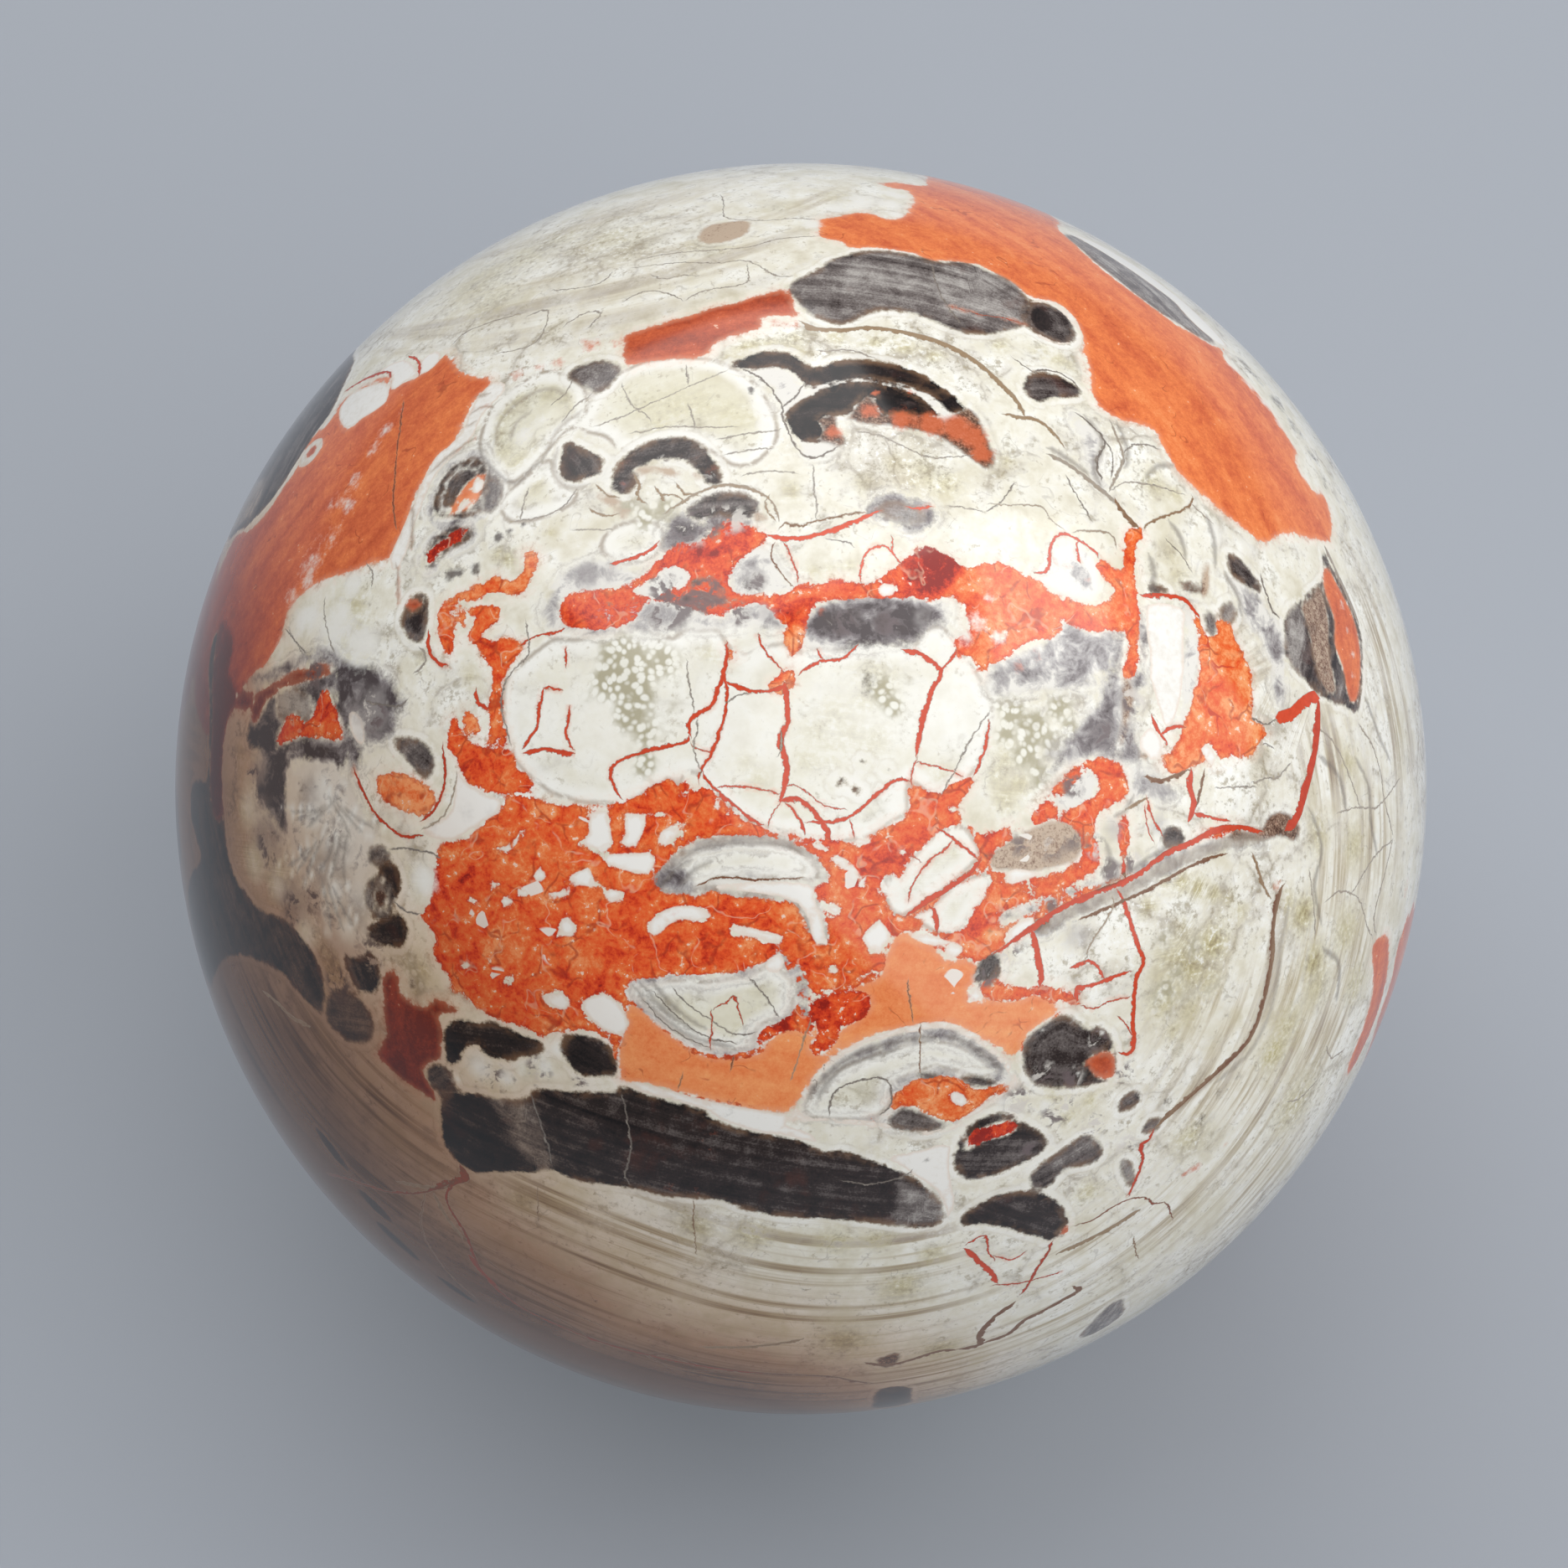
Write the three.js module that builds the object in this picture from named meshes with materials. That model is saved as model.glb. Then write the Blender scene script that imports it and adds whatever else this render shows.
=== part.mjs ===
// A polished ball of crazy lace agate: one piece of stone, ground round and polished all over.
// It stands by itself on a small flat spot at its lowest point.
// Millimetres, +Z up. The origin is the middle of the resting spot.
import * as THREE from "three";

const BALL_DIAMETER = 100; // across the ball at its widest
const REST_DIAMETER = 12; // across the flat spot that it stands on
const SECTORS = 72; // flats round the ball's upright axis
const RINGS = 36; // steps along the meridian, from the resting spot to the top

const STONE_COLOUR = 0xd8cdb9; // the warm ivory that covers most of the surface
const POLISH_ROUGHNESS = 0.12;

const ballRadius = BALL_DIAMETER / 2;
const restRadius = REST_DIAMETER / 2;

// How high the ball's middle stands over the resting spot, which cuts a thin cap off the ball.
const middleHeight = Math.sqrt(ballRadius ** 2 - restRadius ** 2);

// The meridian, as (distance from the axis, height): along the resting spot, then up the round to the top.
function meridian() {
  const startAngle = Math.asin(restRadius / ballRadius);
  const points = [new THREE.Vector2(0, 0)];
  for (let ring = 0; ring < RINGS; ring++) {
    const angle = startAngle + ((Math.PI - startAngle) * ring) / RINGS;
    points.push(
      new THREE.Vector2(
        ballRadius * Math.sin(angle),
        middleHeight - ballRadius * Math.cos(angle),
      ),
    );
  }
  points.push(new THREE.Vector2(0, middleHeight + ballRadius));
  return points;
}

// The stone is the meridian turned once round the upright axis.
function agateBall() {
  const geometry = new THREE.LatheGeometry(meridian(), SECTORS);
  geometry.rotateX(Math.PI / 2); // the lathe turns about Y, and the ball stands along Z
  const material = new THREE.MeshStandardMaterial({
    color: STONE_COLOUR,
    roughness: POLISH_ROUGHNESS,
    metalness: 0,
  });
  const ball = new THREE.Mesh(geometry, material);
  ball.name = "agate_ball";
  return ball;
}

const stone = new THREE.Group();
stone.add(agateBall());

export default stone;
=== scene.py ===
# %% [markdown]
# # A polished ball of crazy lace agate
#
# The real thing is one stone, sawn from a lump, ground round and polished until it mirrors the window.
# All that the eye sees on it is colour inside the stone: ivory chert that once broke into pieces,
# rust-red jasper that filled the gaps, smoky lenses with rings like a tree's, and hair-thin red veins.
#
# So the shape is simple and the colour is the work. This script makes the ball as one even mesh,
# stores on its points how deep each point lies in each mineral, and lets the material turn those
# depths into ragged edges, rims, grains and cracks.

# %% Load the frame
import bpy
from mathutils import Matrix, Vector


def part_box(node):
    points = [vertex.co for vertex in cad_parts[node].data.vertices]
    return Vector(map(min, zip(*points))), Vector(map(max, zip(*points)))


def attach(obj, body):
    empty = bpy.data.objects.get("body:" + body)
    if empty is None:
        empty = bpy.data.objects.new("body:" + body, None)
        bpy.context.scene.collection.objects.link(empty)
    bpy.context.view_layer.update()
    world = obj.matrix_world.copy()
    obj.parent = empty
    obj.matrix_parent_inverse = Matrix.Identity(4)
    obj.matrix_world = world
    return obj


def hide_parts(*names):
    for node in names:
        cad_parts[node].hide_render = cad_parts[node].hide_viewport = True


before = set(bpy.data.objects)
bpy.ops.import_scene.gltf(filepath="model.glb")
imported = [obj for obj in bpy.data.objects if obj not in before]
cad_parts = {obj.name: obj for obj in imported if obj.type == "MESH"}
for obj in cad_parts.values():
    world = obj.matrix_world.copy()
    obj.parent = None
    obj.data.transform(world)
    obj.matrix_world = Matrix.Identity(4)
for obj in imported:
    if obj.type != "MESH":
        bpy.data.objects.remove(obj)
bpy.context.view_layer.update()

# %% Libraries
import math

import bpy
import numpy as np
from mathutils import Vector

# %% [markdown]
# ## The size of the ball
#
# The ball stands on a small flat spot at its lowest point, and the origin is in the middle of that spot.
# The solid that the frame brings is faceted, so the true diameter is stated here and its top is
# compared with the solid's box. Lengths are metres in the mesh, and millimetres in the drawing
# of the markings, because the markings are small.

# %% Driving sizes
MILLIMETRE = 0.001
BALL_DIAMETER = 100.0
REST_DIAMETER = 12.0
ball_radius = BALL_DIAMETER / 2
middle_height = math.sqrt(ball_radius**2 - (REST_DIAMETER / 2) ** 2)
solid_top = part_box("agate_ball")[1][2] / MILLIMETRE
print("top of the ball", round(middle_height + ball_radius, 3), "mm, the solid's top", round(solid_top, 3))

# %% [markdown]
# ## Where the eye is
#
# The photograph looks down on the ball from the front. The grain of the ground is sharper in front of
# the ball than behind it, and that gives the steep angle. The ball fills four fifths of the picture's
# width, and its outline is a circle, which together give the distance and the lens.
#
# The same direction is the pole of the chart on which the markings are drawn, so this cell comes first.

# %% The direction of the camera, and the chart's axes
CAMERA_ELEVATION = math.radians(62)
CAMERA_DISTANCE = 200.5
HALF_VIEW = 0.3227  # the tangent of half the angle of view
AIM_LEFT = 1.31  # how far the lens's axis passes the ball's middle, to the left and above
AIM_ABOVE = 0.35
to_camera = np.array([0.0, -math.cos(CAMERA_ELEVATION), math.sin(CAMERA_ELEVATION)])
chart_right = np.array([1.0, 0.0, 0.0])
chart_up = np.cross(to_camera, chart_right)
print("the chart's pole:", to_camera.round(3), "and its upward axis:", chart_up.round(3))

# %% [markdown]
# ## One even skin for a ball
#
# A ball made like a globe has crowded points at its poles and wide gaps at its waist. Markings stored on
# the points want the same spacing everywhere, so this ball is a square sheet folded round a ball, as an
# octahedron unfolds into a square: the middle of the sheet faces the camera, and its four corners meet at
# the back. A formula keeps every cell at the same area, and a gentle pull then gives the side that the
# photograph shows somewhat smaller cells.

# %% Fold a square sheet into a ball
GRID = 308  # cells along each side of the sheet
PULL = 0.82  # below 1, cells on the camera's side are smaller


def ball_from_sheet(u, v):
    """Equal-area octahedral map: r is 1 less how far |u| + |v| is from the diamond's edge, the angle round
    the pole grows evenly along each quarter, and the height over the waist is 1 - r * r, below it outside.
    The pull then shortens the tangent of half the angle from the pole."""
    inside = 1 - (np.abs(u) + np.abs(v))
    r = 1 - np.abs(inside)
    round_pole = math.pi / 4 * ((np.abs(v) - np.abs(u)) / np.maximum(r, 1e-9) + 1)
    toward = np.sign(inside) * (1 - r * r)
    away = np.arccos(np.clip(toward, -1, 1))
    away = 2 * np.arctan2(PULL * np.sin(away / 2), np.cos(away / 2))
    across = np.copysign(np.cos(round_pole), u) * np.sin(away)
    upward = np.copysign(np.sin(round_pole), v) * np.sin(away)
    return np.stack([across, upward, np.cos(away)], axis=-1)


def folded_index(count):
    """Numbers the sheet's points. The two halves of each edge meet at the back, so they share numbers."""
    number = np.arange((count + 1) ** 2).reshape(count + 1, count + 1)
    for edge in (number[0], number[-1], number[:, 0], number[:, -1]):
        edge[:] = np.minimum(edge, edge[::-1])
    number[0, -1] = number[-1, 0] = number[-1, -1] = number[0, 0]
    return number


steps = np.linspace(-1, 1, GRID + 1)
sheet_u, sheet_v = np.meshgrid(steps, steps, indexing="ij")
number = folded_index(GRID)
kept, number = np.unique(number, return_inverse=True)
number = number.reshape(GRID + 1, GRID + 1)
local = ball_from_sheet(sheet_u, sheet_v).reshape(-1, 3)[kept]
direction = local[:, :1] * chart_right + local[:, 1:2] * chart_up + local[:, 2:] * to_camera
direction /= np.linalg.norm(direction, axis=1, keepdims=True)
print(len(direction), "points")

# %% [markdown]
# ## Cut the sheet into triangles
#
# Each cell is cut along the diagonal that runs with the octahedron's edges, so no triangle is folded flat
# where the sheet creases. The rest spot is made by lowering nothing below the table: points that would
# lie under it are lifted onto it.

# %% Make the stone's mesh
middle_u = (sheet_u[:-1, :-1] + sheet_u[1:, 1:]).ravel()
middle_v = (sheet_v[:-1, :-1] + sheet_v[1:, 1:]).ravel()
falling = middle_u * middle_v > 0


def cut_cells(numbers):
    """Two triangles for each cell of a sheet of numbered points: where the octahedron's edges fall to the
    right, the cut does too."""
    a, b = numbers[:-1, :-1].ravel(), numbers[1:, :-1].ravel()
    c, d = numbers[1:, 1:].ravel(), numbers[:-1, 1:].ravel()
    first = np.stack([a, b, np.where(falling, d, c)], axis=1)
    second = np.stack([np.where(falling, b, a), c, d], axis=1)
    return np.concatenate([first, second])


triangles = cut_cells(number)
place = direction * ball_radius + [0, 0, middle_height]
place[:, 2] = np.maximum(place[:, 2], 0)

stone_mesh = bpy.data.meshes.new("polished_stone")
stone_mesh.from_pydata(place * MILLIMETRE, [], triangles)
stone_mesh.polygons.foreach_set("use_smooth", np.ones(len(triangles), bool))
stone_mesh.update()
stone_piece = bpy.data.objects.new("polished_stone", stone_mesh)
bpy.context.scene.collection.objects.link(stone_piece)
print(len(triangles), "triangles; open or doubled edges:", len(stone_mesh.edges) - len(triangles) * 3 // 2)

# %% A flat map of the skin
sheet_number = np.arange((GRID + 1) ** 2).reshape(GRID + 1, GRID + 1)
sheet_corners = cut_cells(sheet_number).ravel()
sheet_places = np.stack([sheet_u.ravel(), sheet_v.ravel()], axis=1)[sheet_corners] / 2 + 0.5
flat_map = stone_mesh.uv_layers.new(name="OFBake")
flat_map.data.foreach_set("uv", sheet_places.ravel())
print("the map covers the whole square, with", len(sheet_corners), "corners")

# %% [markdown]
# ## Drawing on a ball
#
# A marking is drawn as an outline on a flat chart: millimetres along the surface from the point that faces
# the camera, to the right and up. For each point of the mesh the script then needs one number, the depth:
# how far inside the outline it lies, or below zero how far outside. Depths blend smoothly between points,
# so an edge stays sharp between them, which a painted colour would not.
#
# A chart of a ball stretches towards its rim. So each outline is carried onto the ball and laid flat again
# round its own middle, where lengths are true.

# %% Charts and curves
FRONT = (to_camera, chart_right, chart_up, 0.0)
SWAY_LENGTH = 11.0  # millimetres for one radian of the wave by which a chart sways
SWAY_STARTS = [0.4, 1.9]


def from_chart(flat, chart):
    """Chart places to directions: the arc from the chart's pole is the distance over the ball's radius.
    Where the chart sways, each place first moves along a wave of its other coordinate."""
    pole, right, up, sway = chart
    flat = flat + sway * np.sin(flat[:, ::-1] / SWAY_LENGTH + SWAY_STARTS)
    arc = np.hypot(flat[:, 0], flat[:, 1]) / ball_radius
    share = np.sinc(arc / math.pi)[:, None] / ball_radius
    return np.cos(arc)[:, None] * pole + share * (flat[:, :1] * right + flat[:, 1:] * up)


def curve_through(points, closed, steps_each=6):
    """Catmull-Rom: between two points, the cubic whose slope at each is half the way between its
    neighbours."""
    if closed:
        before, after, beyond = np.roll(points, 1, 0), np.roll(points, -1, 0), np.roll(points, -2, 0)
        start = points
    else:
        ends = np.concatenate([2 * points[:1] - points[1:2], points, 2 * points[-1:] - points[-2:-1]])
        before, start, after, beyond = ends[:-3], ends[1:-2], ends[2:-1], ends[3:]
    t = np.linspace(0, 1, steps_each, endpoint=False)[None, :, None]
    before, start, after, beyond = (part[:, None] for part in (before, start, after, beyond))
    bend = 2 * before - 5 * start + 4 * after - beyond
    twist = 3 * start - before - 3 * after + beyond
    curve = (start + t * (after - before) / 2 + t**2 * bend / 2 + t**3 * twist / 2).reshape(-1, 2)
    return curve if closed else np.concatenate([curve, points[-1:]])


def laid_flat(directions, middle):
    """Directions to true-length places round a middle: as far from it as their arc, to the right and up."""
    right = chart_right - middle * (middle @ chart_right)
    right /= np.linalg.norm(right)
    up = np.cross(middle, right)
    toward = np.clip(directions @ middle, -1, 1)
    arc = np.arccos(toward)
    share = ball_radius / np.maximum(np.sinc(arc / math.pi), 1e-6)
    return np.stack([directions @ right * share, directions @ up * share], axis=1)


def nearest_on_path(points, path):
    """For each point, the distance to the path, the side it lies on, and how far along it, from 0 to 1."""
    start, along = path[:-1], np.diff(path, axis=0)
    length = np.maximum((along**2).sum(1), 1e-12)
    offset = points[:, None] - start[None]
    share = np.clip((offset * along).sum(2) / length, 0, 1)
    gap = offset - share[..., None] * along
    distance = np.hypot(gap[..., 0], gap[..., 1])
    best = distance.argmin(1)
    row = np.arange(len(points))
    side = along[best, 0] * offset[row, best, 1] - along[best, 1] * offset[row, best, 0]
    return distance[row, best], np.where(side < 0, -1.0, 1.0), (best + share[row, best]) / len(along)


def is_inside(points, outline):
    """Even-odd rule: a point is inside if a line from it to the right crosses the outline an odd number of
    times."""
    start, end = outline[:-1], outline[1:]
    x, y = points[:, :1], points[:, 1:]
    spans = (start[:, 1] > y) != (end[:, 1] > y)
    rise = np.where(end[:, 1] == start[:, 1], 1e-12, end[:, 1] - start[:, 1])
    meets = start[:, 0] + (y - start[:, 1]) * (end[:, 0] - start[:, 0]) / rise
    return ((spans & (x < meets)).sum(1) % 2) == 1


def oval(x, y, half_long, half_short, turned=0, count=10):
    """The outline of an oval: its middle, its two half-lengths and how far it is turned, in degrees."""
    t = np.linspace(0, 2 * math.pi, count, endpoint=False)
    c, s = math.cos(math.radians(turned)), math.sin(math.radians(turned))
    a, b = half_long * np.cos(t), half_short * np.sin(t)
    return np.stack([x + a * c - b * s, y + a * s + b * c], axis=1).ravel()


small_oval = curve_through(oval(0, 0, 2, 1).reshape(-1, 2), True)
print("an oval of 4 by 2 mm has", len(small_oval), "points on its curve")

# %% [markdown]
# ## What the stone remembers at each point
#
# Six minerals have hard edges and shut each other out: a patch painted later cuts those below it. For each
# there are three numbers: the depth, a tone from 0 to 1, and the grain, which is how far the point lies
# across the mineral's own bands. Ivory is the ground and needs no depth, so painting ivory only cuts.
#
# Stains have no edge. They are sums of soft spots, one number from 0 to 1 for each kind.
#
# Veins are thinner than the mesh's cells. Each point near one keeps its signed distance to it, above zero
# on one side and below on the other, so the place where it passes zero is exact. Two veins that come close
# can't share a number, so each goes to the first layer in which its surroundings are free. A tone above 1
# marks a soft line, the shade of a lump under the skin.
#
# All drawing goes to the stone's current chart. A chart other than the front's faces away from the camera,
# and what would come round into the photographed face from there isn't drawn.

# %% The stone's memory
MINERALS = ("rust", "smoke", "chalcedony", "white", "red", "brown")
STAINS = ("smoky", "olive", "blush", "milk", "beads", "shards",
          "web", "bands", "clean", "motley", "browning_and_shade", "haze")
FAR = -3.0  # the depth of a mineral where none of it is near; lengths here are in millimetres
TONE_REACH = 1.2  # a patch's tone and grain also count this far outside it, for the rim
TONE_LEAD = 0.3  # and where an older patch of its mineral is deeper by no more than this
TONE_BLEND = 0.7  # elsewhere the tone passes into the older patch's over this width
BAND_SHIFT = 7.3  # how far the bands of each next patch are moved on, so that no two are alike
VEIN_LAYERS = 12
VEIN_REACH = 0.6  # the half-width is kept this far outside a vein
VEIN_CLEAR = 0.7  # and this much more has to be free of other veins
VEIN_TAPER = 12  # a vein narrows over one twelfth of its length at both ends
SOFT_TONE = 2  # what a soft line's tone has over a hard one's
FACE_ARC = 66  # how far round the ball the camera sees


class Stone:
    """The depths, tones, grains, stains and veins at every point of the mesh."""

    def __init__(self, directions):
        count = len(directions)
        self.chart = FRONT
        self.directions = directions
        self.depth = {mineral: np.full(count, FAR) for mineral in MINERALS}
        self.tone = {mineral: np.full(count, 0.5) for mineral in MINERALS}
        self.grain = {mineral: np.zeros(count) for mineral in MINERALS}
        self.bed = np.zeros(count)
        self.lump = np.full(count, FAR)
        self.stains = {stain: np.zeros(count) for stain in STAINS}
        self.veins = [np.tile([5.0, 0.0, 0.0], (count, 1)) for _ in range(VEIN_LAYERS)]
        self.taken = [np.zeros(count, bool) for _ in range(VEIN_LAYERS)]
        self.patches = 0
        self.lines = 0
        self.lost = 0

    def near(self, outline, reach):
        """The points of the mesh round an outline, flattened with it. There are none where an outline of
        the far side comes in view."""
        middle = outline.mean(0)
        middle /= np.linalg.norm(middle)
        widest = np.arccos(np.clip(outline @ middle, -1, 1)).max() + reach / ball_radius
        found = []
        if self.chart is FRONT or (outline @ to_camera).max() <= math.cos(FACE_ARC / ball_radius):
            found = np.flatnonzero(self.directions @ middle > math.cos(min(widest, math.pi)))
        return found, laid_flat(self.directions[found], middle), laid_flat(outline, middle)

    def patch(self, mineral, tone, flat, inset=0.0, sharp=False, rim=0.0, grain=None, bend=0.0):
        """Paints one patch: the depth is the distance to the outline, above zero inside. The grain runs
        along the patch unless an angle is given, and its bands may bend, or follow the outline as rings."""
        corners = np.asarray(flat, float).reshape(-1, 2)
        outline = corners if sharp else curve_through(corners, True)
        outline = from_chart(np.concatenate([outline, outline[:1]]), self.chart)
        found, points, path = self.near(outline, -FAR)
        if not len(found):
            return
        distance, _, _ = nearest_on_path(points, path)
        depth = np.where(is_inside(points, path), distance, -distance) - inset
        self.patches += 1
        if grain is None:
            spread = path[:-1] - path[:-1].mean(0)
            _, _, axes = np.linalg.svd(spread, full_matrices=False)
            grain = math.degrees(math.atan2(axes[0, 1], axes[0, 0]))
        if grain == "rings":
            across = depth.copy()
        else:
            turn = math.radians(grain)
            along = points[:, 0] * math.cos(turn) + points[:, 1] * math.sin(turn)
            across = points[:, 1] * math.cos(turn) - points[:, 0] * math.sin(turn) + bend * along**2 / 2
        across += BAND_SHIFT * self.patches
        for name in MINERALS:
            old = self.depth[name][found]
            if name != mineral:
                self.depth[name][found] = np.minimum(old, -depth - rim)
                continue
            here = (depth > -TONE_REACH) & (depth >= old - TONE_LEAD)
            share = np.where(here, 1, np.clip(depth / TONE_BLEND + 0.5, 0, 1))
            self.tone[name][found] += (tone - self.tone[name][found]) * share
            self.grain[name][found[here]] = across[here]
            self.depth[name][found] = np.maximum(old, depth)
        if mineral == "ivory":
            self.bed[found[depth > 0]] = across[depth > 0]
            self.lump[found] = np.where(depth > 0, depth, np.maximum(self.lump[found], depth))

    def stain(self, kind, strength, flat):
        """Adds soft spots, each a place and a radius at which it has faded to a third. A strength below
        zero takes away."""
        spots = np.asarray(flat, float).reshape(-1, 3)
        middles = from_chart(spots[:, :2], self.chart)
        if self.chart is not FRONT:
            hidden = middles @ to_camera < math.cos(FACE_ARC / ball_radius)
            middles, spots = middles[hidden], spots[hidden]
        if not len(spots):
            return
        arc = np.arccos(np.clip(self.directions @ middles.T, -1, 1)) * ball_radius
        heaps = np.exp(-((arc / spots[:, 2]) ** 2)).max(1) * strength
        self.stains[kind] = np.clip(np.maximum(self.stains[kind], heaps) if strength > 0
                                    else self.stains[kind] + heaps, 0, 1)

    def vein(self, tone, width, flat):
        """Lays one vein, full width in the middle and thinner to both ends."""
        path = curve_through(np.asarray(flat, float).reshape(-1, 2), False)
        found, points, path = self.near(from_chart(path, self.chart), VEIN_REACH + VEIN_CLEAR + width)
        if not len(found):
            return
        distance, side, along = nearest_on_path(points, path)
        close = distance < width / 2 + VEIN_REACH + VEIN_CLEAR
        found, distance, side, along = found[close], distance[close], side[close], along[close]
        free = [layer for layer in range(VEIN_LAYERS) if not self.taken[layer][found].any()]
        if not free:
            self.lost += 1
            return
        ends = np.clip(np.minimum(along, 1 - along) * VEIN_TAPER, 0, 1) ** 0.5
        half = np.where(distance < width / 2 + VEIN_REACH, width / 2 * ends, 0)
        self.veins[free[0]][found] = np.stack([distance * side, half, np.full(len(found), tone)], axis=1)
        self.taken[free[0]][found] = True
        self.lines += 1

    def shade(self, tone, width, flat):
        """Lays a soft, half-clear line, as where a lump turns away under the skin."""
        self.vein(tone + SOFT_TONE, width, flat)

    def report(self, region):
        print(region, "done:", self.patches, "patches and", self.lines, "veins,", self.lost, "left out")


stone = Stone(direction)
patch, stain, vein, shade = stone.patch, stone.stain, stone.vein, stone.shade
print("minerals", MINERALS, "stains", STAINS)

# %% [markdown]
# ## The ground's bedding
#
# Under everything lies banded ivory chert. Its bands are layers in space, so the ball cuts them in curves:
# below the dark bar they run level and sag towards the middle, and in the pale cap at the top they rise to
# the right. One slowly bent height through the ball gives both.

# %% Bedding heights
chart_x, chart_y = direction @ chart_right * ball_radius, direction @ chart_up * ball_radius
chart_z = direction @ to_camera * ball_radius
lean = np.clip(chart_y / 30, 0, 1) * 0.35
stone.bed[:] = chart_y - lean * chart_x + 0.25 * chart_z + 2.2 * np.sin(chart_x / 21 + chart_y / 17)
print("bedding spans", round(float(np.ptp(stone.bed)), 1), "mm")

# %% [markdown]
# ## The markings, region by region
#
# What follows is drawn from the photograph, on the chart. Each call is one thing that can be pointed
# at on the real stone. The large masses come first, then the face from its top to its foot, then both
# limbs. Most regions are functions, because the far side of the stone draws them again on charts of its
# own.

# %% The large masses: rust jasper at both shoulders, and the smoky edge at the upper left
patch("rust", 0.6, [-28.8, 34.5, -27, 32.3, -25.5, 31.2, -23.4, 30.2, -24.6, 28.6, -25.6, 25, -27, 23.7,
    -27.9, 22, -29, 18, -29.8, 16.2, -31.5, 16, -34.4, 15.5, -37, 15.2, -40, 13.4, -40.6, 11, -41.8, 9.4,
    -44, 8.6, -47, 6, -51, 4, -56, 8, -57, 14, -56.5, 20, -54, 23.2, -50, 22.8, -47.4, 23.6, -44.4, 27,
    -43.6, 30, -41.2, 32, -40, 33.6, -36, 34.2, -33, 33.4, -30.4, 33])
patch("smoke", 0.22, [-41.8, 33, -42.5, 39, -44.5, 42, -47.5, 45, -53, 43, -58.5, 35, -61, 28, -58, 24.6,
    -54, 24, -51, 23.6, -48, 24.6, -46, 26, -43.2, 30.6], grain=50)
patch("smoke", 0.6, [-60, 30, -55, 30.5, -52, 29, -50.5, 27, -51, 25, -54, 24.6, -59, 25.5], grain=-20)
patch("rust", 0.72, [1.1, 46.2, 3, 47, 4.8, 47.9, 7.3, 46.9, 9.1, 50, 9.4, 52.2, 9, 53.8, 7, 54.4, 7.6, 56,
    10.4, 56, 11.4, 58, 12.2, 62, 13, 68, 16, 74, 22, 74, 25, 66, 25, 58, 23.6, 52.6, 24.2, 50.4, 25, 47.5,
    26.6, 45, 31, 41.2, 34, 40.2, 36.4, 39.8, 38.2, 40.6, 37.2, 38.2, 40, 35.5, 42.2, 31.5, 43, 30,
    42, 28.4, 42.8, 26.6, 44, 25.8, 45.4, 26, 45.4, 23.6, 44.4, 21.6, 42.6, 21, 37.6, 20.4, 35.4, 19.2,
    33.4, 19.6, 28.4, 22.8, 26.8, 24.6, 26, 26.6, 24.6, 27.2, 22.6, 27.4, 21, 28.8, 21.2, 31, 21, 33,
    21.3, 35, 20.8, 37.2, 19.5, 38.4, 17.4, 38.6, 14, 41.2, 12, 41.6, 10, 41.3, 8.5, 42, 6, 42.3, 3.4, 42.2,
    2.6, 43, 1.2, 43.6])
patch("white", 0.75, [25.4, 52.8, 28, 52.8, 31, 51.2, 34, 48.8, 36.6, 46, 38.4, 43, 38.9, 41.2, 37.2, 40.9,
    35.4, 42, 34, 44.8, 31.8, 47, 26.2, 51.5])
patch("smoke", 0.55, [23.9, 51.6, 25, 52.1, 27, 50.9, 32, 47, 34, 45.3, 34.5, 43.5, 35.6, 42, 37, 40.9,
    35.6, 40.2, 31, 41.5, 26.8, 45.2, 24.2, 50], grain=-42)
stain("smoky", 0.55, [42, 38.5, 1.8, 43.5, 36, 1.8, 45, 33.5, 1.8, 46, 31, 1.4, 46.4, 28, 1.6,
    40.6, 40, 1.2])
stain("milk", 0.62, [37.6, 38.2, 0.9, 39.2, 36.2, 0.8, 40.6, 34.6, 0.8, 41.8, 32.4, 0.8, 42.8, 30.6, 0.8,
    24, 52.6, 0.9, 42.4, 27.4, 0.7])
stain("milk", 0.5, [-38, 17, 2, -36, 19, 1.6, -36.6, 22, 1.4, -35, 21.4, 1.2, -34.6, 23.4, 1.3,
    -33.6, 26, 1.2, -33, 27.8, 1, -39.6, 14.6, 1.6, -38, 15.4, 1.4, -31.6, 29.4, 0.6])
patch("white", 0.6, [-40, 33.4, -38.8, 33.9, -35, 33.4, -33.9, 31.2, -34.8, 30.4, -36.5, 29.9, -37.2, 29.4,
    -38.5, 29.8, -40.2, 32])
patch("white", 0.7, [-36.4, 35.3, -34.5, 35.7, -32.8, 35, -31.1, 32.8, -32.5, 32.6, -33.3, 32.1, -34, 32.6,
    -34.4, 33.9])
patch("white", 0.8, [-31, 35, -30, 35.2, -29.2, 34.3, -29.8, 33.2, -31, 32.9, -31.4, 33.7])
patch("white", 0.3, oval(-42.5, 28.4, 1.6, 1.3, 20))
patch("rust", 0.4, oval(-42.4, 28.5, 0.8, 0.6, 20))
patch("white", 0.3, oval(-41.6, 31.8, 1.2, 0.5, 60))
vein(0.9, 0.3, [-33.2, 35.8, -32, 34.9, -31.3, 33.9, -31, 32.8])
vein(0.6, 0.16, [-31.8, 30.6, -30.3, 21.2, -29.5, 18.4])
vein(0.8, 0.3, [-41, 34.8, -38, 35.2, -35.4, 34.8, -34.4, 33.8])
stain("smoky", 0.5, [-49, 14.5, 1, -48.5, 12, 0.9])
stone.report("large masses")

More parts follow.
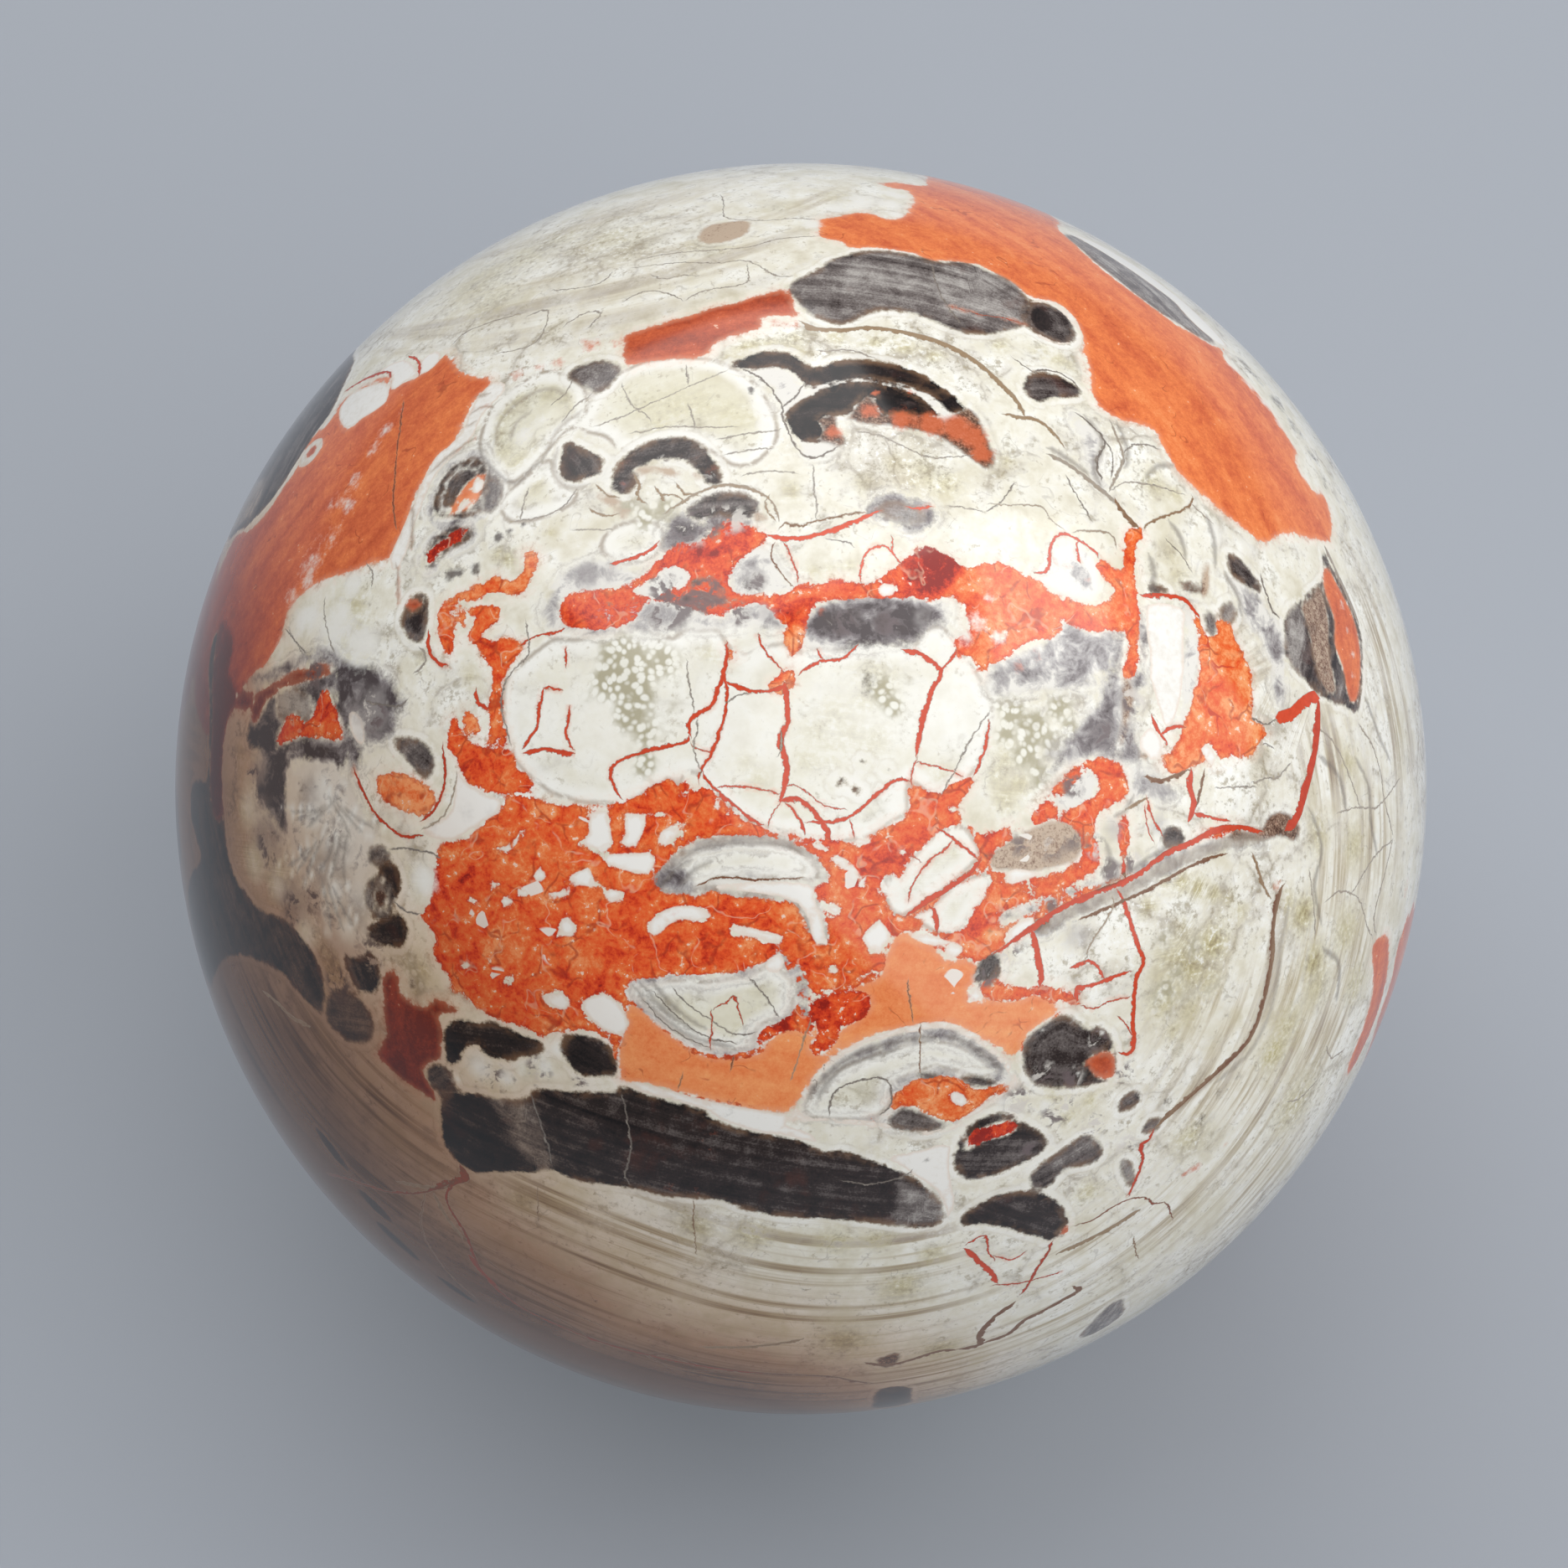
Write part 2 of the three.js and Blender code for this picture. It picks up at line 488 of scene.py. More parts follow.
# %% The pale cap at the top, with its level streaks and hairlines
stain("bands", 0.5, [-30, 44, 9, -18, 50, 8, -8, 44, 7, -22, 40, 6, -4, 54, 6, -34, 38, 5, 0, 50, 5,
    -14, 38, 5])
stain("olive", 0.5, [-28, 44, 4, -25, 46, 3, -17, 46, 3, -14, 44, 2, -2.2, 48.6, 0.9, 2.6, 51, 1.2,
    -8, 43, 1.4, -26, 40, 2.4, -22, 48, 2])
patch("brown", 0.95, [-8.2, 45.6, -7, 46.1, -4.9, 46.2, -4.6, 45, -5, 43.9, -6, 43.2, -7.6, 43, -8.6, 43.8])
stain("milk", 0.85, [7.2, 50, 1.2, 7.8, 52.2, 1.2, 7.4, 48, 0.8, 4.4, 50, 1.6, 2.6, 48.4, 1, 0.4, 45.4, 1])
stain("blush", 0.7, [8.4, 54.6, 1, 7, 55.2, 0.7])
for hairline in (
        [-13.6, 41.6, -10.4, 42, -6.4, 42, -4.4, 42.2, -2.2, 43.2, 1.2, 43.7],
        [-14, 40.6, -9.8, 40.6, -6.6, 40.2, -4.4, 40.3, -2.4, 38.5, -0.8, 38.3],
        [-9, 36, -7.6, 37, -5.8, 37.2, -4.4, 37.8, -4.5, 40], [-12, 39.4, -10.8, 38.7, -9.4, 39, -8, 38.7],
        [1, 46.2, -1, 46.4, -3.6, 46.2, -6.6, 46.9, -7, 49.5, -7.6, 52],
        [-24, 33, -21.8, 33, -20.4, 33.4, -19.8, 35.2, -20.2, 37, -22, 36.6],
        [-16.2, 34, -15.4, 35.6, -16.8, 35.8, -18.4, 34.6],
        [-22, 37.2, -24.8, 37, -27.4, 36.6, -28.6, 35.4], [-20.4, 39.4, -18, 39, -16, 39.2, -15.2, 40.4],
        [-14, 36.4, -12.4, 37.4, -10.8, 37.2, -9, 36]):
    vein(0.05, 0.11, hairline)
stone.report("pale cap")

# %% The two-lobed smoky cap and the brick band under the pale cap
patch("rust", 0.3, [-13.2, 32.8, -12, 33.2, -3, 36.3, -0.9, 37.2, -0.8, 35, -0.6, 34, -3, 33.9, -3.1, 32.8,
    -5, 32.2, -6.4, 31.4, -7.3, 30.3, -11, 30, -12.6, 29.7])
stain("blush", 0.6, [-2.2, 33.4, 0.9, -0.9, 33.2, 0.7, -12.6, 31, 0.8, -21.4, 30.3, 0.8, -15.6, 32.2, 1,
    -13.6, 32.2, 0.8, -18, 31, 0.8, -16.4, 32.8, 0.5, -19.6, 30.8, 0.6])
# The cap's lobes are painted a lighter grey than the other smoky lenses: partly the stone's own tone,
# partly a painted reflection of the light above in the polish.
patch("smoke", 0.42, [-1.2, 37.2, 0.8, 39, 2, 40.3, 4, 41.5, 6, 41.9, 8, 41.7, 9.9, 41.1, 12, 41.4, 14, 41,
    17, 38, 16.7, 35.3, 14, 33.7, 12, 33.4, 10.4, 33.7, 7.5, 34.9, 5, 34.8, 3.2, 33.6, 2, 33.4, 0.1, 34.5],
    grain=-3, bend=0.012)
patch("smoke", 0.54, oval(13, 38, 4, 3), grain=-30)
patch("smoke", 0.6, oval(5.5, 38.4, 3.4, 1.5), grain=3, bend=0.02)
patch("white", 0.6, oval(18.9, 35.9, 2.3, 2.4))
patch("smoke", 0.3, [16.7, 36.4, 17.4, 37.6, 18.7, 38, 20, 37.2, 20.6, 35.8, 20.4, 34.4, 19.2, 33.7,
    17.6, 34.2, 16.7, 35.2], grain="rings")
patch("smoke", 0.02, oval(18, 36, 0.8, 1.1))
vein(0.9, 0.1, [10.4, 36, 13, 35.4, 15, 35.4, 16.6, 35])
vein(0.0, 0.14, [9.8, 41, 9.9, 38, 10.5, 36, 11.4, 34.2])
vein(0.3, 0.5, [-0.4, 33.4, 0.8, 32.7, 3, 32.7, 5, 33, 9, 32.3, 12, 30.7, 14.6, 27.8, 15.4, 26.2])
stain("olive", 0.8, [7, 31.4, 1, 5, 31.6, 0.8, 2.2, 31.9, 0.7, -0.8, 31.8, 0.7, 9, 30.8, 0.8,
    0.4, 32.2, 0.5])
stone.report("smoky cap")

# %% Two round ivory lumps under the brick band
def round_lumps():
    """Two round lumps with pale rims, and two small ones."""
    patch("ivory", 0, [-15.3, 24.6, -15.2, 26.4, -14.4, 28, -12.8, 29.4, -10.6, 30.2, -6.2, 29.8,
        -3.2, 27.4, -1.8, 24, -2.6, 22, -4.4, 21.2, -8, 23.4, -12, 22.7, -13.6, 24], grain=22)
    patch("ivory", 0, [-23.3, 25, -22.6, 28, -19.8, 30, -18.2, 30, -16.6, 29.2, -15.5, 27.9, -15.3, 26.4,
        -15.8, 25.2, -16.8, 24.4, -20, 21, -22.4, 22.4], grain="rings")
    patch("ivory", 0, [-12.9, 16.6, -12, 17.2, -10.6, 17.4, -9.4, 17, -9, 16.2, -9.3, 15.2, -10.2, 14.6,
        -11.6, 14.5, -12.8, 15, -13.2, 15.8], grain=-10)
    patch("ivory", 0, [-18.6, 21.6, -17.6, 22.4, -16.2, 20.4, -15.2, 19.6, -16, 18.6, -17.8, 18,
        -19.6, 17.9, -20.6, 18.6, -20.8, 19.8], grain=40)
    stain("bands", 0.35, [-9, 26, 4])


round_lumps()
stone.report("round ivory lumps")

# %% [markdown]
# ## Arches and rings
#
# Where silica filled a hollow from its walls inwards, it left rings, and a cut through their side shows
# arches. An arch could be drawn as one hollow outline. It is easier to paint a dark shape and then a
# smaller pale one over it, because each patch cuts those below, and the rim that the material gives
# every edge then runs round both sides of the arch.

# %% The dark double arch, its amber feet and the small brown dome beside it
def dark_arches():
    """Two dark arches with amber feet, and the lines round them."""
    patch("smoke", 0.05, [-5.2, 29.4, -3.4, 30.4, -1, 30.3, 0.6, 29.1, 3.2, 29.85, 7.6, 29.2, 11.3, 26.2,
        9.8, 26, 9, 27, 7.7, 27.7, 4, 28.35, 1, 27.7, 0.1, 27.4, -0.2, 28, -1.6, 29.1, -4, 29],
        grain="rings")
    stain("olive", 1, [-5.3, 30, 0.6, -4.4, 30.9, 0.6, -3.4, 31.2, 0.6, -2.2, 31.3, 0.6, -1, 31, 0.6,
        0, 30.3, 0.5])
    patch("chalcedony", 0.95, [-1.2, 25.6, -0.4, 26.6, 0.8, 27.6, 4, 28.35, 7.8, 27.7, 9.9, 25.9,
        10.5, 24.6, 10, 24.4, 8.6, 26.6, 6, 27.7, 4, 27.95, 1, 27.2, -1, 25.4])
    patch("smoke", 0.0, [-1.1, 25.3, 1.2, 27.2, 4.2, 28, 7.6, 27.1, 9.2, 25.4, 9, 25.1, 7, 25, 5, 25,
        4.6, 26.4, 4, 26.3, 3, 25.3, 2, 25.2, 1.3, 24.5, 1.5, 23.2, 0.2, 23, -0.6, 23.4], grain=0,
        bend=0.05)
    patch("brown", 0.25, [4.4, 25.2, 8, 25.5, 9.4, 25.2, 11.2, 26.3, 11.9, 25.6, 12.8, 22.9, 12.4, 21.6,
        11.4, 22.2, 9, 23.9, 5.6, 24.5])
    patch("brown", 0.25, [3, 25.1, 3.7, 26.3, 4.6, 27, 5.1, 25.6, 5.7, 24.7, 4.6, 24.5, 3.4, 24.7])
    patch("brown", 0.25, [0.9, 24.8, 2, 25.2, 2.3, 23.8, 2.9, 23.3, 2.4, 22.7, 1.4, 22.5, 1, 23.4, 1.2, 24])
    stain("blush", 1, [6.6, 24.9, 0.9, 8.6, 24.8, 1.1, 10.4, 24.6, 1.2, 11.6, 24, 1.2, 12, 22.8, 0.9,
        4.4, 25.6, 0.8, 2, 23.8, 0.7, 7.4, 27.3, 0.3, 4.9, 27.2, 0.25])
    patch("chalcedony", 1, [-0.6, 23.2, 0.2, 23, 1, 23, 2.1, 22.7, 0.6, 21.8, -0.1, 22.2])
    patch("chalcedony", 0.85, [-3.4, 28.9, -2.2, 29.1, -1, 28.7, -0.3, 27.8, -0.3, 27, -1, 26.1,
        -1.5, 25.9, -1.9, 26.8, -2.6, 27.9])
    for dark_line in (
            [-4.4, 29, -3, 28.2, -1.6, 26, -1.4, 24.8, -0.6, 22.7, 0.6, 21.8, 2.4, 22.8],
            [-0.1, 27.7, -0.5, 26.8, -1.1, 26.1, -1.5, 25.8]):
        vein(0.0, 0.17, dark_line)
    for hairline in (
            [0.6, 21.4, 0.7, 19.6, 0.9, 18.2, 0.8, 17.4],
            [3.4, 23.9, 5, 23.7, 8, 22.3, 10, 22.3, 11.6, 22.7], [-14.6, 24.8, -12, 25.7, -5.2, 29],
            [-12, 24, -9, 24.4, -6, 24.2, -4.4, 24.2], [-12.9, 28.3, -11.9, 26.4, -10.4, 25],
            [-8, 27.8, -8.4, 29.6], [-8, 26.3, -7.6, 25.2, -7.3, 24.2], [-6, 23.2, -3.6, 23.7, -1.6, 23.9],
            [-5.4, 22, -3.6, 22.4, -2, 22.5], [9.4, 18.7, 12, 18.4], [-4.2, 20.4, -2.6, 20.8, -0.4, 20.6],
            [0.9, 30.6, 3, 30.8, 5, 30.2]):
        vein(0.05, 0.11, hairline)
    stain("smoky", 0.9, [-3.7, 27.3, 0.25, -3.6, 26.8, 0.25])
    stain("olive", 0.75, [-9, 26, 1.8, -7, 26, 1.8, -5, 25.4, 1.5, -11, 26.4, 1.4, -4, 24.8, 0.9,
        -10, 24.6, 1.2, 8, 21, 1.1, 6, 21.6, 0.8, 9.4, 20.3, 1.2, 7, 20.3, 0.8, 4, 20.1, 0.8,
        -0.8, 19.4, 0.7])
    stain("milk", 0.8, [-2.8, 25.8, 0.9, -3, 27, 0.7, -2.6, 24.2, 0.8])


dark_arches()
stone.report("dark arches")

# %% Brown arch, dark bean, speckled dome and the fine lines between them
def brown_arch():
    """A brown arch over tan rubble, a dark bean and a speckled dome."""
    patch("smoke", 0.2, [-12.8, 19.9, -12, 22.2, -9.4, 23.5, -7, 22.9, -5.6, 20.8, -5.5, 19.9, -6.4, 20.1,
        -7.6, 21.6, -8.6, 21.9, -10, 21.8, -10.9, 21.2, -11.5, 19.6], grain=10, bend=-0.08)
    stain("blush", 0.45, [-7, 22, 0.8, -6.2, 20.9, 0.7, -12, 21.4, 0.7, -12.2, 20.2, 0.7])
    stain("motley", 0.6, [-12.2, 20, 0.6, -6.2, 20.6, 0.5, -9.4, 21.8, 0.5])
    for x, y, half_long, half_short, turned in (
            (-10.6, 21.1, 0.9, 0.35, 5), (-8.9, 20.9, 0.7, 0.3, -20), (-13, 19.1, 1, 0.35, -25),
            (-12.3, 18.3, 0.5, 0.3, -60), (-7, 20.5, 0.5, 0.25, -20), (-11.7, 17.9, 0.5, 0.25, 40)):
        patch("brown", 1.0, oval(x, y, half_long, half_short, turned, 8))
    stain("beads", 0.8, [-9, 18.2, 0.9, -10.4, 17.8, 0.9, -8.4, 17.4, 0.6, -11.6, 18.6, 0.8])
    for squiggle in (
            [-9.9, 19.9, -9.5, 19.4, -9.1, 18.8], [-8.4, 19.9, -7.7, 19.2, -6.9, 19.1],
            [-11.4, 20.8, -10.8, 20, -11, 19.2, -10.4, 18.6], [-9.5, 19.2, -8.4, 19.1, -7.6, 18.5],
            [-13.9, 20.2, -13.2, 19.4, -12.2, 19.2], [-14.2, 18.4, -13, 17.8, -12, 18]):
        vein(0.3, 0.2, squiggle)
    dome = [-9.3, 15.6, -8.3, 17.7, -5.4, 19.2, -2.9, 18.5, -3.8, 16.8, -5.4, 16.6, -7.8, 15.3]
    patch("chalcedony", 0.2, dome)
    patch("smoke", 0.3, [-7.6, 17.9, -6.4, 18.8, -4.8, 19.2, -3.5, 18.9, -2.9, 18.4, -3.3, 17.5, -5.6, 17.7,
        -6.6, 17.3])
    stain("motley", 0.9, [-6.6, 17, 1.4, -4.6, 17.4, 1, -8, 16.2, 1])
    vein(0.22, 0.25, [-9.2, 17.8, -6.8, 19.3, -5.4, 19.8, -4, 19.7, -2.8, 19.2, -2, 18.4, -1.5, 17.2])
    patch("brown", 0.8, oval(-2.8, 17.5, 0.5, 0.42))
    patch("smoke", 0.45, [-17, 29.4, -16.5, 30.2, -15.2, 30.6, -14, 30.4, -13, 29.7, -13.5, 28.8,
        -14.5, 27.7, -16.2, 28.7], grain="rings")
    dark_bean = [-16.5, 23.6, -15.8, 23.5, -15.2, 23, -13.8, 22.3, -13.8, 21.1, -14.6, 20.9, -15.4, 20.6,
        -16.3, 21, -16.6, 21.9]
    patch("smoke", 0.12, dark_bean)
    stain("olive", 0.85, [-21.6, 26.6, 0.8, -20.6, 27.8, 0.8, -21.8, 25, 0.8, -21, 23.6, 0.8, -20, 22.6, 1,
        -18.4, 28, 0.8, -17, 27.4, 0.8, -16.2, 26.4, 0.7, -18.6, 23.4, 0.7, -18.4, 20.6, 0.8])
    stain("milk", 0.7, [-19.8, 24.8, 1, -18.8, 26, 1, -15.2, 24.2, 0.6])
    for tan_ring in (
            [-22, 24.2, -22, 26, -21, 27.4, -19.6, 28.4, -18, 28.4, -16.8, 27.6],
            [-20.8, 24.4, -20.6, 25.8, -19.6, 26.6], [-17.8, 22.9, -17.6, 24, -16.9, 25.2, -15.6, 26.2],
            [-17, 23.2, -17.2, 21.8, -16.6, 20.6, -15.6, 20.1, -14.4, 20.2]):
        shade(0.22, 0.36, tan_ring)
    shade(0.0, 0.3, [-23.3, 24.5, -22.8, 23.2, -21.6, 21.9, -19.9, 20.8, -18.8, 21.9, -17.8, 22.8])
    for hairline in (
            [-18.9, 20.4, -19.1, 19, -19.2, 18], [-19.8, 17.9, -17.6, 18.1, -16, 18.8, -15.2, 20.2],
            [-15.2, 17, -12.4, 16.8], [-18, 27, -17, 28, -16.6, 29.2], [-17, 25.4, -16, 26.9, -15, 27.5],
            [-31.9, 16, -31.2, 15.4, -31, 14.2], [-35.8, 14, -35.6, 12.6, -34.8, 10.8, -34, 9.4],
            [-39.6, 11.8, -38.4, 10.6, -37.2, 9.4]):
        vein(0.05, 0.12, hairline)


brown_arch()
stone.report("brown arch and dome")

# %% Ringed lenses and the pink margin of the rust, on the left
def ringed_lenses():
    """Lenses of dark and pale rings beside a pink margin."""
    patch("white", 0.55, [-23.2, 30, -24.2, 29, -24.8, 27.6, -25, 26, -26, 24.7, -27.2, 23.6, -28.8, 18.6,
        -29.6, 16.4, -29.2, 15.2, -28.4, 16.2, -26.8, 22.2, -24.2, 25, -23.6, 27, -22, 29.2])
    for pink_streak in (
            [-27.2, 22.7, -26.2, 23.6, -25.2, 24.3, -23.8, 25.1], [-28.3, 20.2, -28, 18.4, -27.7, 16.6],
            [-24.6, 27.4, -23.8, 27.8, -22.8, 27.7], [-24.4, 28.9, -23.4, 29],
            [-28.9, 15.6, -28.6, 14, -28.4, 12.6], [-24.8, 26.2, -24, 26.6]):
        shade(0.85, 0.3, pink_streak)
    ringed_lens = [-26.9, 19.4, -26.6, 22, -25.6, 23.3, -23.2, 23.8, -21, 21, -20.9, 20, -21.4, 18.9,
        -22.4, 18.3, -25.6, 18.3]
    for inset, mineral, tone in (
            (0, "chalcedony", 0.45), (0.5, "smoke", 0.3), (0.95, "chalcedony", 1), (1.35, "smoke", 0.3)):
        patch(mineral, tone, ringed_lens, inset=inset, grain="rings")
    patch("smoke", 0.5, [-22.3, 19, -22, 20.4, -22.1, 21.6, -21.2, 21.2, -20.9, 20, -21.4, 18.9])
    patch("rust", 0.8, [-25, 18.9, -24.6, 20.2, -23.8, 21.4, -22.8, 22, -22.4, 21.6, -22.8, 19.6,
        -24.4, 18.9])
    patch("white", 0.9, oval(-22.9, 21, 0.42, 0.6, -20))
    patch("white", 0.9, oval(-23.8, 19.6, 0.6, 0.3, 25))
    lower_lens = [-27, 15.6, -26.8, 16.6, -25.9, 17.6, -24.6, 18.1, -23, 18, -22.4, 17.3, -23, 16.6,
        -24.4, 16, -25.4, 15.1, -26.4, 14.8]
    patch("chalcedony", 0.45, lower_lens)
    patch("smoke", 0.35, lower_lens, inset=0.28)
    patch("red", 0.12, [-26.6, 15.6, -26, 16.6, -23.8, 17.7, -23.2, 17.5, -24, 16.9, -25, 16.4, -25.8, 15.5,
        -26.3, 15.2])
    patch("smoke", 0.3, [-27.9, 11.6, -27.4, 12.8, -26.6, 13.2, -25.9, 12.6, -25.8, 11, -26, 10, -26.8, 9.9,
        -27.6, 10.7], rim=0.2, grain="rings")
    patch("rust", 0.2, oval(-27, 12.4, 0.7, 0.5))
    stain("smoky", 0.95, [-20.7, 16.9, 0.5, -19.9, 17.1, 0.4, -18.9, 17.5, 0.35, -24.2, 14.4, 0.6,
        -23.4, 14.6, 0.4, -22.2, 14.7, 0.5])
    stain("olive", 0.9, [-19.8, 15.2, 0.7, -20.6, 15.6, 0.5, -16.8, 16.8, 0.4, -33, 12.6, 1.6,
        -32, 10.6, 1.4])
    patch("red", 0.9, [-18.5, 15.7, -17.6, 15, -18.4, 12.8, -21, 12.8, -22, 12.4, -23.4, 12.2, -24.4, 11.6,
        -24.8, 11.8, -24.2, 12.6, -21, 13.9, -19.8, 13.6, -18.8, 14.2])


ringed_lenses()
stone.report("ringed lenses")

# %% [markdown]
# ## Red and orange fields
#
# Iron-stained chalcedony filled the gaps between broken ivory, and chips of the ivory float in it. A noise
# could strew the chips, but it would spread them evenly. Here each field is one outline in a few tones,
# the chips that can be told apart are drawn, and stains say where the material may add finer ones.

# %% The red mottled zone across the middle
def red_zone():
    """Red jasper and grey chalcedony, mottled into each other."""
    patch("chalcedony", 0.62, [-16.6, 10.4, -16.7, 12.4, -15.8, 13.8, -14, 14.6, -12, 14.5, -10.6, 13.9,
        -8, 15.2, -6, 15.6, -2.4, 15.2, -1.4, 13.6, 0, 12.8, 6, 12.4, 8.6, 12.6, 9.4, 11.6, 8.8, 10.2,
        7.2, 9.4, 5, 9, 3, 9, 1.6, 8.6, 0.4, 9, -0.6, 10, -5, 10, -14, 9.9])
    patch("red", 0.5, [-15.4, 10.4, -15.4, 12.4, -12, 12.8, -10.6, 13.4, -8.2, 15.6, -7, 15.6, -5.4, 17,
        -4.2, 17.1, -3.2, 16.6, -2.2, 16.1, -4, 14.6, -4.6, 13.4, -4.2, 12.4, -2.6, 12.2, 1, 13.1,
        2.8, 13.25, 4.4, 12.9, 6, 14.4, 7, 15, 8, 15.8, 10.2, 14.6, 10.6, 13.6, 9.8, 12.6, 8.4, 12.1,
        6, 12.3, 2, 11.9, 0.8, 11.4, -0.4, 9.8, -2.4, 11.6, -4, 11.4, -5, 10.7, -6.6, 11.2, -9.4, 12,
        -10.4, 11.4, -10.8, 10.5, -12.4, 10.2])
    patch("red", 0.05, [6.4, 13, 7, 14.4, 8, 15.6, 10.3, 14.4, 10.4, 13.4, 9.2, 12.8, 7.6, 12.5])
    patch("white", 1, oval(5.4, 12.7, 0.55, 0.4, 10))
    patch("chalcedony", 0.85, [-10.8, 12.5, -9.6, 13.4, -8.6, 14.2, -7.6, 14, -7.2, 13.2, -8.2, 12.5,
        -9.6, 12.1])
    patch("chalcedony", 0.75, [-4.2, 13.8, -3.2, 14.9, -2.2, 15, -0.9, 13.2, -0.6, 12.6, -2, 12.3,
        -3.6, 12.6])
    stain("motley", 1, [-8.4, 11.4, 1.5, -6, 12.2, 1.2, -10.6, 11.2, 0.8, -12.6, 11.2, 0.6, -4, 11, 0.8,
        2.6, 10.4, 0.8, 5.4, 10.4, 0.8, -9, 13, 0.8, -3.2, 13.2, 0.8])
    patch("chalcedony", 0.05, [0.6, 9.7, 0.9, 10.9, 2, 11.8, 3.6, 12.1, 7, 11.7, 8.9, 11.2, 8.5, 10, 7, 9.4,
        3, 9.1, 1.6, 9])
    stain("haze", 0.8, [-14, 13.6, 1.2, -12.4, 13.8, 1, -2.4, 11, 0.8, 7.6, 10.8, 1])
    stain("smoky", 0.7, [-3.8, 13.2, 0.5, -3.4, 12.7, 0.4, -6.8, 13, 0.5, -7.2, 12, 0.4])
    stain("smoky", 0.6, [1.8, 10.6, 1, 3.2, 10.9, 1.2, 4.8, 10.4, 1.2, 6.4, 10.5, 1.1, 7.8, 10.9, 0.8,
        2.4, 9.8, 0.7])
    stain("blush", 0.6, [-11.6, 11, 0.6, -5, 12.4, 0.6, -7.8, 12.4, 0.4, 1.2, 11.2, 0.5])
    patch("chalcedony", 0.1, [4.2, 18.2, 5.8, 19.4, 8, 18.8, 8.6, 18, 8, 17, 7.2, 16.6, 6.6, 17, 6, 16.8,
        5.6, 17.4, 4.8, 17.6])
    patch("smoke", 0.65, oval(6.4, 18, 1.5, 0.7, -10))
    for width, tone, line in (
            (0.36, 1, [-2.4, 16.2, -0.8, 16, 0.6, 16.2, 3.2, 17.2, 4.9, 18.1]),
            (0.16, 0.45, [-1.6, 16.6, -0.9, 17.2, -0.3, 16.7, 0.4, 17.1, 3, 17.8, 4.2, 17.9]),
            (0.15, 0.9, [-1.2, 15.8, -0.6, 14.4, -0.2, 13]),
            (0.15, 0.55, [-1.8, 15.8, -2, 14.8, -1.2, 13.4, -0.6, 12.7]),
            (0.3, 0.95, [-12.6, 14.4, -11, 14.8, -10, 15.2, -9.3, 15.8]),
            (0.18, 0.3, [-1.8, 17.2, -2.4, 18.2, -2.2, 19]), (0.1, 0, [1.4, 16, 2.6, 15.9, 3.3, 15.6]),
            (0.2, 1, [3.7, 13.1, 3.8, 14.4, 4.3, 15.4, 5.4, 15.6, 5.9, 15]),
            (0.15, 1, [5.7, 16.4, 5.8, 15.2, 6.3, 14.4]), (0.2, 1, [8.4, 18.6, 7.6, 18.3, 6.6, 18.4])):
        vein(tone, width, line)
    stain("olive", 0.6, [0.6, 13.7, 0.6, 2, 13.8, 0.6, 3, 14.2, 0.5])


red_zone()
stone.report("red zone")

# %% The orange field below the middle, with its paler foot and caramel corner
patch("red", 0.68, [-24, -4, -22, -3.6, -19, -0.9, -17.8, -0.6, -16.8, -1, -12.4, -1.2, -8.3, 0.4,
    -7.4, 0.5, -6.6, -0.2, -5.8, 0.1, -5, -0.4, -3, -2.2, -0.4, -3, 2.6, -3.1, 4.2, -3, 6.7, -1.5, 6.8, 0.3,
    9, -0.6, 11, -2.4, 13, -4, 12.8, -9, 13.2, -10, 12.8, -12, 14, -12.6, 16, -13, 17.3, -14.5, 15.2, -16.1,
    14.6, -17.6, 12, -16.8, 10, -17, 6, -17, 2, -19, 0.2, -21.4, -0.4, -21.3, -5, -20.8, -9, -19.8,
    -11.6, -19.2, -12, -17, -13.4, -16.2, -16, -16.2, -17, -16.8, -19, -16, -20, -15.9, -22, -15,
    -22.8, -14.2, -23.6, -14, -23.8, -13.2, -24.9, -11.6, -24.7, -10.4, -25.9, -8.9, -25.2, -8.2,
    -24.7, -7])
patch("rust", 0.95, [-11.6, -17.4, -11.2, -16, -11, -14.4, -10.4, -14.2, -9, -15.4, -6, -17.4, -2.6, -17.2,
    -1.6, -16, -0.4, -15.4, 1, -15.6, 1.2, -13.6, 2.2, -12.8, 5, -12, 5.6, -10.4, 6.4, -9, 8, -9.4,
    9.6, -10.8, 11, -10.8, 13.4, -13, 15.6, -13.3, 17.2, -14.4, 15.2, -16.1, 14.4, -17.6, 12.2, -16.4,
    7, -16, 4, -17, 0.8, -19.6, 0.1, -21.2, -3, -21, -9, -19.8, -11.4, -19.5])
patch("red", 0.6, [-23, -6, -21, -5.6, -18.8, -8.4, -17, -8.4, -15, -12, -16, -13.4, -18, -14, -18.4, -15.4,
    -20.6, -15.4, -23.2, -12, -23.6, -7])
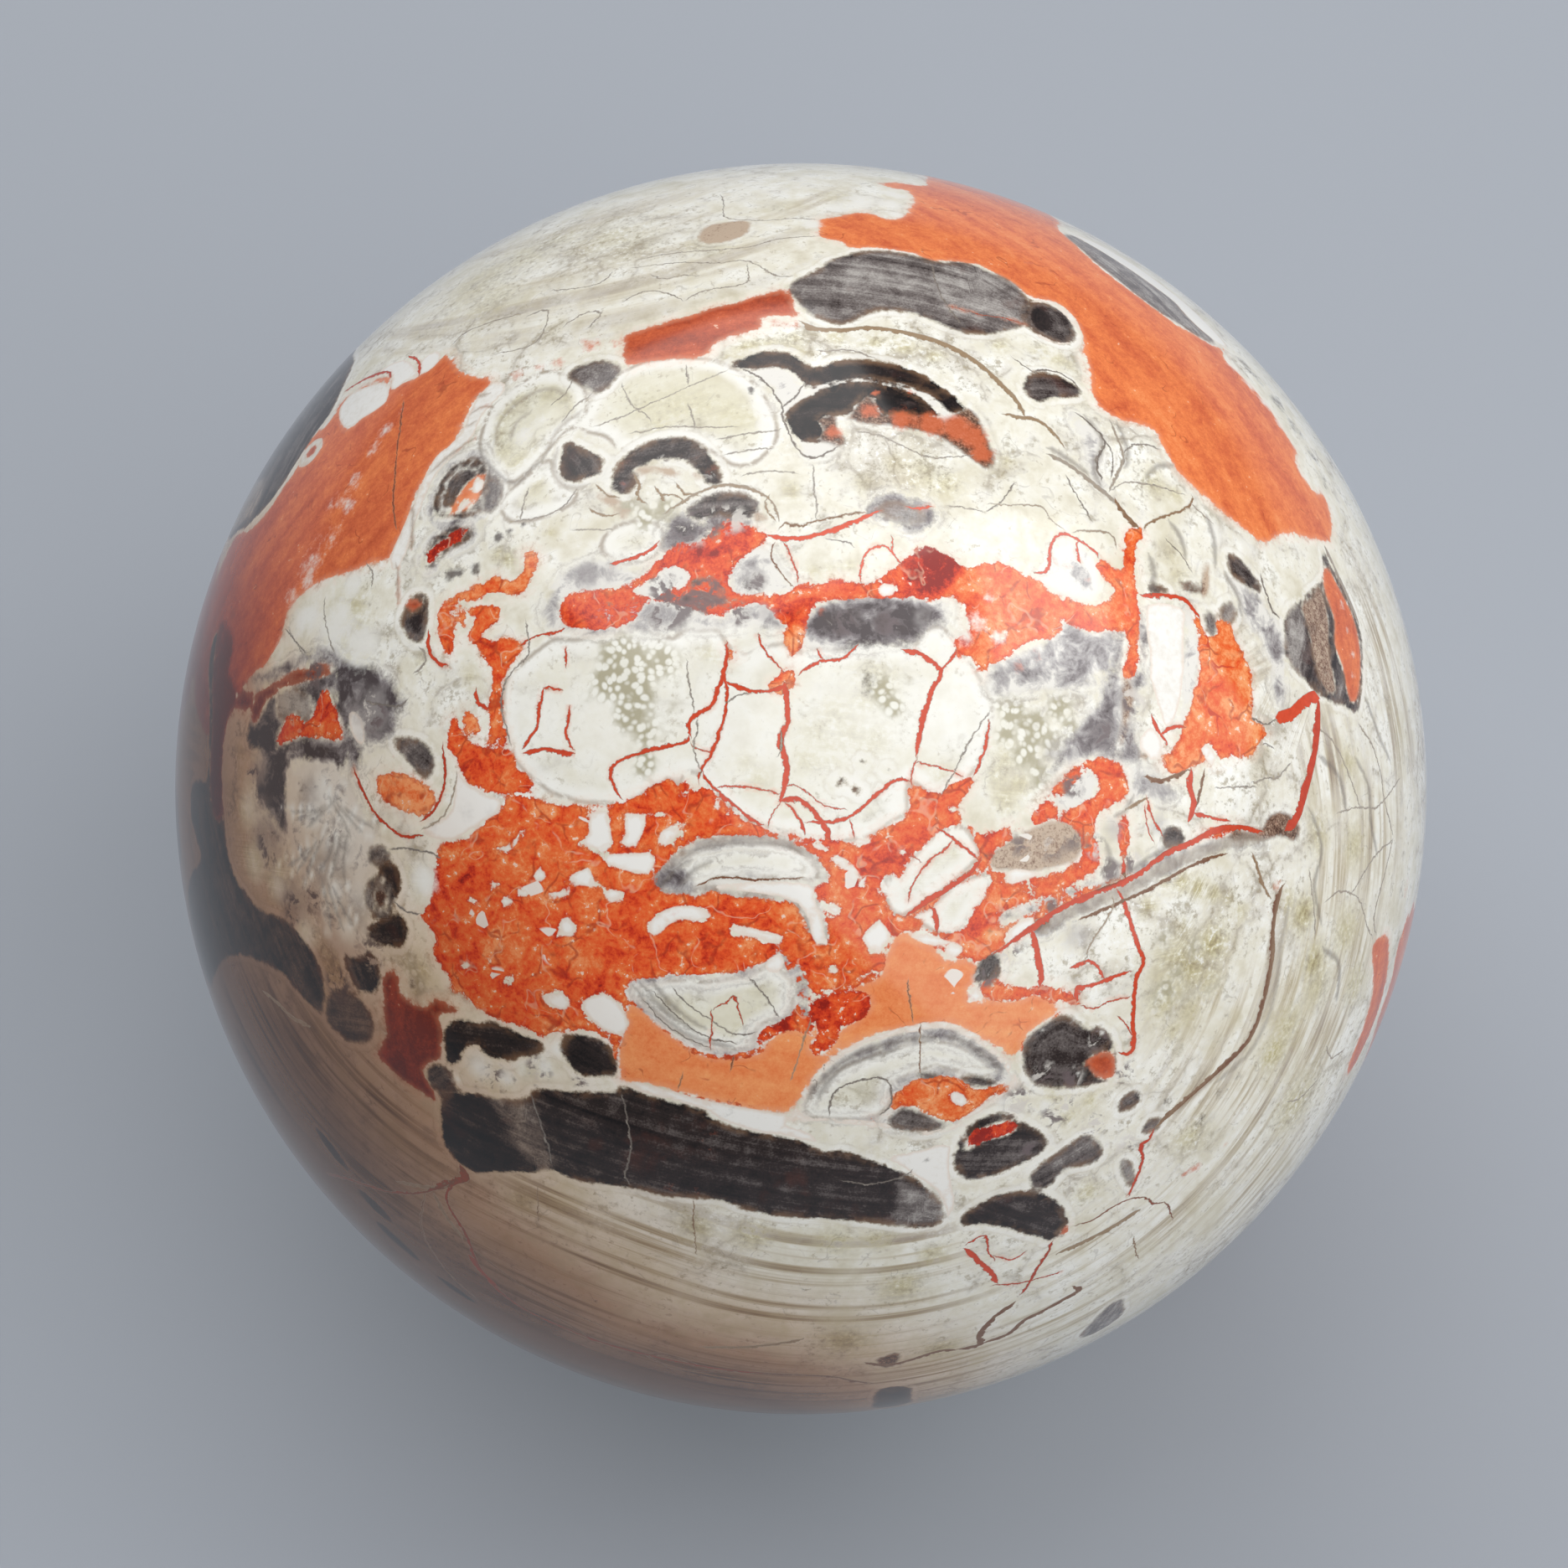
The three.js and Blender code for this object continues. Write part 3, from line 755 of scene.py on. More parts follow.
for tone, flat in (
        (0.3, [1, -13.4, 3, -12.8, 4.4, -13, 4.6, -14, 3.8, -14.8, 2.8, -15.4, 2.4, -16.4, 1.4, -17.2,
         0.8, -16.6, 1.4, -15.6, 1, -14.6]),
        (0.45, [-23.9, -5.4, -23.3, -7, -24.4, -11, -24.2, -13, -23.6, -13.6, -24.8, -11.6, -24.6, -10,
         -25.6, -8.9, -24.8, -7.6, -24.6, -6]),
        (0.8, [-20.4, -9.6, -18.8, -9, -17.6, -10, -18.4, -11.4, -20, -12, -21.4, -11]),
        (0.48, [-15.4, -12.6, -13.6, -12, -12, -13, -13, -14.4, -14.8, -15, -16, -14.4]),
        (0.52, [4.4, -3.6, 6, -2.8, 7.6, -2, 8.4, -2.8, 6.6, -4.2, 5.2, -5.6, 4.6, -7, 3.6, -5.4]),
        (0.54, [-11.4, -7.4, -10.4, -7, -9.4, -8, -10.2, -10, -10.4, -12, -11.6, -13, -12.4, -11])):
    patch("red", tone, flat)
stain("shards", 0.5, [-21, -9, 3, -18, -7, 2, -14, -7.4, 2, -6, -1.6, 1.6, 3.4, -5.4, 1.6, 8, -10.4, 1.4,
    -13, -3, 2, -20, -13, 2, -16, -11, 2.4, 10, -12, 1.4])
stain("web", 0.5, [-20.4, -10, 2.6, -17, -14, 2, 5, -12.4, 1.6, 11, -13.4, 1.6, -6, -18.6, 1.4])
stone.report("orange field")

# %% White splinters that float in the orange field
for flat in (
        [-11.1, -1.7, -9.5, -1.8, -10, -3.3, -10.4, -3.7, -11.3, -3.7, -10.9, -2.9],
        [-8.8, -3, -8, -2.4, -6.9, -2.3, -7.5, -2.9, -8.2, -3.6, -8.8, -3.7],
        [-9.2, -4.1, -9, -4.8, -9.5, -5.5, -10.5, -5.4, -12.4, -4.9, -12.2, -4.3, -10.6, -4.3],
        [-12.4, -6.5, -11.2, -6.7, -10.9, -7.2, -12.2, -7.4],
        [-13.4, -1.8, -12.2, -1.5, -11.8, -3.6, -12.6, -4.1, -14.2, -3.8, -13.3, -3.2],
        [-16.7, -5.3, -16.3, -5.9, -16.8, -6.3, -17.3, -6.1],
        [-14.4, -5.6, -13.4, -5.3, -12.8, -6.4, -15, -6.3],
        [-16.2, -7, -15, -6.8, -14.6, -7.1, -16.1, -7.5],
        [-15.2, -8.5, -14.7, -8.5, -14.3, -9.2, -14.5, -9.7, -15.6, -9.7],
        [-20.3, -6.4, -19.7, -6.5, -20.1, -7.2], [-18.3, -6.7, -17.5, -6.6, -17.6, -7.2, -18.3, -7.3],
        [-19.4, -7.4, -18.8, -7.3, -18.7, -7.9, -19.6, -8], [-21.2, -4.7, -19, -4, -17.8, -3, -18.8, -4.3],
        [7, -9.2, 7.3, -8.8, 8.3, -9.1, 9.4, -9.6, 10.4, -9.8, 10.5, -10.4, 9.8, -10.5, 9.3, -10, 8, -9.7],
        [5, -8.1, 5.9, -9.2, 4.9, -10.7, 4, -9.3],
        [1, -13.5, 1.4, -13, 2.4, -12.5, 3.6, -12.1, 5, -11.3, 4.2, -11.9, 2.4, -12.6],
        [-16.4, -13.7, -15.4, -13.5, -14.8, -14.4, -15.4, -14.8, -16.6, -14.4, -17, -14],
        [-13.6, -13.8, -12.4, -13.4, -11.4, -14.2, -10.9, -15.4, -11.4, -16.3, -12.6, -16, -13.6, -15.2,
         -14.2, -14.3], [11, -12.6, 12.4, -12.8, 12, -13.6, 11, -13.6],
        [-7.4, -0.2, -6.8, -0.2, -7, -0.6, -7.6, -0.5]):
    patch("white", 0.85, flat, sharp=True)
for x, y, half_long, half_short, turned in (
        (2.2, -7.5, 0.5, 0.3, -30), (2.7, -4.6, 0.7, 0.3, -30), (3.5, -5.3, 0.5, 0.25, -50),
        (4, -5.9, 0.3, 0.2, 0), (6.5, -3.8, 0.35, 0.2, 20), (4, -3.2, 0.6, 0.25, 10),
        (5, -6.4, 0.2, 0.2, 0), (1.3, -3.6, 0.5, 0.18, -20), (9.6, -10.7, 0.3, 0.2, 0),
        (2.2, -11.4, 0.4, 0.25, 0), (-21.6, -7.8, 0.3, 0.2, 0), (-5, -1.3, 0.5, 0.12, -35),
        (-8.6, -1.6, 0.6, 0.12, 10), (-22.4, -12.2, 0.5, 0.2, 30), (-19.2, -13, 0.5, 0.15, 40)):
    patch("white", 0.75, oval(x, y, half_long, half_short, turned, 7))
stone.report("splinters")

# %% [markdown]
# ## Cracked lumps
#
# The lumps are older ivory that broke and healed. Painting ivory only cuts what is below it and gives the
# lump a bedding of its own. The cracks are veins: a vein keeps its true width however coarse the mesh is,
# which a patch of a quarter of a millimetre wouldn't.

# %% The ivory lump across the middle, and the two cracked slabs at its lower right
patch("ivory", 0, [-19.4, 6.5, -18.6, 7.6, -16.2, 9.4, -14.5, 9.4, -12.5, 9.8, -10, 9.8, -8.2, 9.4,
    -7.5, 9.9, -6, 9.9, -5.3, 10, -4.6, 8.9, -3.5, 8.4, -2.2, 8.9, -0.9, 9, -0.3, 8.4, 0.8, 8.8, 2.6, 8.7,
    4, 9.1, 6.8, 9, 8, 10.2, 9, 10.3, 10.3, 8.6, 11.9, 6, 12, 4, 10.6, 0.8, 8.8, -0.4, 6.8, 0.5, 6.7, -1.4,
    5.8, -1.9, 3.8, -3.1, 0.3, -3, -3.2, -2, -5.8, 0.2, -6.3, 0.9, -7.2, 0.8, -7.6, 0, -8.3, 0.5,
    -10.3, -0.7, -12.5, -1.1, -15.8, -0.5, -18.4, 1.5, -18.6, 2.2, -19.2, 3.5], grain=-4)
for flat, grain in (
        ([5.6, -5.3, 6.2, -5.6, 7, -4.4, 8.8, -2.6, 10.4, -2.3, 11, -3.2, 11.3, -4.3, 8, -7, 6.2, -7.9,
         5.3, -6.2], 38),
        ([7, -8, 8.4, -7.3, 10, -5.9, 12, -5.3, 12, -6.7, 11, -7.7, 10.3, -8.9, 8.8, -9, 7.5, -8.2], 38)):
    patch("ivory", 0, flat, grain=grain)
stain("clean", 1, [-4, 4, 5, 3, 4, 5, 9, 5, 4, -12, 4, 5, 4, -1, 3, -17, 4, 3, 8, -5, 3, -3, 8, 2])
stain("olive", 0.85, [1, 3.6, 1, 3, 3.4, 1.2, 4.6, 3.1, 1, 2, 2.3, 1.1, 0.5, 1.8, 0.9, 4, 2.2, 1,
    8.4, -4.4, 0.8, 7.4, -5.8, 0.7, 9.6, -4, 0.6, 9.6, -7, 0.7, 5, -9.4, 0.4, 4.4, -1.6, 0.7,
    -2.6, 0.6, 0.7, -3.4, 1.6, 0.6, 4.6, 7, 1.4, 4, 5.6, 1, 8.8, 1, 0.8, 2.2, 4.6, 1.2, -5.6, 8.6, 0.8,
    -4.4, 8.2, 0.8])
stain("smoky", 0.42, [4.4, 6.9, 1, 4, 6.2, 0.9])
stain("beads", 0.95, [-11.5, 8.5, 1.3, -10.5, 7.5, 1.5, -10.5, 6, 1.3, -10.8, 4.5, 1.1, -9.8, 3.4, 0.8,
    -9.8, 1.5, 0.8, -8.8, 8, 1.1, -12, 6.8, 1.3, 5.2, 6.2, 0.8, 5.8, 5.2, 0.6, -11.6, 9, 1])
for x, y in ((2.5, 0.6), (2.9, 0.3), (3.7, -0.2), (3.9, 1.7), (2.2, 0.3), (3.4, 0.1), (5.4, 1.2)):
    patch("smoke", 0.1, oval(x, y, 0.14, 0.1, 30, 5))
stone.report("ivory lump")

# %% Red and grey cracks in the lump and the slabs
for width, flat in (
        (0.32, [-4.7, 9.2, -4.8, 7.1, -5.2, 6.2, -5.5, 5.2, -6.9, 4.2, -6.9, 3.2]),
        (0.3, [-6.9, 3.2, -7.3, 2.8, -10.5, 2, -12, 1, -11.3, -0.8]),
        (0.24, [-4.8, 7.1, -4.6, 6, -4.8, 4.2, -5.5, 2.1, -6.2, 1.1, -6.3, 0.4]),
        (0.3, [-4.6, 6.6, -3, 6, -2, 6, -0.9, 6.5]),
        (0.45, [-1, 6.6, -0.8, 4.2, -1.2, 3, -0.8, 1.2, -1.2, -0.9]),
        (0.22, [-0.2, 7.1, 1.2, 8, 2.4, 8.1, 3.6, 9.1]), (0.2, [0.9, 8.8, 1.4, 8]),
        (0.18, [-2.8, 9.7, -2.3, 8.6, -1.6, 7.8, -1.1, 7.2]),
        (0.42, [6.4, 8.8, 7.4, 8.6, 8.8, 7.5, 8.3, 6.5, 7.6, 4.2, 7.2, 2]),
        (0.14, [7.2, 2, 7, 1.2, 6.9, 0.4]), (0.22, [8.8, 7.5, 9.4, 8.2, 9.8, 8.9]),
        (0.16, [7.2, 1.7, 8.3, 1.5, 9.4, 1.2, 10.3, 0.8]), (0.24, [11.9, 4.6, 11.7, 2.8, 11.4, 2, 11, 1]),
        (0.28, [6.8, 0.6, 5.8, 0.5, 3, -1.8, 0.5, -2.1]),
        (0.42, [-1.2, -0.8, 0, -0.7, 1.5, -2.2, 1.9, -3.1]),
        (0.25, [-0.8, -0.9, -0.2, -1.6, 0.2, -2.3, 0.3, -2.9]),
        (0.28, [-6.1, 0.9, -5.4, 0, -3.2, -1.8, -2.2, -2.3]),
        (0.16, [-5.2, 0, -4, 0.1, -2.5, -0.1, -1.2, -0.4]),
        (0.12, [-1.1, 0.2, -0.1, 0.1, 1.5, -1, 3, -1.3]), (0.16, [3.2, -1.9, 3.4, -3]),
        (0.12, [-6.9, 2.8, -6.6, 2.4, -5.4, 2.2]), (0.12, [-1.2, -0.8, -1.8, -1.9, -2, -2.4]),
        (0.25, [8.6, -2.4, 9.6, -3, 10.4, -3.6, 11.3, -4.3]), (0.12, [7, -4.1, 7.8, -4.6]),
        (0.18, [9.7, -3, 9.1, -3.8, 8.5, -4.1, 7.2, -5.7, 6.9, -7]),
        (0.4, [11.4, -4.3, 10.5, -5.4, 6.6, -8]), (0.36, [8.4, -7.3, 8.7, -8, 8.8, -9]),
        (0.28, [-16.6, 6.3, -16.9, 5, -17, 3.8, -18, 2.3]), (0.2, [-16.6, 6.4, -16.2, 6.3, -15.3, 6.1]),
        (0.35, [-17.9, 2.1, -16.5, 2.3, -15.2, 2.1, -14.4, 2]),
        (0.26, [-14.8, 5.2, -14.9, 4.2, -15, 3.2, -14.5, 2.3]), (0.2, [-15.2, 9, -15.2, 8, -15.1, 7.6])):
    vein(0.92, width, flat)
for flat in (
        [-7.2, 8, -7.1, 6.8, -6.8, 5.5, -6.6, 4.6], [-4.7, 5.3, -3.9, 5.8, -2.9, 5.9],
        [12, 5, 11.2, 4, 8.8, -0.4], [-6.5, 4.4, -6.5, 3.2, -6.7, 2.5, -6.1, 0.6],
        [-1.2, 3.6, -1.1, 2.6, -1.4, 2],
        [-18.2, 11, -17.8, 8.6, -18.8, 7.6, -19.5, 6.4, -19.5, 4.8, -18.7, 2.4]):
    vein(0.02, 0.12, flat)
patch("red", 0.8, [-2, 6.4, -1.4, 7.2, -0.8, 7.4, -0.3, 7, -0.6, 6.2, -1.2, 5.9, -1.8, 6])
patch("red", 0.9, [-4.9, 8.4, -4.5, 8.9, -4.1, 8.4, -4.5, 8])
patch("red", 0.85, [-1.2, 9.8, -0.5, 10.4, 0.2, 9.8, -0.1, 8.9, -0.5, 8.4, -0.9, 9])
patch("red", 0.7, [9.3, 0.2, 10.7, 0.8, 10.3, -0.4, 9.8, -1, 8.7, -0.6])
patch("red", 0.7, [9.7, 9.6, 10.4, 9.9, 11, 9.2, 11.8, 8.8, 11.8, 7.6, 11.2, 7.5, 10.8, 8.4, 10, 8.5])
stone.report("cracks of the lump")

# %% The banded lens under the lump, the orange lips below it and the half lens below them
banded_lens = [-8.8, -5.2, -6, -3.2, -2, -2.95, 0.7, -3.9, 1.8, -5.6, 0.9, -6, 1.6, -8.2, 1.9, -9.6,
    1.5, -10, 0.8, -9.3, -0.2, -7.3, -2, -6.9, -4, -6.8, -5.5, -6.5, -6.5, -6.8, -8.8, -6.5]
patch("smoke", 0.85, banded_lens, grain="rings")
patch("chalcedony", 0.6, banded_lens, inset=0.3, grain="rings")
patch("ivory", 0, [-7.4, -4.6, -4.4, -3.55, -0.4, -3.7, 1.3, -5.3, 0.6, -5.7, -1, -5.6, -4.6, -5.6,
    -6.6, -6.3, -6.9, -5.6], grain=0, bend=0.05)
patch("chalcedony", 0.3, [-9.2, -6, -8.8, -5.2, -8, -4.9, -7, -5.3, -6.6, -6.2, -6.8, -6.8, -8.8, -6.5])
patch("white", 0.75, [-5, -6.1, -4, -6, -1, -5.8, 0.8, -6, 1, -6.8, 1.8, -9.4, 1.5, -9.9, 1, -9.4, 0, -7.2,
    -3, -6.5, -5, -6.5])
vein(0.55, 0.16, [-6.5, -6.2, -4.8, -5.6, -2.2, -5.7, 0.5, -5.6])
for flat in (
        [-8.4, -5.4, -5.8, -3.7, -1.4, -3.45, 0.2, -4], [-7.4, -6.2, -6.6, -5.2, -5.4, -4.6],
        [-8.6, -6.2, -7.8, -5.2, -6.6, -4.4]):
    shade(0.0, 0.3, flat)
stain("smoky", 0.3, [-3.4, -7, 0.6, -1.6, -7.2, 0.6, 0.4, -8.8, 0.4, 0.9, -9.6, 0.4])
patch("red", 0.6, [-10, -11.4, -9.9, -9.6, -9.4, -8.3, -8.4, -7.5, -6.7, -7.1, -3.9, -7.3, -1.4, -8.2,
    -0.6, -9.6, -1.8, -10.9, -4.2, -11.8, -9.1, -12])
patch("red", 0.54, oval(-6.2, -10, 2.4, 0.9, -6))
for flat in (
        [-9.6, -9, -8.9, -8.1, -7.9, -7.6, -6.6, -7.5, -5.4, -7.9, -6.2, -8.4, -7.4, -8.3, -8.2, -8.7,
         -9, -9.4], [-4.2, -8.6, -3.2, -8.8, -1.2, -9.2, -0.9, -9.7, -1.8, -9.7, -3, -9.3, -4, -9.2]):
    patch("white", 0.75, flat)
stain("blush", 0.35, [-7.8, -8, 0.5, -6.4, -8, 0.4, -2.4, -9.2, 0.5])
half_lens = [-11.1, -13.1, -10.2, -12.3, -7, -11.9, -5.6, -12, -2.6, -11.2, -1, -10, -1, -11, 0, -12.2,
    -0.1, -14.2, -0.6, -14.9, -1.6, -15.1, -2.4, -15.8, -2.3, -16.5, -2.9, -17, -5.5, -17.3, -8.4, -15.8,
    -10.6, -14]
patch("chalcedony", 0.5, half_lens)
patch("ivory", 0, half_lens, inset=0.32, grain="rings")
for flat in (
        [-10.4, -12.9, -9.6, -14, -7, -16, -3.9, -16.8],
        [-9.2, -12.6, -8.4, -13.6, -7.2, -14.7, -5.8, -15.6],
        [-9.9, -12.7, -9, -13.9, -7.8, -14.9, -6.4, -15.9]):
    shade(0.0, 0.36, flat)
stain("olive", 0.5, [-2.6, -12.8, 0.9, -2.4, -14, 0.8, -7.4, -15, 0.7, -3.6, -15.4, 0.7])
for tone, width, flat in (
        (0.0, 0.14, [-9.4, -13, -7, -15.4, -5.4, -16.2, -3.8, -16.4]),
        (0.0, 0.12, [-8, -12.8, -7, -13.9, -4, -15.8, -2.6, -15.6]),
        (0.0, 0.12, [-10, -13.5, -8.8, -15, -7.4, -16.1, -5.6, -16.8]),
        (0.0, 0.12, [-3, -12, -2, -13.2, -1.2, -14.6]),
        (0.85, 0.16, [-5.4, -14.2, -4.4, -13.6, -3.9, -13.2, -3.8, -14, -3.4, -15.2]),
        (0.85, 0.16, [-5.5, -14.2, -5.5, -15.6, -5.6, -17]), (0.3, 0.12, [0.9, -14.6, 0.2, -17, -0.4, -19]),
        (0.55, 0.1, [-7.4, -18.6, -7.8, -20]), (0.55, 0.1, [7, -12, 7.2, -13.4, 7.5, -15]),
        (0.55, 0.1, [-4, -17.4, -4.2, -18.4]), (0.55, 0.12, [8, -15, 8, -17, 8.1, -18.6])):
    vein(tone, width, flat)
patch("red", 0.2, [-2.4, -15.9, -1.6, -15.2, -0.8, -14.7, -0.2, -14.6, -0.5, -15.2, -1.4, -15.6, -2, -16])
patch("chalcedony", 0.35, [-1, -10, 0.4, -11.6, 0.7, -12.6, 0.6, -13.6, 0.8, -14.2, 0.5, -14.6, 0.1, -14.2,
    0, -12, -0.5, -11.2])
patch("white", 0.9, [-1.1, -10.4, -1.9, -10.9, -2, -11.6, -1.2, -11.6, -0.9, -11])
stone.report("banded lens, lips and half lens")

# %% The arched lens with an orange core
arched_lens = [-0.1, -21.6, 1.3, -18.4, 3.8, -16.3, 8.2, -15, 10.8, -15.4, 13.8, -17.6, 14.8, -19.8,
    13.8, -20.3, 10.4, -22.9, 7, -22.9, 5.6, -22.5, 2.4, -22]
patch("white", 0.6, arched_lens)
patch("chalcedony", 0.42, arched_lens, inset=0.4)
patch("ivory", 0, [0.6, -21.4, 1, -20, 3.2, -17.9, 7.4, -16.4, 10.2, -16.5, 12.6, -18, 13.4, -18.8,
    12, -18.9, 9.8, -18.2, 8.4, -18.2, 6.4, -19.2, 6.3, -20.2, 5.8, -21.2, 4.6, -21.8, 1.4, -21.7],
    grain="rings")
patch("red", 0.8, [5, -21.8, 6, -21.4, 6.3, -20.4, 7.8, -19, 10.2, -18.9, 12, -19.8, 13.6, -19.6,
    14.4, -19.9, 13, -20.5, 10.4, -22.3, 7.4, -20.9, 5.4, -22])
patch("smoke", 0.45, [6.2, -21.8, 7.2, -21, 9.2, -21.9, 10.2, -22.4, 9.4, -22.8, 7.6, -22.8, 6.4, -22.5])
patch("smoke", 0.3, oval(8.6, -18.7, 0.7, 0.22, -5))
patch("smoke", 0.4, [11, -18.8, 12, -18.9, 13.4, -19.4, 12.4, -19.7, 11.2, -19.4])
patch("white", 0.8, oval(10.8, -20.5, 0.7, 0.4, -40))
for flat in (
        [0.8, -20.4, 1.4, -19.2, 3.8, -17.1, 7.2, -16.1, 9, -15.9],
        [1.4, -20.2, 2.2, -18.9, 3.4, -17.8, 6.6, -16.7],
        [9.6, -15.9, 11, -16.4, 12.4, -17.4, 13.6, -18.4]):
    shade(0.0, 0.45, flat)
vein(0.0, 0.14, [2.2, -21.6, 2.3, -20.2, 3.4, -19.2, 5.7, -18.8, 6.3, -19.8, 6.2, -20.8, 5.4, -21.6])
vein(0.0, 0.12, [1.4, -18.6, 1.8, -17.8, 1.2, -19.6])
stone.report("arched lens")

# %% [markdown]
# ## The dark bar
#
# The bar is clear smoky quartz, so it looks nearly black, with faint lines along it. The lines could be
# drawn too, but they are too many: the patch only stores which way its grain runs, and the material draws
# the lines from a noise that is stretched that way.

# %% The dark bar and the white rubble along its top
patch("smoke", 0.14, [-25.4, -22.5, -23, -21.9, -20, -22, -18.4, -21.6, -18, -21, -17, -20.8, -13, -20.6,
    -11.2, -20, -10.2, -20.4, -6.4, -21.3, -5.6, -22, -3.4, -22.8, 0, -23.4, 2, -24.4, 3.4, -24.4,
    7.4, -26.2, 9.4, -27.8, 10.4, -29.6, 10.4, -30.4, 9.8, -30.9, 8.6, -30.9, 4.6, -30.1, -2, -29.5,
    -5.4, -28.4, -9, -28.4, -11, -28, -15.6, -27.8, -17, -27.3, -18, -27.3, -19, -27.8, -22, -28.3,
    -23.8, -28.7, -25.6, -27.4, -26, -26], grain=-6)
patch("smoke", 0.5, [-21.4, -22.2, -20, -22.2, -18.6, -22, -17.8, -23.4, -17.3, -25.6, -17.3, -27.1,
    -19, -26.8, -20, -25.4, -20.6, -23.8], grain=70)
patch("smoke", 0.5, [6.6, -26.4, 9.6, -28.4, 10.2, -29.6, 10, -30.5, 8, -30.5, 6.6, -30, 7.4, -28.6],
    grain=-12)
stain("blush", 0.3, [-6.2, -23.6, 1, -5.4, -22.9, 0.8, -6.6, -27.8, 0.8, -8.8, -27.6, 0.8, -24.6, -27, 1,
    -6, -24.4, 0.7, -22.4, -22.8, 0.8])
patch("white", 0.75, [-11.4, -19.7, -10, -19.6, -6, -20.6, -2, -21.3, -0.5, -21.5, -0.6, -22.3, 0.8, -22.8,
    1.6, -23.6, -1, -23, -2.6, -22.8, -5, -21.9, -6, -21.2, -10, -20.3])
patch("white", 0.7, [6.2, -24.8, 8.4, -24.4, 9.6, -24, 10.6, -24.2, 10.4, -25.4, 11.2, -29, 10.9, -30.2,
    10, -28, 7.8, -26])
stain("smoky", 0.5, [-5, -21.6, 0.35, -4.2, -21.2, 0.3, -0.4, -22.1, 0.25, -2.6, -21.6, 0.3,
    8.9, -25.2, 0.4, 5.4, -23.5, 0.3, -7.4, -20.5, 0.25, 7, -23.8, 0.3])
for flat in (
        [-11.6, -20.4, -11.2, -24, -11.4, -25.6, -11.8, -27, -11.4, -27.8],
        [-18.2, -21.2, -17.8, -23, -17.4, -24.8, -17.2, -26.8], [3, -26.6, 5, -27, 7, -26.6, 8, -26]):
    vein(0.0, 0.14, flat)
vein(0.45, 0.12, [-7, -28.6, -7.1, -31, -7.1, -33.8])
vein(0.45, 0.12, [-18.6, -29, -18.8, -30.6, -19, -32.6])
stone.report("dark bar")

# %% Dark blobs in white rubble and the deep red patch, left of the bar
def dark_blobs():
    """Dark blobs, and a patch of deep red."""
    for tone, flat in (
            (0.1, [-24.6, -19.6, -24.5, -17.4, -23.8, -16.4, -22.8, -16.1, -21.6, -16.3, -20.6, -16.1,
             -18.8, -16.8, -17.6, -17, -17, -17.5, -17.6, -18.2, -18.8, -18.4, -19.6, -18.8, -21.4, -18.6,
             -21.8, -17.8, -23.2, -18.4, -23.6, -19.4]),
            (0.12, [-15.4, -17, -15.2, -16.6, -14, -16.5, -12.8, -16.8, -12.2, -17.4, -11.9, -18.4,
             -12.2, -19.2, -13.6, -19.3, -14.6, -19.2, -15.7, -17.6]),
            (0.35, [-26.6, -20.8, -25.8, -20, -24.9, -20, -24.3, -20.8, -24.6, -21.8, -25.6, -22.2,
             -26.4, -21.6]),
            (0.25, [-33, -12.4, -31.6, -11.8, -30.2, -12.4, -29.8, -13.6, -30.2, -14.8, -31.4, -15.2,
             -32.4, -14.6]),
            (0.5, [-35.2, -16, -33.4, -15.4, -31.8, -16, -31, -17.4, -31.4, -18.8, -33, -19.4, -34.6, -19,
             -35.8, -18])):
        patch("smoke", tone, flat)
    patch("rust", 0.12, [-29.5, -13.9, -28.7, -13.3, -28, -13.7, -27.9, -14.8, -26.4, -15.7, -25, -15,
        -23.2, -15.6, -24.4, -15.9, -25, -16.4, -24.8, -17, -25.2, -19.4, -26.2, -19.8, -26.7, -20.8,
        -26, -22.9, -27, -22.7, -30.4, -20.6, -30.9, -20, -29.8, -18.2, -29.6, -15.6])
    stain("milk", 0.7, [-22, -19.6, 1.2, -20, -20.2, 0.8, -17, -19, 1, -16, -17.6, 0.5, -18.6, -19.4, 0.7,
        -24, -20.8, 0.5])
    stain("smoky", 0.6, [-19.4, -20.2, 0.4, -17.6, -18.7, 0.35, -22.6, -21.4, 0.4, -20.4, -21.2, 0.5,
        -15, -20, 0.3, -17.8, -20.6, 0.4, -26.9, -13.9, 0.5])
    stain("olive", 0.7, [-26, -13, 0.8, -27.4, -12.4, 0.7, -26.6, -14.6, 0.6, -32, -13, 2, -34, -14, 2,
        -34, -12, 2])
    stain("beads", 0.6, [-27, -12.6, 0.8, -26.2, -13.8, 0.6])
    stain("blush", 0.4, [-27.2, -24, 0.6, -26.6, -26, 0.5, -31, -17, 0.4])
    vein(0.6, 0.7, [-25, -28.4, -24.6, -29.4, -25.6, -30, -28, -31.4])


dark_blobs()
stone.report("left of the bar")

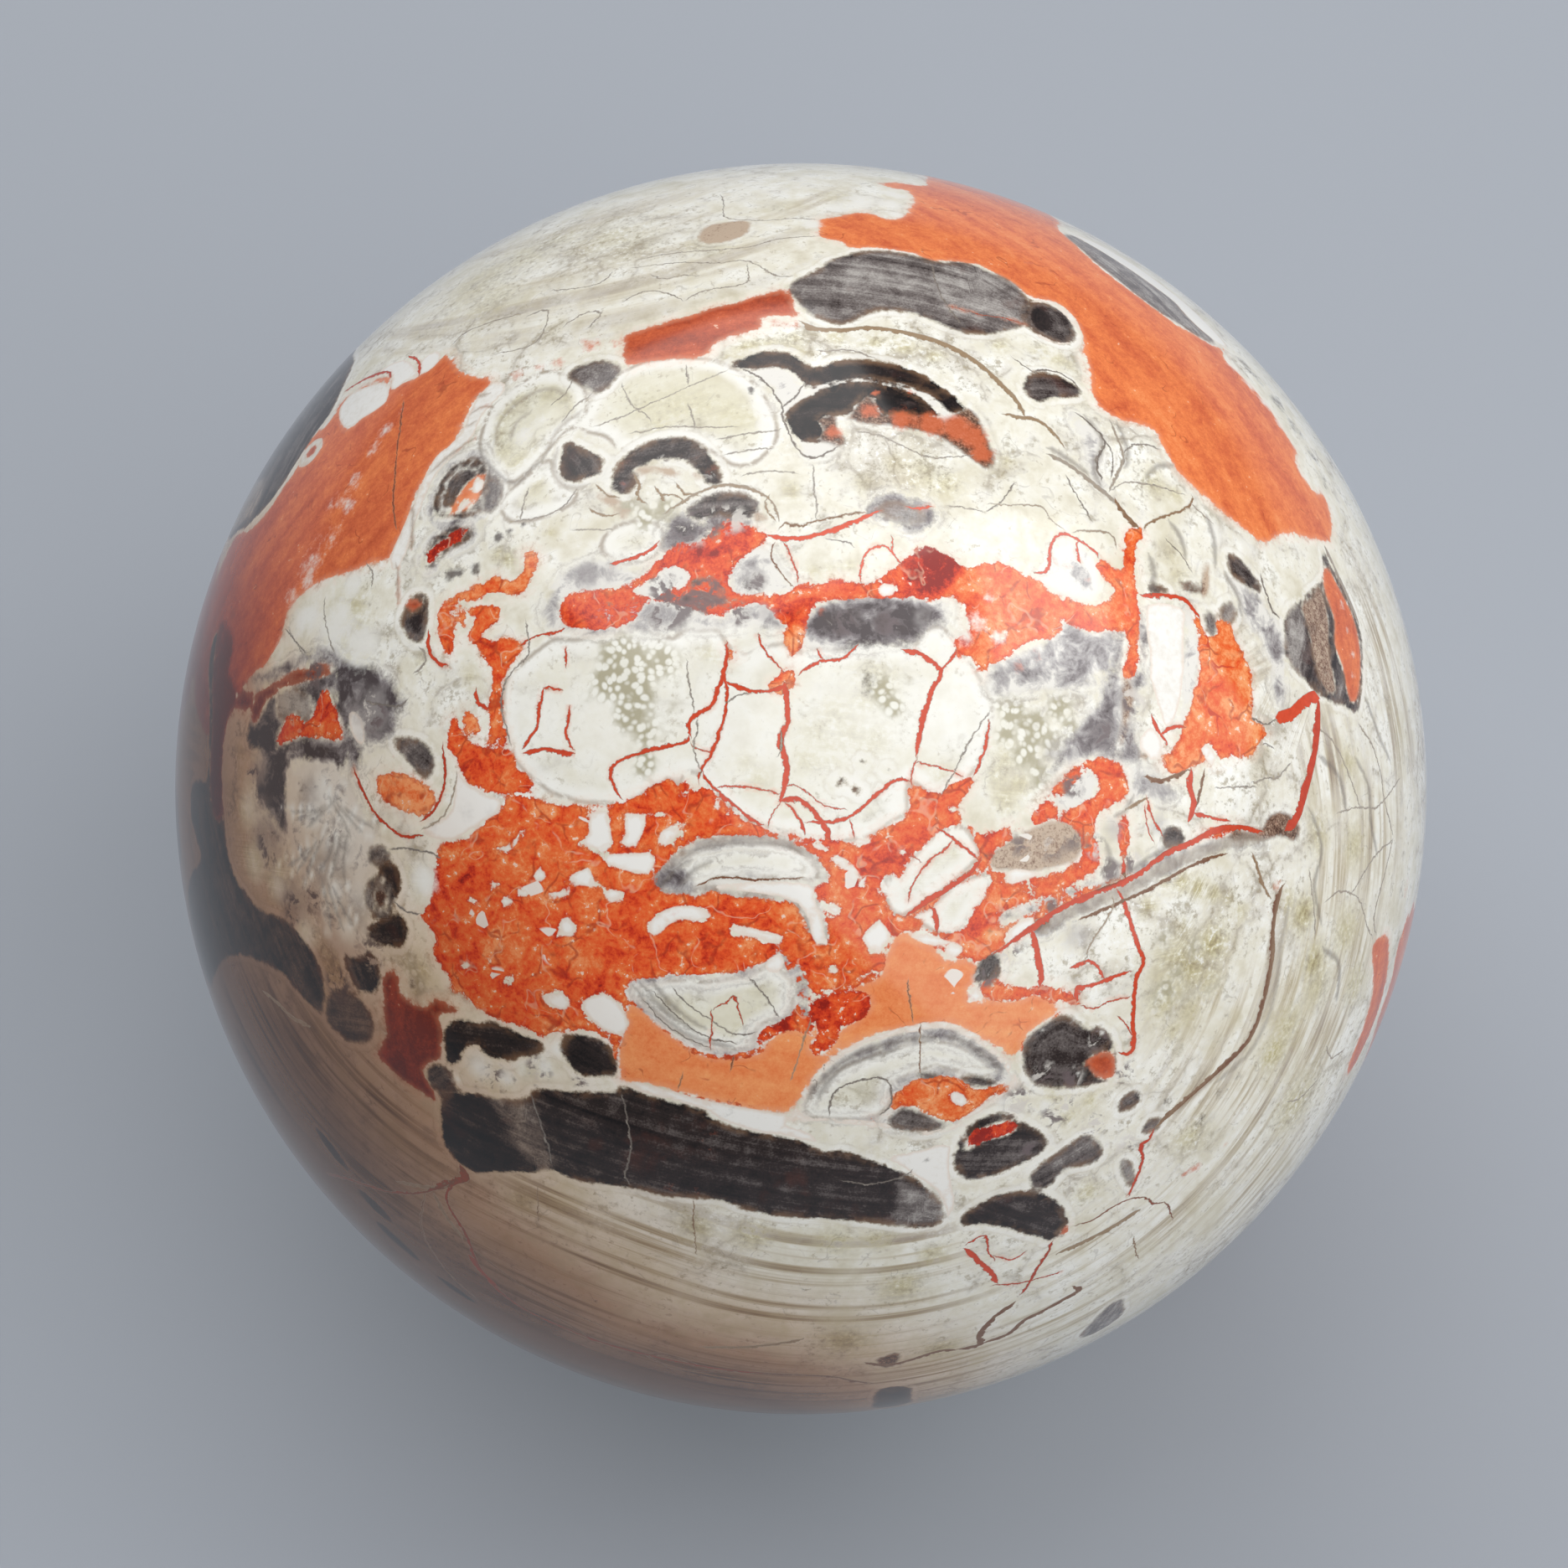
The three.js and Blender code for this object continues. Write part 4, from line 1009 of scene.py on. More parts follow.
# %% Upper right: broken ivory with grey seams, the dark eye and the red vein
def broken_ivory():
    """Ivory broken by grey seams, with a loop of red filling."""
    patch("smoke", 0.25, [15.6, 28.9, 16, 29.8, 17, 30.2, 18.4, 30.2, 20, 29.3, 19.6, 28.7, 17.6, 28.1,
        16.6, 27.6, 15.9, 28])
    patch("chalcedony", 0.75, [19, 26.8, 20.4, 26.4, 21.3, 25.2, 20.6, 22.6, 21.3, 20.9, 20.2, 21.4,
        19.8, 22.6, 19.8, 24.4])
    for tone, width, flat in (
            (0.0, 0.16, [16.4, 30.4, 17.6, 30.7, 18.8, 30.5, 19.6, 30, 20, 29.4]),
            (0.3, 0.34, [13.8, 26.2, 15, 26, 16, 26.1, 17, 25.5, 18.2, 23.9]),
            (0.1, 0.4, [16.8, 23.3, 18.6, 22.4, 21.4, 20.3, 22, 19.6]),
            (0.45, 0.5, [21.6, 20.2, 22, 19.6, 22.6, 18.9, 23.4, 18.3]),
            (0.0, 0.26, [19.4, 27.2, 21.1, 25.6, 21.4, 24.8, 20.9, 24, 20.5, 22.8, 20.8, 21.8]),
            (0.1, 0.26, [22.1, 27, 22.8, 24.2, 22.4, 23, 21.2, 20.9]),
            (0.0, 0.14, [21.2, 25.2, 21.8, 24.4, 21.8, 23, 21.5, 22]),
            (0.0, 0.12, [22.8, 24.2, 23.6, 25, 24.8, 25.4, 26, 25.2]),
            (0.05, 0.12, [21.4, 21, 22.6, 21.8, 24.6, 22, 27.8, 21.6]),
            (0.4, 0.24, [23.7, 18.4, 24.8, 19.2, 27.2, 20.3, 28.1, 21, 28.4, 21.6]),
            (0.1, 0.14, [28.2, 21, 29, 20.4, 30, 19.7]), (0.0, 0.12, [25.4, 17.8, 26.6, 16.8, 27.4, 15.6]),
            (0.0, 0.12, [18, 21.8, 18.8, 20, 19.8, 18.4]), (0.0, 0.12, [12, 18.4, 13.2, 19.2, 14.2, 20.8]),
            (0.2, 0.12, [12, 19, 14, 19, 16, 19.2, 16.6, 18.2, 17.6, 17.6]),
            (0.0, 0.14, [15, 31.4, 16, 30.6, 16.8, 30.2]),
            (0.2, 0.2, [18.2, 17.5, 19.6, 17.7, 21, 17.6, 21.4, 16.8]),
            (0.9, 0.28, [20, 15.8, 19.2, 16.6, 17.4, 17.3, 16.5, 16.4, 16.2, 14.6, 15.2, 14.3]),
            (0.9, 0.2, [18.4, 16.9, 18.4, 16, 18.6, 15.2]),
            (0.0, 0.2, [34, 16.4, 34.4, 14.8, 34.8, 13.6, 35.6, 13.1]),
            (0.9, 0.36, [22.9, 13.4, 26, 13.6, 27, 13.1, 27.7, 12.2])):
        vein(tone, width, flat)
    for flat in (
            [20, 27, 21.2, 25, 20.3, 22.6, 20.6, 21.2], [22.7, 26.8, 23, 25.6, 23.2, 24.4, 22.8, 23],
            [24.4, 22.4, 25.6, 23.6, 27, 24], [29.4, 20.4, 29.8, 18.4, 29.6, 16.4],
            [26, 19.2, 26.8, 18, 27, 16.4], [17, 23.8, 18.4, 23, 19.8, 22],
            [30.4, 16, 31.4, 14.4, 31.6, 12.8], [24, 16.4, 24.2, 15, 23.8, 13.8]):
        shade(0.0, 0.5, flat)
    # The loop's light orange and the milky spots inside it near its left end are partly the stone's own
    # cream and orange, partly a painted highlight where the window mirrors in the polish.
    patch("red", 0.75, [22.4, 18, 23.6, 18, 22.7, 16, 22.8, 12, 22.5, 10.8, 22.6, 9, 22.2, 8, 21.3, 7.8,
        21.7, 10.7, 18, 10.4, 17, 11.4, 16.6, 10.2, 14, 9.2, 13.4, 8.6, 11.8, 8, 11, 8.8, 10.4, 11.6,
        9.6, 12.8, 10.6, 14.4, 13.4, 14.7, 17, 12.8, 19, 12.5, 20.6, 13, 21, 13.8, 20.4, 14.2, 19.8, 15,
        19.9, 15.7, 21.2, 15.2, 21.7, 15.6])
    patch("chalcedony", 0.85, [16.4, 15.9, 17.4, 16.6, 18.3, 16.6, 18.8, 16, 19.7, 15.4, 19.7, 13.4,
        19, 12.9, 17.6, 13, 16, 13.6, 15.7, 14.4, 16.4, 15])
    stain("blush", 0.5, [16.8, 15.2, 0.6, 17.6, 14.6, 0.7, 19, 14, 0.5, 14, 8, 0.7, 15.2, 8.8, 0.7])
    stain("milk", 0.75, [11.2, 10.8, 0.9, 12.6, 9.8, 0.6, 10.4, 9.6, 0.7, 12, 12.4, 0.5, 9, 8.6, 0.8,
        33, 18.4, 1.4, 30, 19, 1.2])
    patch("smoke", 0.35, [30.8, 17.3, 31.5, 17.4, 32.4, 17, 33.2, 16.2, 33.9, 15.3, 33.4, 14.9, 31.6, 15.6,
        31, 16.2])
    patch("chalcedony", 0.62, [31.2, 15.4, 32.4, 15, 33.6, 14.7, 34.2, 13.6, 35.4, 12.6, 35.8, 11, 35.4, 7,
        34.6, 6.4, 34.2, 8, 34, 10, 31.8, 13])
    patch("smoke", 0.65, oval(30.4, 12.9, 0.9, 0.6, 50))
    patch("brown", 0.85, [28, 14.1, 28.5, 16, 29, 16.4, 28.9, 14.8, 28.5, 13.8])
    patch("brown", 0.1, [26.2, 14.6, 27.4, 14.7, 28.3, 14.5, 27.6, 14, 26.6, 14.2])
    patch("smoke", 0.4, [23.6, 14.3, 24.6, 14.2, 25.2, 13.8, 24, 13.6])
    stain("olive", 0.7, [17.4, 32.4, 0.8, 18.8, 31.9, 0.7, 19.6, 31.6, 0.5, 25.6, 17, 0.9, 26.4, 15, 0.8,
        25, 22, 1.2, 26.8, 21.6, 0.7, 14, 32.6, 0.8, 24.4, 13, 0.5, 25, 12.8, 0.4, 13.6, 22.4, 0.7,
        13, 21.4, 0.5])


broken_ivory()
stone.report("upper right")

# %% Right of the middle: grey crystal, the white column and the orange patch
def orange_column():
    """Grey crystal, a white column and an orange patch."""
    patch("chalcedony", 0.5, [12, 7.9, 13.6, 8.6, 16.6, 10.2, 17.2, 11, 19, 10.5, 20.9, 10.4, 20.4, 8,
        19.4, 7.5, 18.4, 6.9, 14, 6.4, 12.2, 6.4])
    stain("smoky", 0.32, [13, 7.2, 0.8, 14.6, 7.6, 0.8, 16.4, 9.6, 0.7, 17.8, 10.6, 0.6, 16, 8, 0.6])
    stain("beads", 0.9, [13.4, 5, 1, 15, 4, 1.2, 16.6, 5.4, 1, 14.4, 2.4, 1.1, 16, 3, 0.9, 17.4, 4.2, 0.7,
        13, 3.6, 0.9, 15.4, 1, 0.8])
    stain("olive", 0.7, [13, 2, 1.2, 13, -0.6, 1, 12.4, 1, 1, 17.8, 8.8, 0.6, 14, 0.4, 0.9])
    patch("chalcedony", 0.3, [23, 12, 23.2, 10.5, 22.9, 9, 23.2, 7.6, 22.5, 6.6, 22.3, 5.2, 21.9, 4.2,
        22.4, 2.2, 21.4, 1.9, 20.6, 2.2, 17, 1.9, 16, 1.2, 18.4, 4.8, 19.2, 5.6, 20.8, 9, 21, 10.4,
        21.4, 10.6, 21, 7.6, 21.6, 7.2, 22.4, 7.9, 22.8, 9.2, 22.8, 12])
    stain("smoky", 0.6, [19.6, 2.8, 0.4, 20.6, 2.6, 0.4, 20.2, 5.6, 0.4, 22.5, 7.2, 0.5, 21, 8.4, 0.3,
        20.4, 7, 0.5, 19, 4.6, 0.4, 22, 5, 0.3])
    patch("brown", 0.6, [21.2, 7.4, 21.9, 7.2, 22.2, 6.4, 21.8, 5, 21.2, 3.1, 20.8, 3.3, 21.1, 4.6])
    patch("white", 0.55, [23.5, 12.6, 23.5, 9, 23.4, 7.6, 24.2, 5.2, 24.4, 4.6, 25, 4.7, 25.8, 6.6,
        26.4, 12, 26.2, 12.8])
    patch("chalcedony", 0.7, [26.7, 12.6, 26.1, 7.6, 25.6, 4.6, 26.2, 5, 26.6, 6.4, 27.1, 7.6, 27.4, 10.4])
    patch("red", 0.88, [27.1, 12.3, 27.6, 10.2, 27.1, 7.5, 25.3, 3.4, 25.2, 2.8, 24.1, 2.2, 25.2, 1.2,
        27.2, 2.1, 28.4, 2, 30, 2.5, 31.8, 2.8, 32.8, 3.8, 33.6, 4.4, 33, 5, 32, 5.4, 32.2, 8, 31.8, 9.4,
        30.7, 11, 30.4, 12, 29.2, 12.2, 28.8, 11.2, 28, 11.2, 27.9, 12.2])
    patch("red", 0.7, [27.6, 3.4, 28, 4.8, 29.4, 5.3, 31, 5.2, 31.8, 4.6, 31, 3.4, 30, 2.8, 28, 2.4,
        27.4, 2.6])
    patch("red", 0.75, [28, 7.4, 28.8, 8, 29.7, 7.9, 29.6, 7.2, 28.8, 6.9, 28.2, 6.9])
    patch("red", 0.8, [27.4, 10.8, 28, 10.6, 28.6, 9.8, 28.2, 9.2, 27.7, 9.6])
    stain("web", 0.9, [29.6, 9.4, 1.6, 30.2, 7, 1.6, 28.4, 5.2, 1.4, 28.6, 10.8, 1])
    patch("white", 0.7, [27.4, 3.2, 28.1, 3.3, 28.8, 2.2, 28.4, 1.9, 27.8, 2.4])
    patch("smoke", 0.5, [28.2, 12.6, 29, 12.6, 29.1, 11.2, 28.4, 11.2])
    patch("white", 0.8, [22.4, 3.4, 23.2, 4.3, 23.9, 4, 24.2, 3.2, 24, 2.4, 23.4, 2.2, 22.8, 2.5])
    patch("brown", 0.7, oval(22.7, 2.5, 0.5, 0.25, -30))
    patch("chalcedony", 0.5, [22, 1.4, 22.8, 1.6, 24, 0.6, 25.2, 0, 24.4, -0.5, 23, -0.2, 21.8, 0])
    stain("bands", 0.7, [33, 9, 2, 32.4, 6.8, 1.4, 34, 12, 1.4, 31.6, 12, 1])
    stain("smoky", 0.3, [33.6, 10, 0.7, 34.4, 7.6, 0.7, 30, 1.4, 0.4])
    for tone, width, flat in (
            (0.92, 0.3, [24.2, 3.9, 24.8, 4.4, 26, 4.5]), (0.92, 0.32, [23.4, 5.2, 23.8, 4.3, 24.6, 3.3]),
            (0.5, 0.32, [22.8, 1.1, 24, 0.8, 25.2, 1.1, 26.4, 1.6]),
            (0.9, 0.55, [26.6, 1.6, 26.4, 0.4, 26.8, -0.6, 26.4, -1.9]),
            (0.5, 0.3, [27.7, 1.6, 27.3, 0.2, 27, -1]), (0.9, 0.28, [26.8, -1.3, 28, -1.6, 30, -1.9]),
            (0.35, 0.3, [21.4, -1.2, 22.2, -0.7, 23.1, -0.4]),
            (0.9, 0.22, [23, -0.4, 23.4, -1.6, 24, -2.4, 24.4, -2.9]),
            (0.9, 0.16, [22.8, -0.8, 23, -2, 23.6, -3.4]), (0.9, 0.35, [21.4, -4.4, 21.5, -5.6]),
            (0.05, 0.14, [31.8, 0.7, 33.2, 1.1, 34.6, 1.3, 36, 2.4]),
            (0.05, 0.12, [28.6, 0.3, 30.5, 0.5, 32.4, 0.5]), (0.0, 0.12, [33, 3.6, 34.2, 3.2]),
            (0.0, 0.16, [31.9, 5.4, 33.4, 5, 34.4, 5.4])):
        vein(tone, width, flat)


orange_column()
stone.report("right of the middle")

# %% The red ring with its grey eye, the grained oval and the long seam
def ring_and_seam():
    """A red ring, a grained oval and a long seam."""
    patch("red", 0.6, [15.3, -1, 18.4, 2, 20.8, 1.9, 21.6, 0.4, 21.3, -0.4, 19.8, -1.2, 19.2, -2, 19.2, -3,
        19.7, -4, 19.4, -5, 17.6, -5.9, 14, -6.5, 12.6, -6.9, 11.9, -6.2, 14.5, -5.6, 17.4, -4.9,
        18.3, -4.4, 18.2, -2.6, 16.4, -1.7, 15, -2.2, 12, -2.5, 12, -3.2, 13.4, -3.2])
    patch("chalcedony", 0.75, [16.3, -0.6, 17, -0.1, 18.4, 1.3, 19, 1.2, 19.4, 0.6, 19.2, 0, 18.6, -0.6,
        17.6, -1.1, 16.8, -1.2])
    patch("brown", 0.75, [12.2, -4, 15.2, -2.2, 17.6, -2.2, 18.3, -3.9, 16, -5, 13.6, -5, 12.4, -5])
    stain("shards", 0.6, [14.4, -3.6, 1, 15.6, -3.4, 1, 17, -3.3, 1])
    stain("motley", 0.5, [14, -3.4, 1.2, 16.2, -3.6, 1.2, 17.6, -3.2, 1])
    stain("blush", 0.3, [14.4, -3.6, 1, 16.4, -3.2, 1, 17.6, -3.4, 0.8])
    patch("white", 0.9, [13.3, -5.9, 13.3, -5.2, 14, -5, 15.2, -5.2, 16, -5.1, 15, -5.6, 14, -5.8])
    patch("chalcedony", 0.4, [12.4, -8.3, 17.4, -6.3, 21.6, -5.2, 23.4, -4.3, 26, -3.4, 25.6, -4.2, 24, -5,
        17.6, -7.5, 16, -8.8, 15, -8.6, 14.6, -8])
    patch("red", 0.7, [12.4, -6.6, 16, -6, 18, -5.2, 18.8, -5.5, 16.8, -6.6, 14.4, -7.2, 12.6, -7.5])
    patch("red", 0.75, [11.6, -9.9, 12.6, -8.8, 18.6, -6.3, 20.6, -5.8, 22, -5.3, 21.7, -5.9, 17, -7.5,
        13.4, -9.5, 12.2, -10.3])
    stain("smoky", 0.6, [13.4, -7.9, 0.4, 15, -7.3, 0.35, 17, -6.8, 0.3, 12.2, -8.8, 0.4, 23.4, -4.6, 0.4,
        12, -4, 0.5])
    patch("chalcedony", 0.35, [15, -9.3, 18, -7.5, 24, -5.2, 27, -3.6, 31.6, -3, 34, -3, 34, -3.5,
        31.4, -3.7, 27.2, -4.2, 25.4, -5.2, 21, -6.7, 16.6, -9])
    shade(0.2, 1.0, [15.6, -9.2, 17.6, -7.9, 22.4, -6.2, 25, -4.8, 30.4, -3.4, 33.4, -3.3])
    vein(0.9, 0.5, [12.4, -10.6, 17.2, -7.5, 22.2, -5.6, 24.6, -4.1, 26.6, -3.4, 28.8, -2.5, 31, -2.4,
        33, -2.7])
    vein(0.5, 0.3, [18.2, -8.4, 22.8, -6.7, 27.4, -4.7, 29.8, -4.2])
    for flat in (
            [20, -3.2, 20.4, -4.6, 19.8, -5.2], [22, -0.2, 21.4, -1.2, 20.6, -1.6],
            [19.4, -6.4, 21.6, -5.4, 23.6, -4.2, 25.4, -3.2]):
        shade(0.0, 0.4, flat)
    patch("red", 0.9, [11.8, -10.6, 12, -9.4, 13, -8.6, 14, -8.4, 13.8, -9.2, 13.4, -9.8, 13.2, -10.4])
    patch("white", 0.7, [13.3, -9.3, 14.2, -8.4, 15.1, -8.1, 15.2, -9, 14.4, -9.6, 13.6, -9.8])
    patch("smoke", 0.25, [11.4, -12.2, 11.8, -10.8, 12.8, -10.4, 13, -11.2, 12.8, -12.2, 12.2, -12.6])
    patch("smoke", 0.35, [15.2, -8.9, 15.4, -8.2, 16.2, -8.1, 16, -8.8])
    patch("red", 0.6, [21, -2, 21.3, -1.4, 21.6, -1.9, 21.8, -3.6, 21.4, -4.6, 21, -3.8])
    stain("smoky", 0.4, [20.4, -3.4, 0.5, 20, -4.6, 0.5, 19.6, -5.3, 0.4, 22.4, -4.8, 0.5, 26.4, -2.2, 0.5,
        25.4, -4.4, 0.4])
    patch("smoke", 0.3, [24.2, -2.7, 25, -2.3, 26, -2.7, 25.9, -3.5, 24.8, -3.7])
    patch("red", 0.45, [26.2, -3.9, 28, -2.5, 30.4, -2.1, 30.6, -2.7, 29.6, -3, 28.2, -3, 27.2, -3.3])
    patch("brown", 0.3, [30.4, -2.3, 31.8, -2.6, 33, -2.4, 33.6, -1.6, 34.8, -1.3, 36, -1.6, 37, -2.6,
        36.4, -3.4, 35, -3.1, 33, -3.3, 29, -3.3, 30, -2.9])
    stain("blush", 0.5, [34.4, -2.2, 0.5, 36, -2.2, 0.6])
    stain("olive", 1, [24.8, -5.7, 0.7, 26, -6, 0.8, 27.4, -6.5, 0.8, 28.8, -6.9, 0.7, 30, -7.3, 0.5,
        23.4, -7.7, 0.7])
    stain("smoky", 0.5, [25, -5.8, 0.5, 26.4, -6.4, 0.5, 28, -6.9, 0.4])
    for tone, width, flat in (
            (0.92, 0.38, [21, -6.4, 21.8, -7.8, 22.8, -10.2, 23.4, -11.4, 22.9, -12.8, 23, -15.6, 23.3, -17,
             23.2, -18, 22.2, -18]), (0.92, 0.5, [15.1, -9, 15.5, -10.4, 15.9, -12, 15.8, -12.8]),
            (0.92, 0.32, [18, -11.6, 19, -11.2, 19.8, -11.5, 20.4, -12.4]),
            (0.92, 0.35, [18.6, -13.9, 18.4, -13, 19.4, -12.9, 22.4, -12]),
            (0.2, 0.14, [20.4, -6.6, 20.8, -7.6, 19.2, -10.2, 18.9, -11.2]),
            (0.9, 0.14, [18.8, -14.2, 20, -14.5, 21.2, -14, 22.6, -13.9]),
            (0.9, 0.14, [21.8, -15.2, 22.6, -16, 23.1, -16.8]),
            (0.35, 0.3, [32.2, -4.2, 32.8, -5.4, 33.4, -6.6, 34.2, -7.6]),
            (0.42, 0.6, [35.4, -6.6, 34.9, -8, 34.7, -10, 35, -12, 34.6, -16, 34, -18, 33, -19.2,
             28.4, -22.6, 26.2, -24.5]),
            (0.85, 0.28, [26.1, -24.6, 26, -25.4, 25.2, -25.9, 25.7, -26.8, 25.7, -28, 25.3, -30.6]),
            (0.6, 0.2, [20.8, -32.6, 22.4, -32.4, 23.6, -31.6, 25.2, -30.9, 26.8, -31.1, 28, -32,
             29.4, -32.5, 30.8, -34.8]),
            (0.9, 0.5, [12.4, -33.4, 13.2, -34.2, 13.7, -35, 14.8, -36.2, 15.6, -37.8]),
            (0.85, 0.2, [12.4, -33, 13.9, -32.3, 14.3, -34, 15, -35]),
            (0.75, 0.35, [19.4, -33.8, 19.2, -35, 18.6, -37, 18, -39.6]),
            (0.8, 0.2, [15.2, -37.9, 18, -38.1, 21, -37.6]),
            (0.9, 0.16, [14.6, -34.4, 16.4, -35.2, 17.4, -34.4])):
        vein(tone, width, flat)
    stain("olive", 0.75, [26.4, -9.4, 1, 25.4, -11.4, 1.2, 31.4, -8.4, 0.7, 27.6, -15.2, 1.3,
        25.6, -14.2, 1, 21.4, -29.4, 1, 26.4, -16.6, 0.8, 29, -13, 1.6, 27, -12.6, 1.4, 17.6, -20.6, 0.8,
        20.4, -21.4, 0.7, 19, -22.6, 0.7])
    stain("smoky", 0.42, [22, -9.2, 0.5, 21.4, -9.8, 0.4, 14.4, -11, 0.3, 31.4, -16, 0.8, 33, -15, 0.6])
    stain("motley", 0.8, [19.4, -3.6, 0.8, 20.4, -5, 0.8, 22, -4.6, 0.8, 16.4, -7.4, 0.5, 13.6, -10.8, 0.9,
        12, -12, 0.8, 17.6, 0.4, 0.8, 22, 6, 1, 21.4, 3.4, 1, 20, 3.6, 1.2])
    stain("haze", 0.8, [18, -9.4, 1.4, 20.4, -2.6, 1, 23.6, 0.4, 1, 24, -2, 1, 16, 2.6, 1])
    stain("bands", 0.85, [30, -16, 4, 42, -6, 4, 46, -14, 5, 40, 2, 4, 38, -14, 4, 41, -20, 5, 34, -24, 4,
        40, -10, 4])
    stain("olive", 1, [27, -12, 2.4, 25.4, -14, 1.6, 29, -10.6, 1.6, 38, -9, 1.6, 40, -13, 1.6,
        37, -20, 1.6])
    stain("beads", 0.5, [26, -13.4, 1.4, 25, -10, 1, 29.4, -13.6, 1, 27.4, -10.4, 1])
    shade(0.1, 0.5, [36.2, -8, 35.8, -11, 35.9, -14, 35.4, -17, 34, -19.6, 31, -21.6])
    shade(0.6, 0.45, [35.2, -6.8, 34.6, -9, 34.7, -15, 33.8, -18, 32.2, -20, 27.6, -23.6])
    stain("blush", 0.5, [34.8, -6.6, 0.7, 36, -7.6, 0.5, 34.2, -8.4, 0.4])


ring_and_seam()
stone.report("ring and seam")

# %% Lower right: the dark eye, three brown lenses and the last red threads
def brown_lenses():
    """A dark eye and three brown lenses in speckled rubble."""
    patch("red", 0.62, [12, -12.2, 14, -12.6, 17.2, -12.9, 18.7, -14, 17.6, -13.9, 16, -13.2, 14, -13.7,
        12, -13.3])
    dark_eye = [15.4, -16.2, 17.6, -15, 19.4, -15.9, 20.4, -16, 21.4, -16.8, 22, -19.4, 21, -20, 17, -20,
        15.6, -19, 15.1, -17.8]
    patch("smoke", 0.3, dark_eye, grain="rings")
    stain("motley", 0.8, [16.6, -19, 0.9, 18.8, -19.4, 0.8, 20.4, -16.8, 0.8])
    stain("milk", 0.6, [16.2, -15.9, 0.5, 18.4, -15.3, 0.4, 20.6, -16.3, 0.5, 19.2, -19.2, 0.4])
    patch("rust", 0.35, [19.4, -18.5, 20.6, -17.7, 21.6, -17.8, 22, -18.6, 21.9, -19.8, 20.8, -19.7,
        20, -19])
    for tone, flat in (
            (0.22, [13, -21.9, 14.4, -22, 17.2, -24, 16.8, -25.4, 12.6, -27, 11, -25.6, 11.4, -23]),
            (0.35, [16.7, -27.6, 17, -26.6, 20, -24.4, 20.8, -24.4, 21.6, -25, 22, -25.8, 21.6, -26.6,
             19.6, -26.8, 18.8, -27.4, 18.2, -28.2, 17.2, -28.4]),
            (0.1, [11.8, -30.8, 13.6, -28.9, 16.6, -28.6, 19.2, -30, 20.6, -33, 19, -33.7, 18, -33,
             14.4, -31.3]),
            (0.35, [22.9, -22.6, 22.9, -21.8, 23.6, -21.2, 24.4, -21.4, 24.3, -22.1, 23.4, -22.5]),
            (0.45, [25.2, -24.6, 25.4, -24, 26, -23.7, 26.7, -24, 26.2, -24.7]),
            (0.5, [23.8, -27.2, 24.3, -27, 25, -28, 25.4, -29, 25.2, -29.5, 24.6, -28.7])):
        patch("smoke", tone, flat)
    patch("red", 0.3, [11.6, -23.9, 12.2, -23, 14.2, -22.4, 15, -22.8, 14.8, -23.4, 12.6, -24, 11.9, -24.6])
    patch("rust", 0.25, oval(20.2, -32.9, 0.7, 0.35, 60))
    stain("blush", 0.65, [31.4, -29.3, 0.6, 30.4, -29.6, 0.5, 12.8, -34.2, 0.5, 13.8, -35.4, 0.4,
        34, -27.8, 0.4, 22, -19.8, 0.3])
    stain("smoky", 0.5, [14.4, -27, 0.4, 12.8, -27.4, 0.4, 22.4, -22.7, 0.3, 17.6, -23.2, 0.3,
        15.4, -20.6, 0.3, 23.3, -28.4, 0.5, 26.8, -22.4, 0.5, 32, -22.6, 0.9, 30.6, -24.6, 0.9,
        33.6, -21.4, 0.8])
    stain("milk", 0.7, [25.4, -22.6, 0.8, 23.4, -25, 0.9, 14, -21, 0.7, 17, -21.4, 0.7, 15.6, -28, 0.5,
        22.6, -30.4, 0.6])


brown_lenses()
stone.report("lower right")

